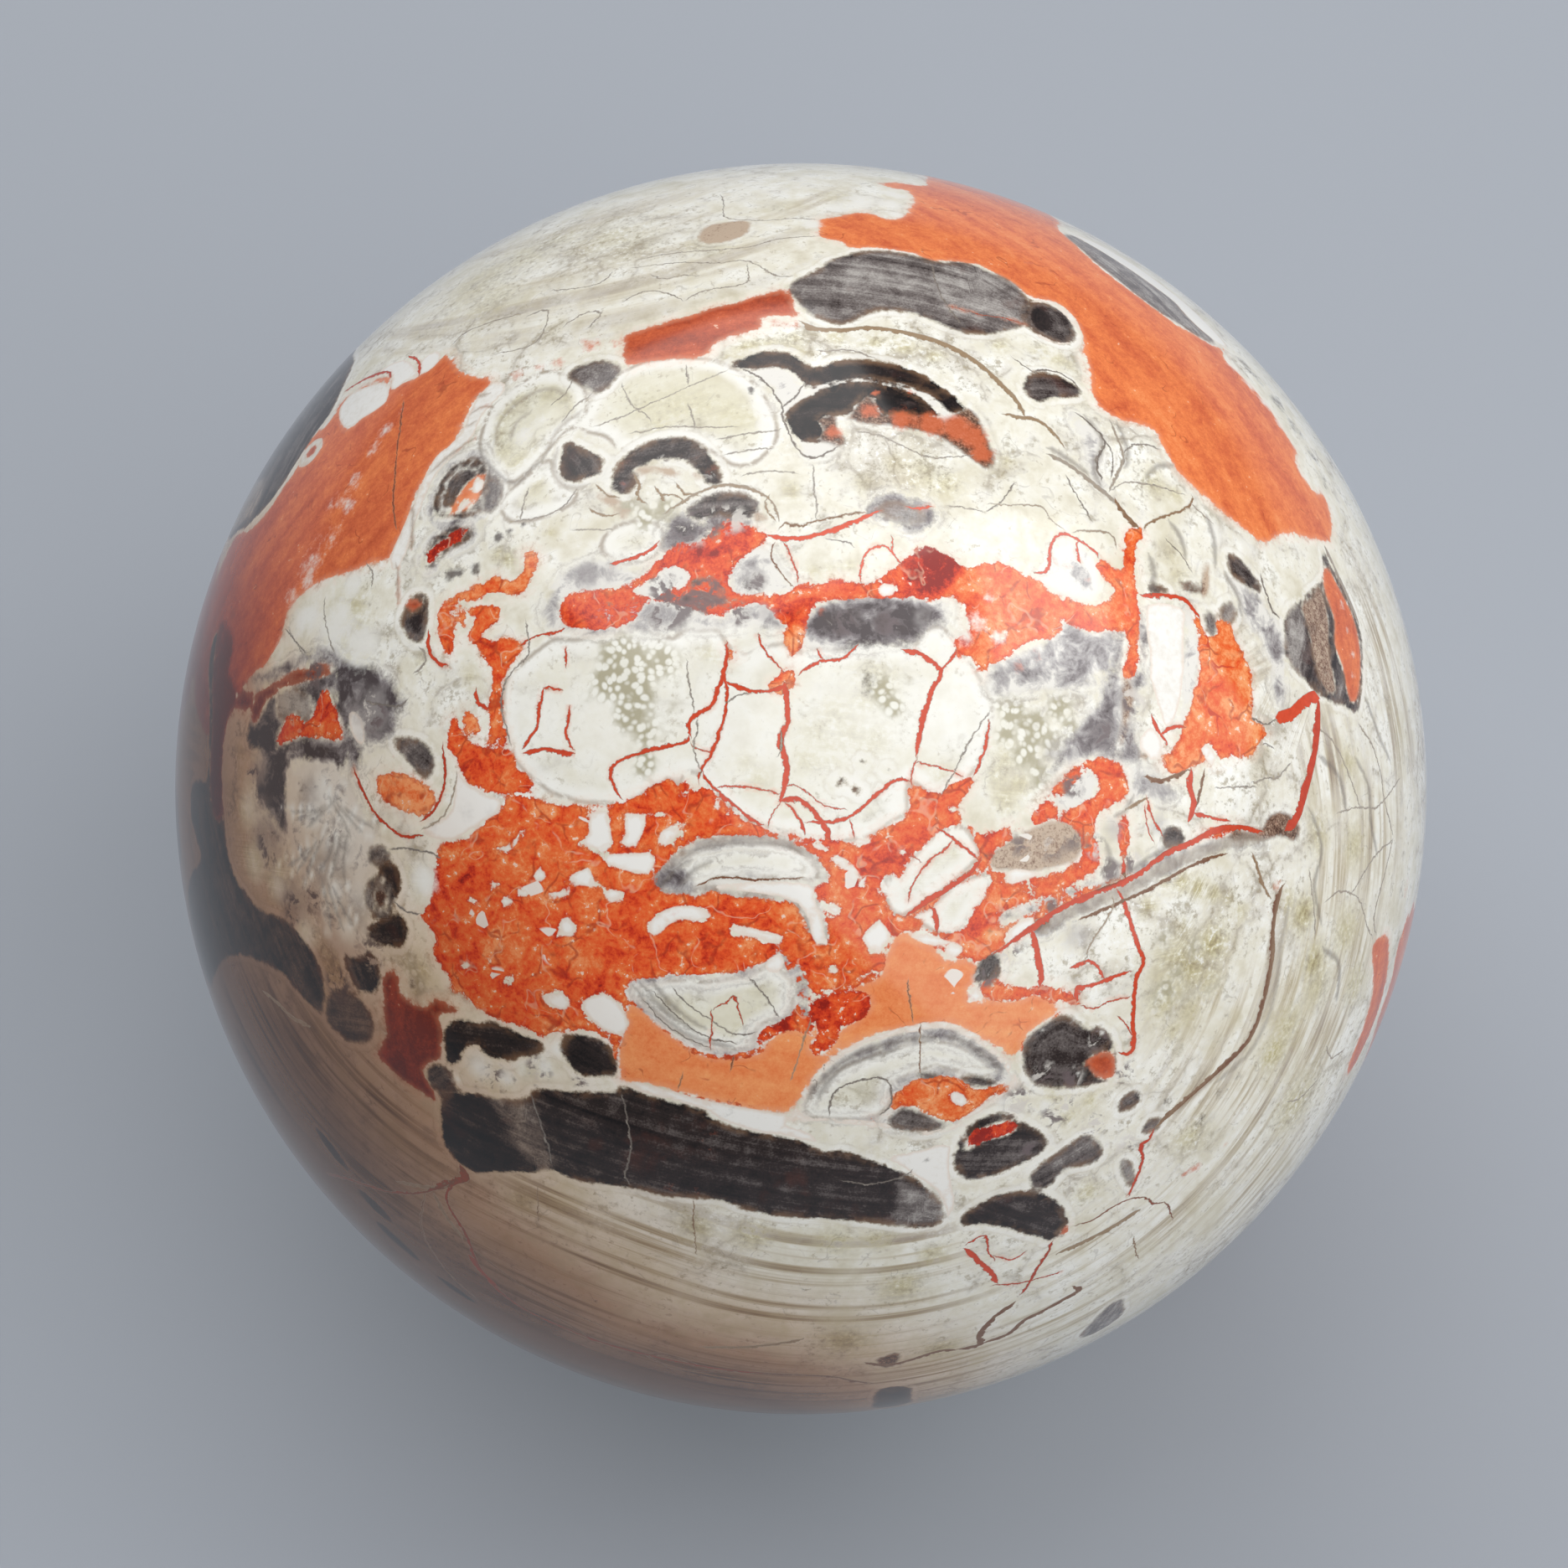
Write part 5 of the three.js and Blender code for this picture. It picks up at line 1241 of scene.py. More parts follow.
# %% Left: the dark pocket with red crystals, the drusy ring and the feathered quartz
def red_pocket():
    """A dark pocket with red crystals, and feathered quartz."""
    patch("smoke", 0.32, [-52.5, 13, -50.4, 12.6, -49.6, 9, -48.6, 6, -47.6, 4, -48, 1, -47.8, -3,
        -47, -6.5, -45.6, -8.4, -43, -10, -40, -10.6, -38, -11.4, -36.4, -13, -35.6, -15, -36.2, -17.4,
        -37.6, -17, -41, -14.8, -46, -14.4, -49, -15, -52, -16.4, -55, -18.4, -58, -20, -61, -18, -60, -12,
        -57, -9, -53, -7, -54, -5, -55.4, -3, -55, -0.6, -53, 0, -51, 0, -50.6, 3, -51.4, 7, -52.6, 10])
    patch("rust", 0.0, [-51.6, 14, -48, 12, -48, 9, -46, 7.6, -43.4, 7, -44, 5.8, -46.6, 5.8, -47.6, 4,
        -48, 1, -47.8, -3, -49.6, -3, -50.4, 0, -50.4, 5, -51.4, 9])
    patch("chalcedony", 0.0, [-43.8, 4, -42.8, 7, -41, 7.5, -38, 8.4, -34, 8.4, -33.4, 5, -32.6, 3.4,
        -31.6, 2.8, -32.6, 1, -34.4, 1.6, -37.4, 1.6, -38.4, 0.6, -38.4, -2.4, -38.2, -4, -40.8, -2.6,
        -42.2, -1.2, -42.4, 0.4, -41.6, 2, -43.6, 3])
    patch("smoke", 0.75, [-40, 6.6, -38, 7, -36.3, 6.2, -36.3, 4.7, -38, 4.7, -39.8, 5])
    patch("rust", 0.0, [-42.8, 7, -41, 7.6, -38, 8.4, -35, 8.7, -34.2, 8, -36, 7.6, -39, 7.2, -41.4, 6.2,
        -42.8, 4.6, -43.6, 5.4])
    patch("red", 0.6, [-39.8, 2.8, -39.2, 4.4, -38, 5.2, -37, 4.6, -36.2, 4.4, -34.8, 6.7, -34, 6.3,
        -33.4, 5, -32.6, 3.6, -33, 3, -36.6, 3.4])
    patch("chalcedony", 0.35, [-44, 7.9, -42, 7.6, -36, 9, -34, 8.8, -33, 8.2, -34, 9.6, -36.6, 9.9,
        -40, 8.9, -43, 8.6])
    patch("chalcedony", 0.05, [-34, 8.6, -33, 8.9, -31, 8.3, -29.8, 8, -27, 5.6, -28, 4.8, -28, 3.6,
        -29.5, 2.9, -30.5, 2.8, -30.8, 1.5, -31.8, 1, -32.6, 4.2, -33.3, 5.6])
    patch("white", 0.8, [-32, 5, -31.2, 4.8, -30.6, 3.8, -30.7, 2.6, -31.5, 3.2, -32, 4])
    patch("chalcedony", 1.0, [-38, 0.8, -36, 1.2, -33.6, 1, -32, 0, -31, -1.6, -29.6, -3.4, -29.6, -5.6,
        -30.6, -7, -31, -9, -30.4, -10.6, -31, -12.4, -33, -12.6, -34.8, -11.4, -35.4, -9.6, -38, -5,
        -38.4, -2])
    for x, y, turned in (
            (-35.4, -2.2, 20), (-33.2, -5.2, 70), (-33.6, -9, 110), (-32, -2.4, 140), (-36.4, -5.6, 45)):
        for side in (-0.7, 0.0, 0.7):
            lean = math.radians(turned + 26 * side)
            reach_x, reach_y = 1.7 * math.cos(lean), 1.7 * math.sin(lean)
            shade(0.05, 0.3, [x + side - reach_x, y - reach_y, x + side, y, x + side * 1.6 + reach_x,
                y + reach_y])
            steps = np.linspace(-1.5, 1.5, 6)
            fibre = [x + side * 1.5 + steps * reach_x, y + 0.4 + steps * reach_y, 0.3 + 0 * steps]
            stain("milk", 0.8, np.stack(fibre, axis=1).ravel())
    stain("haze", 0.9, [-34, -6, 2.4, -36, -1, 1.6, -31.6, -9, 1.6, -41, -4, 2.4, -42, 1, 1.6, -38, -9, 2,
        -30, 5, 2])
    stain("motley", 0.7, [-41, -5, 1.6, -43, 0.6, 1, -38, -9.6, 1.4, -30, 5, 1.6, -36, 8, 1.2,
        -30.4, -12, 1.4, -34, -15, 1.4])
    stain("milk", 0.55, [-43.6, -2, 1.6, -43, -6.4, 1.6, -40, -8, 1.4, -40.6, 10, 1.4, -37, -11.4, 1.2])
    stain("smoky", 0.65, [-41, 5.6, 1.2, -42, 3.4, 0.8, -37, 6.8, 1.2, -40.6, -0.6, 1, -39.6, 2, 0.9,
        -34.6, 2.4, 0.7])
    stain("motley", 0.6, [-33, -4, 1.6, -35.6, -8, 1.6])
    stain("haze", 0.6, [-24.6, -2.8, 0.9, -22, -2, 0.9, -20.4, -1.6, 0.6])
    stain("milk", 0.5, [-32.6, -4.4, 2.6, -31.6, -8, 2, -34.6, -1, 1.6])
    stain("milk", 0.7, [-33.4, -7.8, 1.2, -35.4, -2.4, 1.2, -32.4, -10.4, 0.9, -34.8, 4.6, 0.4,
        -46, 7, 0.5])
    stain("smoky", 0.6, [-33.9, -4.7, 0.4, -34.9, -4.4, 0.3, -32.5, -3.8, 0.4, -37.4, -4.4, 0.5,
        -36.4, -0.4, 0.5, -36, -11, 0.6, -30.6, -11, 0.3, -37, -0.6, 0.4, -42, -12, 1])
    for tone, flat in (
            (0.5, oval(-29.2, -5, 1, 0.7)),
            (0.15, [-29, -5.6, -28.2, -5.4, -27.6, -6, -27.4, -6.9, -27.8, -7.9, -28.5, -8.1, -28.4, -7,
             -29, -6.3]),
            (0.5, [-30.7, -8, -30.2, -7, -29.3, -6.6, -28.5, -7.2, -28.2, -8.3, -28.6, -9.2, -29.6, -9.3,
             -30.4, -8.8]),
            (0.15, [-30.6, -10.7, -29.8, -9.8, -27.8, -9.1, -27.1, -9.7, -27.1, -10.5, -27.6, -11.2,
             -28.8, -11.4, -30, -11.2]),
            (0.4, [-27.9, 2.9, -26.8, 3.1, -25.5, 2.7, -24.7, 1.9, -24.6, 0.9, -25.4, 0.5, -27, 1.8])):
        patch("smoke", tone, flat)
    patch("brown", 0.1, oval(-29.2, -8, 0.6, 0.75))
    patch("red", 1.0, [-29.3, 0.4, -27, 0.7, -24.5, -0.6, -24.7, -1.7, -25.8, -2.2, -28.2, -1.4,
        -29.1, -0.6])
    patch("red", 0.9, oval(-21.8, 4.1, 1, 0.55, -40))
    patch("red", 0.55, [-23.4, 4.2, -22.9, 4.4, -21.8, 2.6, -18.8, 2.1, -18.4, 1.2, -17, -0.3, -20, -0.7,
        -21, -0.2, -22, 0.2, -22.9, 1.9, -23.6, 2.5])
    patch("red", 0.66, [-24.8, 12.4, -24.6, 9.8, -23.6, 8.8, -23.4, 9.8, -23.7, 11.4, -22.8, 11.8,
        -20.4, 12, -20, 11.2, -21.4, 10, -20.6, 9.4, -19.6, 9.6, -18.4, 9, -19.5, 7.1, -19.6, 4.8,
        -19.2, 3.2, -20.4, 3, -20.5, 4.5, -20.4, 7.3, -21, 8.3, -21.4, 9.2, -22.4, 9.8, -22, 11,
        -22.6, 11.2, -22.8, 10.4])
    for tone, width, flat in (
            (0.8, 0.26, [-31.6, 1.2, -30, -1.5, -28.6, -2.8, -27, -3.6, -25.4, -3.5]),
            (0.8, 0.28, [-24, 2.6, -23.7, 1, -23.9, -0.6, -24.6, -1.8, -25.6, -2.5]),
            (0.9, 0.2, [-18.5, 9.2, -17, 9.8, -16, 9.9, -15.3, 10.2]),
            (0.9, 0.4, [-21.6, 6.4, -21.4, 5.4, -20.6, 5]),
            (0.9, 0.3, [-25.6, 10.6, -25.4, 9.2, -24.6, 8.2, -23.8, 8]),
            (0.0, 0.16, [-30.6, 5.8, -29, 5.4, -27.6, 5.3, -26.8, 5.9]),
            (0.0, 0.12, [-40, 11.9, -38.6, 10.8, -37, 9.6]),
            (0.0, 0.14, [-28.2, -4.6, -26.8, -4.4, -25, -4.6, -24, -5]),
            (0.0, 0.14, [-25.9, -8.9, -27, -8.8, -28, -8.2]),
            (0.2, 0.16, [-22.8, 0.8, -23.1, -0.9, -24, -2.3, -25.6, -3.1]),
            (0.05, 0.16, [-26.4, 7.6, -25.6, 8.4, -26.2, 9.4])):
        vein(tone, width, flat)
    patch("white", 0.8, [-22.8, 0.8, -22.1, 0.1, -20.4, -0.7, -19.6, -0.9, -19.5, -1.7, -20.2, -2.1,
        -23.2, -3.7, -25.6, -3.2, -23.2, -1.8])
    stain("olive", 0.6, [-45, -2, 2, -44, -6, 2, -45, 2, 1.4, -40, -8, 2, -26, -6.4, 0.8, -26, 8.6, 0.7,
        -22, 7, 0.6])
    stain("blush", 0.5, [-29.4, 2.2, 0.4, -28, 1.7, 0.4, -23.4, 7.6, 0.3, -26.4, -0.8, 0.5, -49, -1, 0.8])


red_pocket()
stone.report("left side")

# %% Right limb: the three-coloured lens, its orange hooks and the rust patch at the edge
patch("smoke", 0.3, [36.2, 9.8, 36, 11.6, 36.5, 13.6, 40.4, 16.2, 42, 17.6, 42.5, 20, 43.5, 18.5,
    45.2, 16.5, 46.2, 14, 46.3, 12, 45, 7.5, 44, 6.6, 42.5, 7.1, 40, 7.5])
patch("smoke", 0.6, [36.2, 10, 36.3, 12, 36.9, 13.6, 38, 14, 38.2, 12, 37.8, 9.6, 37, 9.2], grain=80)
patch("rust", 0.6, [41.6, 16.6, 42.6, 18.6, 44, 17, 45.4, 15, 46, 12.6, 45.6, 9.8, 44.6, 7.6, 43.4, 7.6,
    42.8, 10, 42, 12, 42.4, 14])
stain("milk", 0.55, [44, 15.4, 0.6, 44.4, 13.4, 0.6, 44.6, 11.4, 0.5, 44.4, 9.6, 0.4])
patch("brown", 0.5, [38.2, 14.6, 39.6, 15.2, 41, 16.4, 41.6, 14, 41.2, 11, 41.6, 8, 40, 8.2, 39.2, 10,
    38.8, 12.4])
stain("smoky", 0.5, [39.4, 13, 1, 40.4, 9.6, 0.9])
for tone, width, flat in (
        (0.95, 1.1, [34.4, 5.5, 36, 5.9, 38, 7.1, 39.4, 7.4]),
        (0.85, 0.9, [39.3, 7.3, 38.6, 3.5, 37.1, -0.5, 36.3, -2, 35.4, -2.5]),
        (0.1, 0.5, [43, 20.6, 43.8, 18.8, 45, 16.8, 46.4, 14.2]),
        (0.1, 0.2, [44.5, 5.8, 46.8, 4, 48.3, 1.5, 48.8, -0.3, 51, -3.5]),
        (0.1, 0.16, [41.3, -1.4, 44, -1, 47, -1, 49, -0.3, 52.5, 1.7]),
        (0.1, 0.2, [51, -3.6, 49, -8.5, 48.6, -10.5, 49.5, -12]), (0.1, 0.16, [51, -3.8, 47.5, -5, 44, -8]),
        (0.1, 0.16, [38.2, -5.5, 39.3, -9, 39.8, -11]),
        (0.1, 0.16, [40.5, -8.3, 42.5, -7.5, 45.5, -8.5, 47.5, -11, 49, -12.2]),
        (0.1, 0.16, [38.6, 5.2, 41, 4, 43.4, 1, 44.6, -1]),
        (0.1, 0.16, [44.4, -21, 46, -22.6, 48.4, -22.4]),
        (0.1, 0.16, [40.6, -25.4, 42.4, -25.6, 44.6, -24.4]),
        (0.4, 0.2, [27, -35.4, 27.8, -37.4, 28.4, -38.4])):
    vein(tone, width, flat)
patch("rust", 0.5, [49.5, -12.5, 52, -12.4, 53.5, -14, 55, -18, 54.4, -23, 52.4, -26, 50.8, -25, 51.6, -21,
    51.6, -17.6, 49.8, -14.4])
stain("blush", 0.55, [56, -8.6, 1, 44.2, 10.6, 0.7, 43.8, 15.4, 0.6, 38.8, 4.4, 0.4])
stain("olive", 0.75, [44, -4, 1.5, 43, 2.5, 1.2, 44, -11, 2, 41, -15, 2, 38, -18, 2, 42, -26, 3,
    30, -26, 1.6, 39, -3, 1.4, 36, -8, 1, 47, -16, 1.6])
for flat in (
        [38, -1, 39.6, -4, 39, -7, 40.4, -10], [44, 3, 46, 0.6, 46.4, -2, 48, -5],
        [41, -12, 43.6, -13.6, 44.4, -17], [39, 3, 41.6, 1.4, 42.6, -1.2], [46, 8, 48, 5, 50, 3]):
    shade(0.0, 0.45, flat)
stain("smoky", 0.4, [54.6, -9, 1.6, 50, 8, 1.4, 43, -39, 3, 38, -44, 2])
stain("bands", 0.85, [36, -26, 5, 44, -20, 5, 30, -34, 5, 40, -34, 6, 52, 6, 5, 50, 14, 4, 48, -4, 5,
    30, -22, 4])
stone.report("right limb")

# %% [markdown]
# ## The foot
#
# Below the bar the bedding shows bare. Its height is bent here so that the lines sag round the middle on
# both sides, and stains say where the bands show most. A wide brown stain darkens the lower left: partly
# the stone's own browner colour, partly painted shade.

# %% Below the bar: bedding that sags round the middle, brown seams and the last dark spots
LOWER_CENTRE = np.array([[-13.0, 1.0], [6.0, -7.0]])
below = laid_flat(direction, to_camera)
round_centre, _, _ = nearest_on_path(below, LOWER_CENTRE)
lower_share = np.clip((1.5 * np.maximum(below[:, 0] - 26, 0) - below[:, 1] - 4) / 8, 0, 1)
lower_share *= (stone.depth["smoke"] < 0) & (below[:, 1] < 45)
stone.bed[:] = stone.bed * (1 - lower_share) + (round_centre + 40) * lower_share
stain("bands", 1, [-10, -33, 5, 0, -34, 5, 8, -34, 4, -18, -31, 4, -14, -38, 6, -2, -40, 7, 8, -42, 6,
    -24, -34, 5, -32, -24, 5, -38, -22, 5, -30, -30, 6, -44, -20, 5, -20, -42, 7, -36, -32, 8, -6, -50, 8,
    12, -50, 7, 22, -44, 6, -50, -24, 7, -56, 4, 3, 0, -60, 8, -24, -54, 10, 24, -36, 4])
stain("olive", 0.8, [-3, -31.6, 1.4, 3, -32, 1.2, 6, -32, 1, -7, -31, 1.4, 10, -33.6, 1, 4, -43.6, 2,
    8, -37, 1.6, -20, -30.6, 1, 12, -46, 1.6])
stain("smoky", 0.42, [-9.6, -34.2, 0.8, -7.4, -34.4, 0.8, -5.4, -34.8, 0.6, -17, -30.6, 0.5,
    -20.6, -30.6, 0.5, -9, -41.8, 0.7, -16, -41, 1.4, -12, -44, 0.7, 2, -57.4, 1, 5, -57.4, 1,
    0.6, -37, 0.5])
patch("smoke", 0.35, [7.8, -53.6, 9.6, -53.3, 10.6, -54.2, 11, -57, 11.4, -61, 8.6, -62, 7.8, -58])
patch("smoke", 0.55, [27.6, -45.4, 29, -44.8, 29.6, -46.2, 30.6, -48.6, 29.8, -50.6, 27.6, -51.4,
    26.6, -49.6])
for tone, width, flat in (
        (0.5, 0.4, [-20, -44.2, -18, -45.8, -16.5, -47, -13, -47.4, -12, -48.5, -10.4, -49.8, -8.4, -49.9,
         -5, -49.2, -1, -49.3, 3, -49.7, 5, -50.8, 7.4, -52]),
        (0.5, 0.5, [-12.2, -48, -11, -47.3, -9.6, -47.6, -8, -48.6]),
        (0.35, 0.4, [-7.4, -45.3, -4, -44.8, -1, -44, 0.8, -43.3]),
        (0.5, 0.55, [5.8, -47.3, 7.4, -48, 9, -47.9, 12, -46.5, 13.6, -46.7]),
        (0.5, 0.6, [13.8, -46.6, 15.6, -46.4, 15.3, -44.4, 16.3, -42, 17.6, -40.6]),
        (0.5, 0.6, [15.8, -46.2, 18, -45.4, 19, -43.6, 20.4, -42.8, 22.2, -41.6, 23.4, -40.8, 22.6, -40]),
        (0.3, 0.5, [20, -35.4, 24, -33.8, 26.8, -32.2]), (0.4, 0.4, [-32, -32, -28, -31.4, -26, -30.2]),
        (0.4, 0.4, [-28.2, -32, -27.6, -34.4, -26.6, -36.4]),
        (0.4, 0.35, [-44, -17.2, -42, -17.8, -40, -18.8, -38, -19])):
    vein(tone, width, flat)
patch("brown", 0.3, [6.8, -47, 7.6, -46.4, 8.4, -45.9, 8.8, -47, 8.4, -48.4, 7.6, -48.6])
stain("beads", 0.3, [-16, -47.4, 1])
stain("milk", 0.85, [-34, 12, 2.4, -31.6, 9.8, 2, -37.6, 12.4, 1.8, -33, 14.4, 1.2, -25.4, -6.6, 1.4])
# A brown stain over the lower left: partly the stone's own browning, partly painted shade where the ball
# turns from the light.
stain("browning_and_shade", 1, [-52, -34, 27, -14, -62, 19, -61, -2, 18, -36, -52, 23])
vein(0.62, 0.34, [-25, -29.4, -27.1, -32.2, -26.1, -35.9, -25.8, -40.7, -23.3, -44.2, -20, -45.7,
    -16.7, -47, -12.2, -47.9, -7, -48.8, -2, -49.3])
vein(0.6, 0.3, [-25.7, -29.9, -29.1, -32.1, -33.3, -33.6, -38.6, -34.4, -43, -35.7])
vein(0.66, 0.7, [-26.6, -38.4, -25.8, -40.6, -24.8, -42])
vein(0.5, 0.2, [-26.3, -37, -23, -40, -19, -42.6, -15, -44.4])
vein(0.5, 0.2, [-29.1, -32.1, -31, -37, -30.4, -42, -28, -46])
for x, y, half_long, half_short, turned in (
        (-36.4, -36.6, 2, 0.6, -40), (-35.4, -41, 2.6, 0.7, -42), (-39.6, -31.4, 2.2, 0.5, -52),
        (-30.4, -45.6, 2.2, 0.5, -34)):
    patch("smoke", 0.4, oval(x, y, half_long, half_short, turned))
stain("motley", 0.7, [15, -21, 1.2, 18, -22, 1.4, 21, -23.4, 1.2, 16.4, -25, 0.8, 23, -19.6, 1,
    24, -25.4, 1])
stain("motley", 0.9, [-21, -20.2, 1, -17.4, -19.2, 0.9, -14.6, -20, 0.5])
stone.report("bottom")

# %% [markdown]
# ## The sides that the photograph doesn't show
#
# One stone has one story, so the far side has the near side's parts: rust shoulders, smoky lenses, cracked
# ivory lumps over an orange field, a dark bar, and level bedding below.
#
# Two means make it. The groups above are drawn again on charts that face other ways, are mirrored and
# sway, so that no outline is the same twice. The large shapes are new: families of worn ovals, ringed
# lenses, cracks and chips, each from a middle, a size and the number that starts its chance.

# %% Charts of the far side
def chart_at(pole, turned, mirrored=False, sway=0.0):
    """A chart from the direction that it faces: its rightward axis is level, then turned, in degrees."""
    pole = np.array(pole) / np.linalg.norm(pole)
    level = np.cross([0.0, 0.3, 1.0], pole)
    level /= np.linalg.norm(level)
    upward = np.cross(pole, level)
    turn = math.radians(turned)
    right = math.cos(turn) * level + math.sin(turn) * upward
    up = math.cos(turn) * upward - math.sin(turn) * level
    return pole, right, -up if mirrored else up, sway


REAR = chart_at((0, 0.966, 0.259), 0)
LEFT = chart_at((-0.966, 0.0, 0.1), 0)
RIGHT = chart_at((0.966, 0.0, 0.1), 0)
UNDER = chart_at((0, 0.1, -1), 0)
print("the rear chart's rightward axis:", REAR[1].round(2))

# %% Groups drawn again, mirrored, turned and swaying
for chart, groups in (
        (chart_at((0.15, 0.95, 0.25), 150, True, 3.2), (round_lumps, dark_arches, brown_arch, ringed_lenses,
         red_pocket, dark_blobs, broken_ivory, orange_column, ring_and_seam, brown_lenses)),
        (chart_at((-0.16, 0.50, 0.85), 180, False, 3.0), (round_lumps, dark_arches, brown_arch,
         ringed_lenses)),
        (chart_at((0.93, -0.05, -0.1), 25, True, 3.4), (red_zone, dark_arches, round_lumps, orange_column,
         ring_and_seam)),
        (chart_at((0.62, 0.62, 0.48), 170, True, 3.0), (brown_arch, broken_ivory, orange_column,
         ringed_lenses)),
        (chart_at((-0.85, 0.3, -0.35), 100, True, 3.6), (ring_and_seam, brown_lenses, red_zone,
         dark_arches)),
        (chart_at((0.9, 0.25, -0.2), -60, True, 3.6), (ringed_lenses, dark_blobs, red_pocket,
         broken_ivory)), (chart_at((0.1, 0.1, -1), 40, True, 4.0), (brown_lenses, ringed_lenses))):
    stone.chart = chart
    for draw in groups:
        draw()
stone.report("groups drawn again")

# %% Families of shapes
def pebble(x, y, half_long, half_short, turned=0, seed=0, rough=0.16, count=18):
    """An oval whose radius carries five chance waves, each lower as it gets shorter."""
    chance = np.random.default_rng(seed)
    t = np.linspace(0, 2 * math.pi, count, endpoint=False)
    swell = 1 + sum(rough / wave * chance.normal() * np.cos(wave * t + chance.uniform(0, 6.3))
                    for wave in range(1, 6))
    c, s = math.cos(math.radians(turned)), math.sin(math.radians(turned))
    a, b = half_long * swell * np.cos(t), half_short * swell * np.sin(t)
    return np.stack([x + a * c - b * s, y + a * s + b * c], axis=1).ravel()


def weathered(flat, seed, size=0.7):
    """A drawn outline made rougher: three more points between each two, all moved by chance."""
    chance = np.random.default_rng(seed)
    curve = curve_through(np.asarray(flat, float).reshape(-1, 2), True, 4)
    return (curve + chance.normal(0, size, curve.shape) * 0.6).ravel()


def ringed(x, y, half_long, half_short, turned, seed, rings=((0, "chalcedony", 0.6), (0.5, "smoke", 0.2))):
    """A lens of rings: each ring is the same outline, set in by its own distance."""
    outline = pebble(x, y, half_long, half_short, turned, seed)
    for inset, mineral, tone in rings:
        patch(mineral, tone, outline, inset=inset, grain="rings")


def cracks(x, y, half_long, half_short, turned, seed, count, tone=0.92, width=0.3):
    """Chords across an oval, evenly spread round its rim, that keep off its middle and jog on their way."""
    chance = np.random.default_rng(seed)
    c, s = math.cos(math.radians(turned)), math.sin(math.radians(turned))
    for number in range(count):
        start = (number + chance.uniform(-0.3, 0.3)) * 2 * math.pi / count
        end = start + chance.uniform(1.3, 2.6)
        first = np.array([math.cos(start), math.sin(start)])
        last = chance.uniform(0.5, 1.0) * np.array([math.cos(end), math.sin(end)])
        path = first + np.linspace(0, 1, 9)[:, None] * (last - first)
        path = (path + chance.normal(0, 0.05, path.shape)) * [half_long, half_short]
        flat = np.stack([x + path[:, 0] * c - path[:, 1] * s, y + path[:, 0] * s + path[:, 1] * c], axis=1)
        vein(tone, width * chance.uniform(0.5, 1.3), flat.ravel())


def splinters(x, y, spread_x, spread_y, count, seed, mineral="white", tone=0.85, size=0.8):
    """Sharp chips strewn round a place, each a polygon with four to six corners."""
    chance = np.random.default_rng(seed)
    for _ in range(count):
        corners = int(chance.integers(4, 7))
        t = np.sort(chance.uniform(0, 2 * math.pi, corners))
        far = chance.uniform(0.5, 1.2, corners) * size * chance.uniform(0.4, 1.3)
        at_x, at_y = x + chance.normal(0, spread_x), y + chance.normal(0, spread_y)
        flat = np.stack([at_x + far * np.cos(t), at_y + far * 0.7 * np.sin(t)], axis=1)
        patch(mineral, tone, flat.ravel(), sharp=True)


def lump(x, y, half_long, half_short, turned, seed, crack_count):
    """An ivory lump with a clean heart, a spot of beads, an ochre streak, red cracks and grey hairlines."""
    patch("ivory", 0, pebble(x, y, half_long, half_short, turned, seed), grain=turned - 4)
    stain("clean", 1, [x, y, half_short])
    stain("beads", 0.9, [x - half_long * 0.4, y + half_short * 0.2, half_short * 0.4])
    stain("olive", 0.9, [x + half_long * 0.4, y - half_short * 0.3, half_short * 0.35])
    cracks(x, y, half_long, half_short, turned, seed + 1, crack_count)
    cracks(x, y, half_long * 0.9, half_short * 0.9, turned, seed + 2, crack_count // 2, 0.04, 0.14)


print("six families of shapes")

# %% The masses that pass over the edge of the front's chart
stone.chart = FRONT
for mineral, tone, grain, seed, flat in (
        ("rust", 0.46, None, 201, [-57, 11, -61, 6, -66, 2, -74, 5, -82, 12, -88, 22, -86, 33, -78, 38,
         -71, 35, -66, 29, -58, 21, -56, 17]),
        ("smoke", 0.24, 40, 202, [-60, 34, -62, 30, -66, 31, -71, 38, -74, 49, -67, 57, -61, 51, -58, 43]),
        ("rust", 0.05, None, 203, [-61, -5, -64, -10, -67, -20, -73, -28, -84, -29, -91, -20, -87, -5,
         -77, 2, -66, 1]),
        ("smoke", 0.14, 70, 204, [-62, -6, -64, -10, -68, -18, -73, -25, -82, -25, -87, -18, -83, -7,
         -75, -1, -67, -1]),
        ("rust", 0.7, None, 205, [15, 72, 13, 79, 6, 84, 4, 92, 14, 98, 26, 92, 34, 82, 30, 73, 25, 67,
         20, 68]),
        ("rust", 0.55, None, 206, [57, -13, 61, -11, 66, -13, 75, -21, 80, -34, 72, -42, 65, -38, 59, -30,
         57, -24]),
        ("smoke", 0.3, -50, 207, [60, -30, 64, -38, 72, -43, 79, -36, 84, -26, 85, -36, 79, -46, 70, -50,
         62, -43, 58, -35])):
    patch(mineral, tone, weathered(flat, seed), grain=grain)
stone.report("masses over the edge")

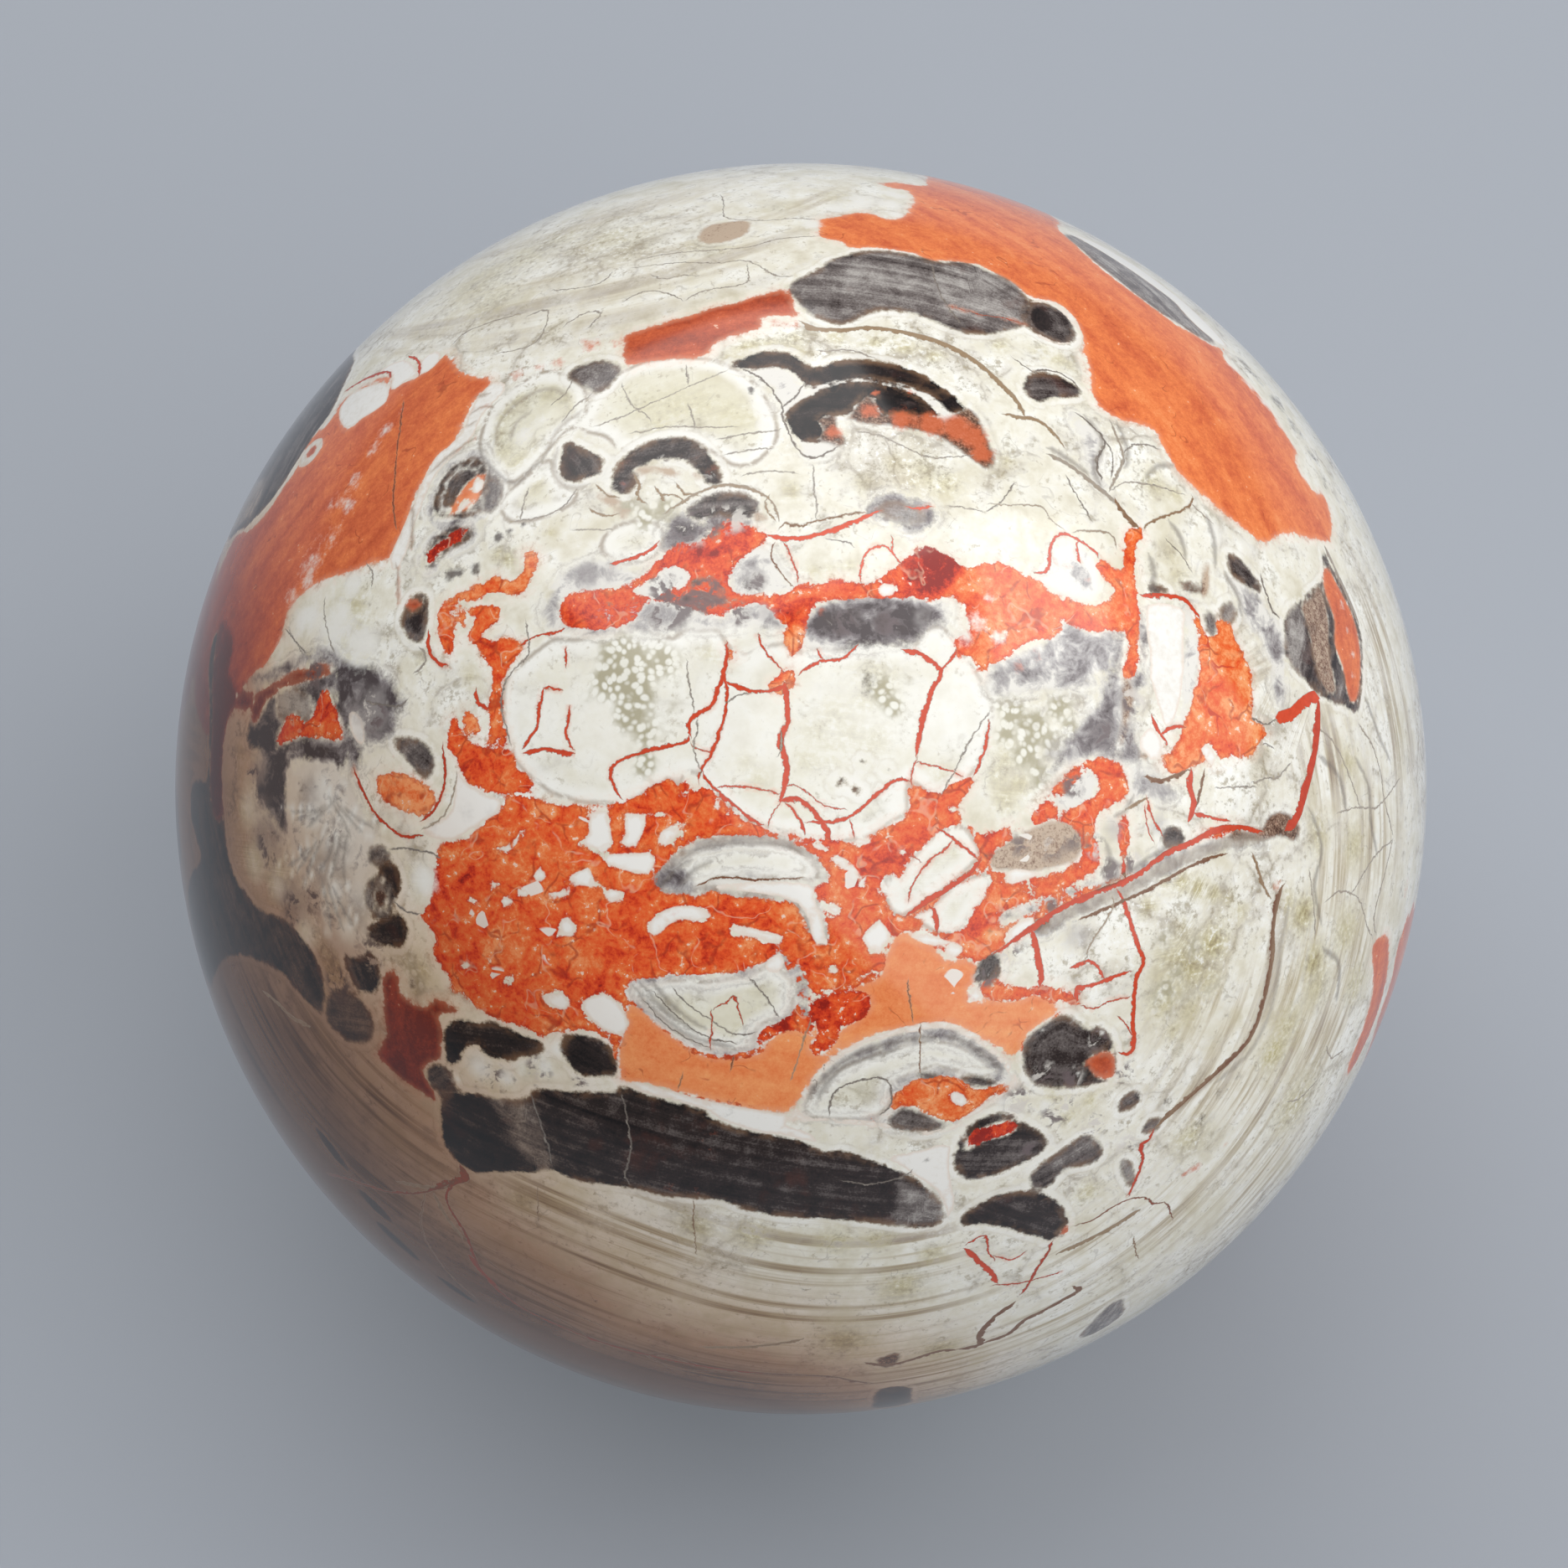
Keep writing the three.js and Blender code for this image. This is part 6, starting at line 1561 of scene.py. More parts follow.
# %% The rear: smoky lens, cracked lump, red and orange fields, dark bar
stone.chart = REAR
patch("rust", 0.6, weathered([-8, 22, -16, 24, -25, 19, -30, 9, -40, 3, -47, -7, -43, -17, -33, -20,
    -25, -14, -20, -5, -12, 1, -6, -1, -2, 6, -3, 13], 210))
splinters(-30, -8, 8, 5, 14, 5)
patch("smoke", 0.2, weathered([5, 19, 11, 24, 19, 25.5, 27, 23.5, 33, 19, 34.5, 13.5, 29, 10.8, 22, 12.6,
    16, 11.4, 10, 12.8, 5.5, 15.4], 211, 0.4), grain=-4, bend=0.01)
patch("rust", 0.42, weathered([-2, 30, 6, 32, 14, 31, 20, 29, 19, 27, 10, 26.5, 4, 24, -2, 24.5], 212, 0.5))
patch("red", 0.6, weathered([-9, -5, 0, -8, 8, -11, 18, -12, 27, -9, 32, -3, 36, 3, 41, 1, 39, -8, 33, -14,
    24, -18, 14, -19.5, 4, -17, -4, -14.5, -11, -12], 213))
stain("motley", 0.9, [2, -12, 4, 12, -15, 4, 22, -14, 4, 33, -8, 3])
ringed(17, -15, 4, 1.6, -4, 12, ((0, "chalcedony", 0.3),))
lump(14, 0.5, 17, 8.2, 4, 21, 12)
lump(-9, -22, 7, 4.4, 20, 24, 7)
patch("red", 0.72, weathered([-24, -24, -15, -27, -6, -28.5, 2, -22, 12, -23, 24, -24.5, 31, -29, 27, -35,
    14, -38.5, 0, -37, -12, -36, -22, -32], 214))
patch("rust", 0.95, weathered([
    -20, -31, -12, -32, 0, -34, 12, -35, 26, -34, 22, -37.4, 10, -38.6, -2, -37.2, -14, -35.8], 215, 0.4))
splinters(4, -29, 9, 2.6, 26, 31)
stain("shards", 0.5, [-10, -29, 4, 8, -27, 4, 20, -29, 4])
ringed(8, -29.5, 5, 2.4, -8, 33, ((0, "chalcedony", 0.6), (0.4, "white", 0.5), (1.1, "red", 0.95)))
ringed(-12, -31.5, 3.6, 1.8, 12, 34, ((0, "smoke", 0.6), (0.5, "white", 0.6)))
patch("smoke", 0.1, weathered([-35, -36, -28, -33.4, -21, -35.2, -8, -39, 8, -40.6, 20, -41.4, 29, -45,
    25, -48.6, 12, -47.6, -4, -46.4, -18, -43.4, -30, -41.6], 216, 0.5), grain=-6)
splinters(2, -39.6, 14, 0.6, 18, 36, size=1.1)
for x, y, half_long, half_short, turned, seed in (
        (-34, -28, 3.4, 2.2, 30, 41), (-40, -23, 2.2, 1.6, 60, 42), (-28, -25, 1.8, 1.3, 10, 43),
        (36, -22, 3.2, 2, -30, 44), (42, -28, 2.4, 1.4, -50, 45), (37.5, 12, 2.6, 2, 30, 11),
        (44, 20, 3.4, 2.2, 70, 47), (30, -18, 1.6, 1, 0, 48)):
    ringed(x, y, half_long, half_short, turned, seed)
ringed(46, 4, 7, 4.2, 80, 51, (
    (0, "white", 0.6), (0.5, "chalcedony", 0.4), (1.6, "white", 0.5), (2.8, "red", 0.85)))
stain("bands", 0.8, [10, 42, 10, 30, 36, 9, -6, 44, 9, -24, 40, 8, 44, 32, 8])
stain("olive", 0.7, [24, 32, 3, -14, 10, 2, 40, -4, 3, -6, 38, 2.4, 6, 38, 2])
stone.report("rear")

# %% Both sides: a cracked lump each, fields of red and bars of smoke
for chart, fields, bars, lumps, seeds in (
        (LEFT,
         [[-36, 6, -30, 9, -26, 6, -20, 6, -14, 8, -10, 4, -16, 0, -26, -2, -34, 0]],
         [[-40, -8, -34, -5, -26, -6, -16, -8, -8, -12, -10, -16, -20, -14.6, -30, -13.6, -38, -13]],
         [(-22, 14, 9, 6, -20)], 61),
        (RIGHT,
         [[6, 2, 12, 6, 19, 7, 22, 3, 20, -4, 14, -6, 8, -4],
          [26, -4, 34, -2, 42, -6, 44, -12, 38, -10, 30, -8]],
         [[8, 17, 16, 20, 24, 19.5, 31, 16, 27, 13, 18, 14.4, 11, 13.5]],
         [(31, 6, 8, 5.4, 60), (14, -14, 9, 4.6, 10)], 81)):
    stone.chart = chart
    for number, flat in enumerate(fields):
        patch("red", 0.68 + 0.1 * number, weathered(flat, seeds + number))
        splinters(flat[0] + 10, flat[1] - 1, 4, 1.6, 10, seeds + 4 + number)
    for flat in bars:
        patch("smoke", 0.14, weathered(flat, seeds + 2, 0.4), grain=-8)
    for x, y, half_long, half_short, turned in lumps:
        lump(x, y, half_long, half_short, turned, seeds + 3, 7)
stain("bands", 0.8, [30, 30, 8, 40, 20, 8, 10, 30, 6, 0, -28, 12, -20, -24, 10, 20, -34, 10])
stain("olive", 0.8, [-8, -16, 3, 4, -22, 2.4, 16, -26, 3, -20, 8, 3, 8, 14, 2, -14, 20, 2.4])
# A brown stain low on the right side: partly browner stone, partly painted shade towards the bottom.
stain("browning_and_shade", 0.6, [0, -44, 14, 20, -46, 12, -24, -40, 12])
vein(0.5, 0.4, [-14, -26, -2, -25, 8, -27, 18, -26, 28, -29, 38, -30])
stone.chart = LEFT
stain("shards", 0.3, [14, 10, 5, 6, 2, 5, -2, 12, 4, 10, 22, 4])
stain("web", 0.5, [8, 8, 5, 0, -2, 4, 14, 18, 4])
stain("blush", 0.5, [20, 8, 1.4, -8, 8, 1.2, 22, 20, 1.2])
patch("smoke", 0.2, weathered([10, -27, 17, -29, 26, -32, 35, -35, 33, -38.5, 22, -37.5, 13, -34.6, 7, -31],
    64, 0.4), grain=14)
lump(28, -20, 7.6, 4.6, -22, 65, 7)
ringed(16, -20.5, 2.6, 1.7, 30, 66, ((0, "chalcedony", 0.5), (0.6, "smoke", 0.3)))
ringed(38.5, -29, 3, 1.9, -30, 67)
ringed(3, -27, 3.4, 2.2, 12, 68, ((0, "white", 0.6), (0.5, "red", 0.7), (1.2, "white", 0.5)))
stain("bands", 1, [20, -12, 7, 34, -12, 8, 42, -20, 7, 20, -26, 7, 34, -27, 7, 4, -36, 8])
stain("milk", 0.9, [24.4, -18, 3.4, 28.5, -20, 3.8, 32.4, -21.8, 3])
vein(0.9, 0.5, [12, -24, 18, -23, 24, -26, 32, -26.5, 40, -24])
stone.report("left and right sides")

# %% The underside: bedding round the rest spot, a red field, a rust shoulder, a dark lens and brown seams
stone.chart = UNDER
stain("bands", 1, [0, 0, 30, 24, 20, 14, -24, 20, 14, -24, -20, 14, 24, -20, 14])
# A brown stain on the underside: partly browner stone, partly painted shade.
stain("browning_and_shade", 0.6, [-24, 6, 14, -10, 30, 12, 4, -6, 10])
patch("rust", 0.6, weathered([14, 8, 22, 4, 31, 5, 38, 12, 36, 20, 28, 26, 19, 24, 15, 16], 218))
patch("red", 0.7, weathered([4, -17, 12, -13, 21, -14, 29, -9, 34, -12, 32, -20, 24, -24, 15, -22, 7, -24],
    219))
splinters(16, -18, 8, 3, 16, 220)
lump(-7, -27, 9, 5.4, 24, 92, 9)
patch("smoke", 0.16, weathered([-36, -12, -30, -4, -22, 1, -14, 2.6, -10, 0, -14, -5, -22, -8, -28, -15,
    -33, -17], 217, 0.4), grain=30)
for x, y, half_long, half_short, turned, seed in (
        (-16, -13, 3.4, 2.2, 50, 93), (-21, -17, 2.2, 1.5, 10, 94), (0, -12, 2.4, 1.7, -30, 95),
        (8, 22, 3, 2, 60, 96)):
    ringed(x, y, half_long, half_short, turned, seed)
ringed(-18, 20, 6, 3.2, 30, 91, ((0, "white", 0.6), (0.5, "chalcedony", 0.4), (1.5, "red", 0.8)))
for flat in (
        [-34, 26, -22, 28, -10, 25, 2, 29, 14, 33], [10, -30, 16, -27, 24, -29, 32, -26],
        [-12, 8, -20, 12, -26, 11, -32, 15], [4, 3, 10, 0, 18, -2]):
    vein(0.5, 0.4, flat)
stone.report("underside")

# %% [markdown]
# ## Store the memory on the mesh
#
# Numbers that belong together travel as one vector attribute, so the material reads few of them.

# %% Write the attributes
def keep(name, *columns):
    attribute = stone_mesh.attributes.new(name, "FLOAT_VECTOR", "POINT")
    attribute.data.foreach_set("vector", np.stack(columns, axis=1).astype(np.float32).ravel())


for mineral in MINERALS:
    keep(mineral, stone.depth[mineral], stone.tone[mineral], stone.grain[mineral])
for start in range(0, len(STAINS), 3):
    keep("stains_" + str(start // 3), *(stone.stains[kind] for kind in STAINS[start:start + 3]))
keep("bedding", stone.bed, stone.lump, stone.bed * 0)
used_layers = [layer for layer in range(VEIN_LAYERS) if stone.taken[layer].any()]
for layer in used_layers:
    keep("vein_" + str(layer), *stone.veins[layer].T)
print(len(stone_mesh.attributes), "attributes,", len(used_layers), "vein layers")

# %% [markdown]
# ## Writing a material as sums
#
# A material is a graph of nodes, and a graph of a hundred nodes is hard to read. Here a small class wraps a
# node's output so that ordinary arithmetic builds the Math nodes: `1 - depth * 2` makes two of them.

# %% Values that vary over the surface
class Varying:
    """A node's output. Arithmetic on it adds Math nodes and gives a new Varying."""

    def __init__(self, recipe, socket):
        self.recipe = recipe
        self.socket = socket

    def maths(self, operation, first, second=0.0):
        return self.recipe.node("ShaderNodeMath", {"operation": operation}, {0: first, 1: second})

    def __add__(self, other):
        return self.maths("ADD", self, other)

    def __radd__(self, other):
        return self.maths("ADD", other, self)

    def __sub__(self, other):
        return self.maths("SUBTRACT", self, other)

    def __rsub__(self, other):
        return self.maths("SUBTRACT", other, self)

    def __mul__(self, other):
        return self.maths("MULTIPLY", self, other)

    def __rmul__(self, other):
        return self.maths("MULTIPLY", other, self)

    def __truediv__(self, other):
        return self.maths("DIVIDE", self, other)

    def __neg__(self):
        return self.maths("MULTIPLY", self, -1.0)

    def __abs__(self):
        return self.maths("ABSOLUTE", self)

    def at_least(self, other):
        return self.maths("MAXIMUM", self, other)


class Recipe:
    """One material in the making."""

    def __init__(self, name):
        self.material = bpy.data.materials.new(name)
        self.material.use_nodes = True
        self.tree = self.material.node_tree
        self.tree.nodes.clear()

    def node(self, kind, settings=None, inputs=None, output=0):
        """Adds a node: first its settings, or its ramp's stops, then the values or links of its sockets."""
        made = self.tree.nodes.new(kind)
        for name, value in (settings or {}).items():
            if name == "stops":
                set_stops(made.color_ramp, value)
            else:
                setattr(made, name, value)
        for name, value in (inputs or {}).items():
            if isinstance(value, Varying):
                self.tree.links.new(value.socket, made.inputs[name])
            else:
                made.inputs[name].default_value = value
        return Varying(self, made.outputs[output]) if made.outputs else None

    def smooth(self, low, high, value):
        """0 below low, 1 above high, and an S-curve between."""
        inputs = {"Value": value, "From Min": low, "From Max": high}
        return self.node("ShaderNodeMapRange", {"interpolation_type": "SMOOTHSTEP"}, inputs)

    def mix(self, share, first, second, blend="MIX"):
        """The first colour, and as share grows to 1 the second, or their product if the blend says so."""
        settings = {"data_type": "RGBA", "clamp_factor": True, "blend_type": blend}
        return self.node("ShaderNodeMix", settings, {0: share, 6: first, 7: second}, 2)

    def ramp(self, value, stops):
        return self.node("ShaderNodeValToRGB", {"stops": stops}, {"Fac": value})

    def vector(self, operation, first, second=None, scale=None, output=0):
        inputs = {0: first}
        if second is not None:
            inputs[1] = second
        if scale is not None:
            inputs["Scale"] = scale
        return self.node("ShaderNodeVectorMath", {"operation": operation}, inputs, output)

    def noise(self, where, scale, detail=2.0, rough=0.5, output=0):
        inputs = {"Vector": where, "Scale": scale, "Detail": detail, "Roughness": rough}
        return self.node("ShaderNodeTexNoise", {}, inputs, output)

    def cells(self, where, scale, feature="F1", output="Distance", random=1.0):
        inputs = {"Vector": where, "Scale": scale, "Randomness": random}
        return self.node("ShaderNodeTexVoronoi", {"feature": feature}, inputs, output)

    def stored(self, name):
        """The three numbers of a stored attribute."""
        vector = self.node("ShaderNodeAttribute", {"attribute_name": name}, {}, "Vector")
        parts = self.node("ShaderNodeSeparateXYZ", {}, {0: vector}, 0)
        return [Varying(self, output) for output in parts.socket.node.outputs]


def set_stops(color_ramp, stops):
    """Stops are (place, colour) pairs from 0 to 1."""
    while len(color_ramp.elements) < len(stops):
        color_ramp.elements.new(1.0)
    for element, (place_on_ramp, colour) in zip(color_ramp.elements, stops):
        element.position = place_on_ramp
        element.color = colour


def colour(red, green, blue):
    """A colour as a screen gives it, 0 to 255, made the light it stands for."""
    light = [value / 255 / 12.92 if value < 11 else ((value / 255 + 0.055) / 1.055) ** 2.4
             for value in (red, green, blue)]
    return (*light, 1.0)


print("ivory as light:", [round(value, 3) for value in colour(228, 224, 212)])

# %% [markdown]
# ## The stone's material
#
# Every finish below is one function that gives a colour. They share a few noises, which is what makes their
# edges fit: the same noise moves the edge of the rust and of the ivory that it meets.

# %% Shared noises
agate = Recipe("polished_agate")
object_place = agate.node("ShaderNodeTexCoord", {}, {}, "Object")
where = agate.vector("SCALE", object_place, scale=1 / MILLIMETRE)
broad = agate.noise(where, 0.09, 2.0, 0.55)
middle = agate.noise(where, 0.55, 3.0, 0.6)
small = agate.noise(where, 2.3, 3.0, 0.6)
grains = agate.noise(where, 7.0, 2.0, 0.6)
wander = agate.vector("SUBTRACT", agate.noise(where, 0.35, 2.0, 0.6, "Color"), (0.5, 0.5, 0.5))
bent = agate.vector("ADD", where, agate.vector("SCALE", wander, scale=3.0))
cloudy = agate.noise(bent, 0.62, 4.0, 0.64)
thready = agate.noise(bent, 0.24, 2.0, 0.5)
ragged = (middle - 0.5) * 0.9 + (small - 0.5) * 0.6 + (grains - 0.5) * 0.25
smoky, olive, blush = agate.stored("stains_0")
milk, beads, shards = agate.stored("stains_1")
web, bands, clean = agate.stored("stains_2")
motley, browning_and_shade, haze = agate.stored("stains_3")
print(len(agate.tree.nodes), "nodes")


# %% A stretched noise for anything that is laid down in bands
def bands_noise(recipe, across, fine, slow, detail):
    """A noise that changes fast across the bands and slowly along them."""
    along = recipe.vector("SCALE", where, scale=slow)
    step = recipe.node("ShaderNodeCombineXYZ", {}, {"X": across * fine})
    return recipe.noise(recipe.vector("ADD", along, step), 1.0, detail, 0.62)


# %% Ivory, with its bands, streaks and grey wisps
def ivory_ground(recipe):
    """Cream clouds, tan bands along the bedding, ochre streaks, and hairs where a noise passes a height."""
    bed, lump, _ = recipe.stored("bedding")
    rubble = (1 - clean) * (1 - bands) * recipe.smooth(0.44, 0.60, broad * 0.6 + middle * 0.4)
    base = recipe.ramp(broad * 0.3 + middle * 0.45 + cloudy * 0.25, [
        (0.34, colour(214, 206, 184)), (0.45, colour(235, 230, 214)), (0.56, colour(248, 246, 238))])
    streak = bands_noise(recipe, bed, 0.9, 0.06, 6.0)
    tan = recipe.ramp(streak, [
        (0.34, colour(128, 100, 74)), (0.45, colour(190, 174, 144)), (0.56, colour(234, 228, 214))])
    base = recipe.mix(bands * recipe.smooth(0.60, 0.42, streak), base, tan)
    ochre = recipe.ramp(streak * 0.6 + small * 0.4, [
        (0.36, colour(236, 232, 214)), (0.48, colour(206, 196, 152)), (0.62, colour(150, 132, 88))])
    base = recipe.mix(olive * recipe.smooth(0.34, 0.50, streak * 0.5 + small * 0.5), base, ochre)
    base = recipe.mix(recipe.smooth(0.55, 0.74, cloudy) * rubble * 0.6, base, colour(188, 180, 166))
    base = recipe.mix(recipe.smooth(0.52, 0.72, thready) * (1 - clean) * 0.4, base, colour(206, 196, 164))
    lump_edge = recipe.cells(bent, 0.17, "DISTANCE_TO_EDGE")
    base = recipe.mix(recipe.smooth(0.16, 0.0, lump_edge) * rubble * 0.5, base, colour(176, 162, 138))
    base = recipe.mix(recipe.smooth(0.03, 0.008, lump_edge) * rubble * 0.3, base, colour(116, 98, 82))
    hair = recipe.smooth(0.007, 0.002, abs(thready - 0.56)) * recipe.smooth(0.46, 0.62, middle)
    base = recipe.mix(hair * (1 - clean * 0.7) * 0.3, base, colour(132, 118, 104))
    crumb = small * 0.55 + middle * 0.25 + grains * 0.2
    base = recipe.mix(recipe.smooth(0.51, 0.60, crumb) * rubble * 0.55, base, colour(158, 146, 122))
    base = recipe.mix(recipe.smooth(0.47, 0.38, crumb) * rubble * 0.8, base, colour(251, 250, 245))
    heart = recipe.smooth(0.4, 1.8, lump)
    base = recipe.mix(heart * (1 - clean) * 0.45, base, colour(228, 223, 198))
    base = recipe.mix(recipe.smooth(0.9, 0.1, abs(lump - 0.35)) * 0.75, base, colour(249, 247, 240))
    outline = recipe.smooth(0.30, 0.0, abs(lump + ragged * 0.3)) * recipe.smooth(0.38, 0.52, cloudy)
    base = recipe.mix(outline * 0.7, base, colour(146, 126, 104))
    base = recipe.mix(clean * 0.55, base, colour(246, 244, 236))
    fleck = recipe.smooth(0.58, 0.70, small) * recipe.smooth(0.42, 0.55, middle) * (1 - clean * 0.6)
    return recipe.mix(fleck * 0.5, base, colour(172, 158, 130))


# %% Rust jasper
def rust_jasper(recipe, depth, tone, grain):
    """Brick to orange by the patch's tone, in soft clouds that are drawn out along the patch."""
    flow = bands_noise(recipe, grain, 0.45, 0.12, 4.0)
    light = tone * 0.6 + (cloudy - 0.5) * 0.35 + (flow - 0.5) * 0.5
    light = light + (small - 0.5) * 0.25 + (grains - 0.5) * 0.2 + 0.2
    base = recipe.ramp(light, [
        (0.2, colour(132, 50, 30)), (0.38, colour(184, 78, 44)), (0.53, colour(212, 102, 60)),
        (0.68, colour(236, 130, 74)), (0.9, colour(248, 166, 106))])
    thread = recipe.smooth(0.010, 0.002, abs(thready - 0.5)) * recipe.smooth(0.50, 0.62, middle)
    base = recipe.mix(thread * 0.5, base, colour(148, 50, 30))
    chip = recipe.smooth(0.67, 0.70, small) * recipe.smooth(0.54, 0.62, cloudy)
    base = recipe.mix(chip * 0.7, base, colour(240, 208, 182))
    return recipe.mix(recipe.smooth(0.5, 0.0, depth) * 0.35, base, colour(236, 170, 136))


# %% Smoky quartz lenses
def smoky_lens(recipe, depth, tone, grain):
    """Dark bands along the lens, a reddish cloud here and there, and a tan rim. It also gives the bands."""
    stria = bands_noise(recipe, grain, 1.6, 0.12, 4.0)
    light = stria * 0.62 + (cloudy - 0.5) * 0.6 + (grains - 0.5) * 0.3 + tone * 0.75 + 0.04
    body = recipe.ramp(light, [
        (0.28, colour(20, 14, 14)), (0.48, colour(50, 39, 37)), (0.68, colour(112, 103, 100)),
        (0.95, colour(186, 180, 174))])
    reddish = recipe.smooth(0.55, 0.72, thready * 0.6 + middle * 0.4)
    body = recipe.mix(reddish * 0.5, body, colour(94, 50, 38))
    edge = recipe.smooth(0.6, 0.0, depth) * recipe.smooth(0.44, 0.60, middle * 0.5 + cloudy * 0.5)
    return recipe.mix(edge * 0.8, body, colour(124, 94, 70)), stria


# %% Grey chalcedony
def grey_chalcedony(recipe, depth, tone, _):
    """Grey clouds that turn milky towards the edge."""
    milky = recipe.smooth(0.9, 0.0, depth)
    light = cloudy * 1.1 + (small - 0.5) * 0.35 + (tone - 0.5) * 0.5 + milky * 0.14 - 0.05
    return recipe.ramp(light, [
        (0.28, colour(78, 68, 69)), (0.42, colour(126, 118, 119)), (0.56, colour(176, 171, 169)),
        (0.72, colour(232, 228, 220))])


# %% White splinters, red filling and brown crust
def white_splinter(recipe, depth, tone, _):
    """Milky white with a warm edge."""
    light = small * 0.4 + cloudy * 0.3 + tone * 0.45
    base = recipe.ramp(light, [
        (0.3, colour(202, 190, 176)), (0.46, colour(229, 223, 212)), (0.64, colour(244, 241, 235))])
    return recipe.mix(recipe.smooth(0.28, 0.0, depth) * 0.5, base, colour(222, 196, 172))


def red_filling(recipe, depth, tone, _):
    """Clouds from deep red to light orange, broken by dark joints, pale threads, chips and a red edge."""
    light = cloudy * 1.15 + (small - 0.5) * 0.6 + (grains - 0.5) * 0.25 + (tone - 0.5) * 0.62 - 0.1
    base = recipe.ramp(light, [
        (0.2, colour(146, 26, 12)), (0.34, colour(206, 54, 22)), (0.48, colour(232, 86, 36)),
        (0.64, colour(236, 116, 58)), (0.85, colour(246, 162, 106))])
    joint = recipe.smooth(0.06, 0.01, recipe.cells(bent, 0.42, "DISTANCE_TO_EDGE"))
    base = recipe.mix(joint * recipe.smooth(0.45, 0.6, middle) * 0.6, base, colour(160, 42, 22))
    base = recipe.mix(recipe.smooth(0.28, 0.0, depth) * 0.45, base, colour(178, 44, 20))
    thread = recipe.smooth(0.012, 0.002, abs(thready - 0.5)) * recipe.smooth(0.44, 0.56, middle)
    base = recipe.mix(thread * 0.4, base, colour(244, 200, 168))
    chip = recipe.smooth(0.62, 0.66, small) * recipe.smooth(0.50, 0.58, cloudy)
    return recipe.mix(chip * 0.8, base, colour(242, 222, 204))


def brown_crust(recipe, _, tone, __):
    """Brown grains with pale ones between."""
    light = middle * 0.2 + cloudy * 0.2 + (small - 0.5) * 0.7 + (grains - 0.5) * 0.8
    light = light + (tone - 0.5) * 0.6 + 0.26
    return recipe.ramp(light, [
        (0.2, colour(84, 58, 46)), (0.4, colour(140, 110, 92)), (0.65, colour(196, 174, 152))])


# %% Lay the finishes over each other
surface = ivory_ground(agate)

bead_cells = agate.cells(agate.vector("ADD", where, agate.vector("SCALE", wander, scale=0.9)), 1.9)
bead_share = agate.smooth(0.05, 0.7, beads + (middle - 0.5) * 1.2)
surface = agate.mix(bead_share * 0.6, surface, colour(238, 236, 224))
surface = agate.mix(bead_share * agate.smooth(0.30, 0.62, bead_cells) * 0.8, surface, colour(160, 150, 116))

lens_skin = [(0.0, colour(222, 214, 196)), (0.2, colour(206, 196, 176)), (0.4, colour(242, 239, 230)),
             (0.72, colour(247, 244, 237)), (0.9, colour(214, 204, 184)), (1.0, colour(160, 144, 122))]
rust_skin = [(0.0, colour(240, 230, 216)), (0.6, colour(244, 224, 206)), (1.0, colour(226, 156, 124))]
grey_skin = [(0.0, colour(230, 225, 214)), (0.45, colour(178, 170, 160)), (0.62, colour(240, 237, 228)),
             (1.0, colour(210, 205, 196))]
finishes = {  # the finish, its edge's raggedness and softness, and its skin's strength and colours
    "brown": (brown_crust, 0.6, 0.20, 0.3, grey_skin),
    "chalcedony": (grey_chalcedony, 1.3, 0.35, 0.5, grey_skin),
    "rust": (rust_jasper, 0.8, 0.10, 0.45, rust_skin),
    "smoke": (smoky_lens, 0.65, 0.10, 0.7, lens_skin),
    "red": (red_filling, 1.0, 0.06, 0.3, rust_skin),
    "white": (white_splinter, 0.4, 0.06, 0.0, None),
}
SKIN_REACH = 0.85
skin_room = agate.smooth(0.36, 0.58, middle * 0.6 + small * 0.4)
remembered = {mineral: agate.stored(mineral) for mineral in finishes}
for mineral, (_, raggedness, _, skin, skin_stops) in finishes.items():
    remembered[mineral][0] += ragged * raggedness
    if skin:
        depth = remembered[mineral][0]
        outward = agate.smooth(-SKIN_REACH, -SKIN_REACH * 0.6, depth) * skin_room
        surface = agate.mix(outward * skin, surface, agate.ramp(depth / SKIN_REACH + 1, skin_stops))
for mineral, (finish, _, softness, _, _) in finishes.items():
    depth, tone, grain = remembered[mineral]
    own = finish(agate, depth, tone, grain)
    if mineral == "smoke":
        own, stria = own
        depth = depth + (stria - 0.5) * 0.35 + 0.05
        softness = tone * 0.3 + softness
    surface = agate.mix(agate.smooth(-softness, softness, depth), surface, own)
print(len(agate.tree.nodes), "nodes")

# %% [markdown]
# ## What lies over the finishes
#
# Stains, fine splinters, webs of hair and veins lie over several minerals at once, so they come after
# them. A vein's line is where its distance is less than its half-width, and the shared noises move both,
# so no vein has a ruler's edge.

# %% Stains, splinters and veins on top
broken = ragged * 0.9
haze_share = agate.smooth(0.2, 0.9, haze + (middle - 0.5) * 1.2)
surface = agate.mix(haze_share * 0.65, surface, colour(174, 168, 166))
motley_share = agate.smooth(0.15, 0.55, motley + broken * 0.4)
mottle = cloudy + small * 0.2 - 0.1
surface = agate.mix(motley_share * agate.smooth(0.49, 0.60, mottle) * 0.9, surface, colour(108, 94, 95))
surface = agate.mix(motley_share * agate.smooth(0.45, 0.36, mottle) * 0.8, surface, colour(216, 209, 201))
surface = agate.mix(agate.smooth(0.3, 0.8, smoky + broken) * 0.85, surface, colour(78, 66, 64))
surface = agate.mix(agate.smooth(0.3, 0.8, blush + broken) * 0.8, surface, colour(214, 108, 68))
surface = agate.mix(agate.smooth(0.3, 0.8, milk + broken) * 0.9, surface, colour(240, 237, 229))

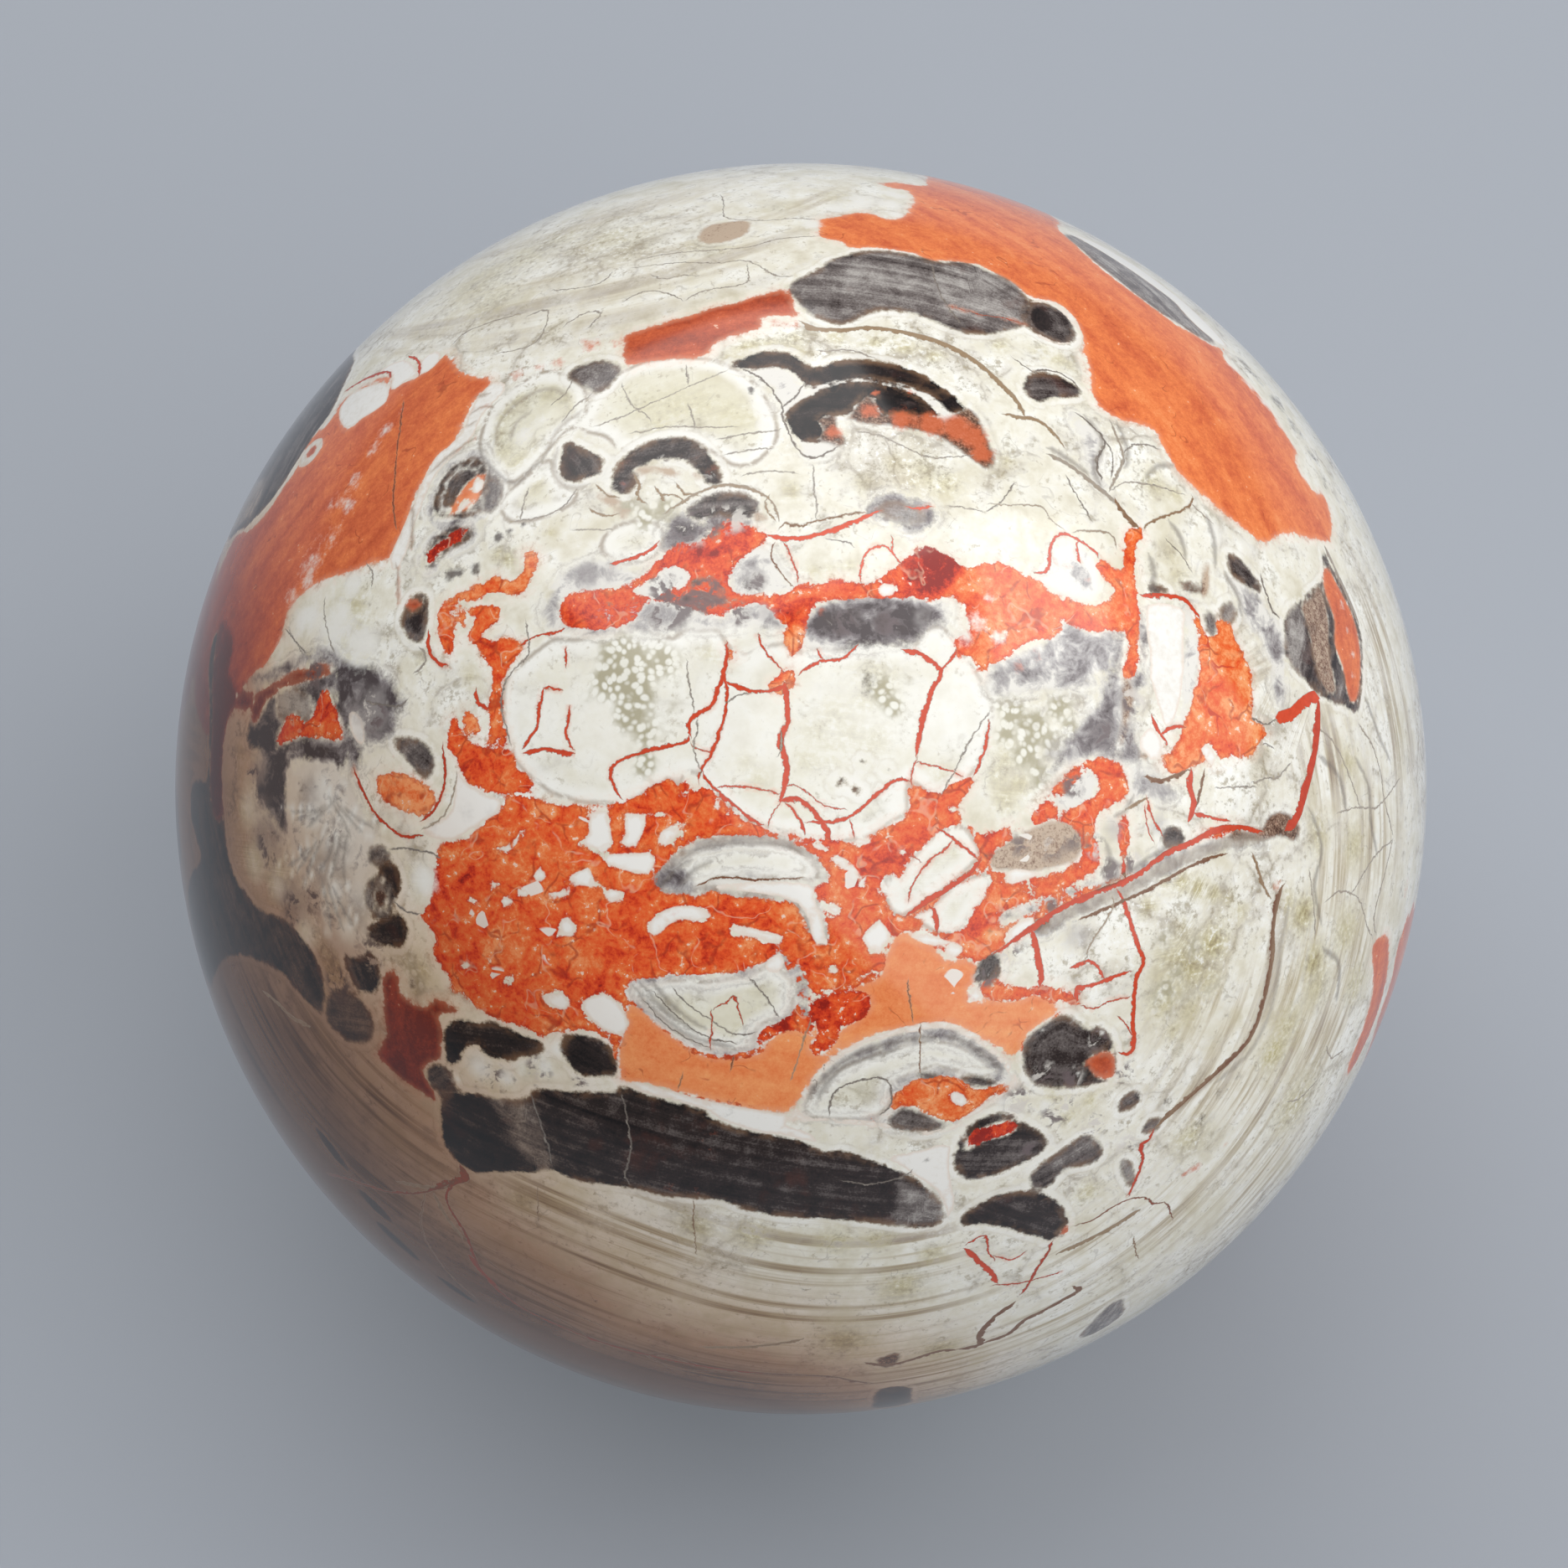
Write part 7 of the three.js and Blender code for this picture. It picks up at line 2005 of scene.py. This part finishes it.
splinter_place = agate.vector("ADD", where, agate.vector("SCALE", wander, scale=0.8))
splinter_pick = agate.cells(splinter_place, 0.9, "F1", "Color")
splinter_share = agate.node("ShaderNodeSeparateColor", {}, {0: splinter_pick}, 0)
splinter_edge = agate.cells(splinter_place, 0.9, "DISTANCE_TO_EDGE")
splinter = agate.smooth(0.0, 0.04, splinter_share + shards - 1.25)
splinter = splinter * agate.smooth(0.08, 0.13, splinter_edge)
surface = agate.mix(splinter * 0.95, surface, colour(238, 231, 222))

web_line = agate.smooth(0.020, 0.008, abs(thready - 0.5)) * agate.smooth(0.4, 0.7, web + ragged * 0.6)
surface = agate.mix(web_line * 0.9, surface, colour(200, 62, 34))
# The brown stain multiplies the colour darker: partly the stone's own browning, partly painted shade
# towards the lower left and the bottom.
browning_and_shade_colour = agate.ramp(browning_and_shade * (middle * 0.4 + 0.8) * (1 - milk * 0.7), [
    (0.05, colour(255, 255, 255)), (0.2, colour(228, 208, 190)), (0.38, colour(186, 146, 120)),
    (0.7, colour(126, 88, 66))])
surface = agate.mix(1.0, surface, browning_and_shade_colour, "MULTIPLY")

vein_line, vein_tone, glow = 0.0, 0.0, 0.0
for layer in used_layers:
    distance, half, tone = agate.stored("vein_" + str(layer))
    soft = agate.smooth(1.4, 1.6, tone)
    tone = tone - soft * SOFT_TONE
    spread = soft * 0.16 + 0.05
    wobble = abs(distance + (small - 0.5) * 0.42 + (middle - 0.5) * 0.24)
    laid = agate.smooth(0.0, 0.04, half)
    line = agate.smooth(-spread, spread, half * (0.05 + middle * 0.95 + small * 0.6) - wobble) * laid
    line = line * (1 - soft * 0.4)
    glow = (agate.smooth(0.42, 0.0, wobble) * laid * agate.smooth(0.6, 0.8, tone)).at_least(glow)
    vein_tone = tone * line + (1 - line) * vein_tone
    vein_line = line.at_least(vein_line)
surface = agate.mix(glow * agate.smooth(0.46, 0.62, cloudy) * 0.45, surface, colour(226, 142, 106))
vein_colour = agate.ramp(vein_tone + (small - 0.5) * 0.24, [
    (0.0, colour(118, 108, 100)), (0.06, colour(164, 154, 142)), (0.3, colour(158, 134, 106)),
    (0.55, colour(116, 74, 52)), (0.8, colour(186, 58, 32)), (1.0, colour(220, 82, 50))])
surface = agate.mix(vein_line, surface, vein_colour)
print(len(agate.tree.nodes), "nodes")

# %% [markdown]
# ## The polish
#
# The real ball was ground and buffed until it mirrors its window, with tiny pits where a grain fell out. A
# coat of clear gloss over a dull stone would look much the same, but chalcedony shines by its own skin, so
# one gloss with the stone's own index of refraction is enough. The pits are a bump, not a shape.

# %% The polish
pits = agate.smooth(0.68, 0.74, grains)
bump = agate.node("ShaderNodeBump", {}, {"Height": pits * -0.6, "Strength": 0.2, "Distance": 0.00004})
shader = agate.node("ShaderNodeBsdfPrincipled", {}, {
    "Base Color": surface,
    "Roughness": 0.075 + middle * 0.06,
    "IOR": 1.54,
    "Normal": bump,
})
agate.node("ShaderNodeOutputMaterial", {}, {"Surface": shader})
stone_mesh.materials.append(agate.material)
print(len(agate.tree.nodes), "nodes in the stone's material")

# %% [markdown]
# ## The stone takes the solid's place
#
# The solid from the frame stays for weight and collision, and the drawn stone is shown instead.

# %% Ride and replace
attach(stone_piece, "root")
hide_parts("agate_ball")
print("the stone rides on root")

# %% [markdown]
# ## The studio
#
# The floor is plain and pale. One soft window-sized light stands to the right, a little behind the ball and
# high: that is where the bright patch on the photographed ball mirrors it. A ceiling of light on the right
# and a weaker one behind on the left fill in, so the ball grows darker towards its lower left, as in the
# photo.

# %% Floor
FLOOR_HALF = 1.5
floor_mesh = bpy.data.meshes.new("floor")
floor_corners = [(-FLOOR_HALF, -FLOOR_HALF, 0), (FLOOR_HALF, -FLOOR_HALF, 0),
                 (FLOOR_HALF, FLOOR_HALF, 0), (-FLOOR_HALF, FLOOR_HALF, 0)]
floor_mesh.from_pydata(floor_corners, [], [(0, 1, 2, 3)])
floor_piece = bpy.data.objects.new("floor", floor_mesh)
bpy.context.scene.collection.objects.link(floor_piece)
plain = Recipe("plain_floor")
plain_finish = {"Base Color": colour(162, 167, 175), "Roughness": 0.9}
plain_shader = plain.node("ShaderNodeBsdfPrincipled", {}, plain_finish)
plain.node("ShaderNodeOutputMaterial", {}, {"Surface": plain_shader})
floor_mesh.materials.append(plain.material)
print("floor", FLOOR_HALF * 2, "m across")

# %% Lights
ball_middle = Vector((0, 0, middle_height * MILLIMETRE))


def soft_light(name, toward, distance, wide, high, power):
    """A rectangular light that faces the ball from a direction."""
    light = bpy.data.lights.new(name, "AREA")
    light.shape = "RECTANGLE"
    light.size = wide
    light.size_y = high
    light.energy = power
    lamp = bpy.data.objects.new(name, light)
    aim = Vector(toward).normalized()
    lamp.location = ball_middle + aim * distance
    lamp.rotation_euler = aim.to_track_quat("Z", "Y").to_euler()
    bpy.context.scene.collection.objects.link(lamp)
    return lamp


soft_light("window", (0.612, 0.160, 0.774), 0.7, 0.30, 0.26, 0.6)
soft_light("ceiling", (0.56, -0.30, 0.77), 1.1, 1.8, 1.8, 12.9)
soft_light("skylight", (-0.25, 0.45, 0.86), 1.1, 1.2, 1.2, 7.6)
world = bpy.data.worlds.new("studio")
world.use_nodes = True
world.node_tree.nodes["Background"].inputs["Color"].default_value = (0.9, 0.95, 1.0, 1)
world.node_tree.nodes["Background"].inputs["Strength"].default_value = 0.2
bpy.context.scene.world = world
bpy.context.scene.view_settings.view_transform = "Standard"
bpy.context.scene.cycles.max_bounces = 3
print("three lights and a pale sky")

# %% [markdown]
# ## The camera
#
# It stands where the photographer's did, 62 degrees above the table and a hand's breadth from the stone.
# So near a ball, the eye sees less than half of it, and its outline is well inside its true waist.

# %% Camera
eye = bpy.data.cameras.new("camera")
eye.sensor_width = 36
eye.lens = eye.sensor_width / 2 / HALF_VIEW
eye.clip_start = 0.01
camera = bpy.data.objects.new("camera", eye)
right = Vector(chart_right)
up = Vector(chart_up)
aimed = ball_middle + (up * AIM_ABOVE - right * AIM_LEFT) * MILLIMETRE
camera.location = ball_middle + Vector(to_camera) * CAMERA_DISTANCE * MILLIMETRE
camera.rotation_euler = (camera.location - aimed).to_track_quat("Z", "Y").to_euler()
bpy.context.scene.collection.objects.link(camera)
bpy.context.scene.camera = camera
print("lens", round(eye.lens, 1), "mm, from", round(CAMERA_DISTANCE), "mm")
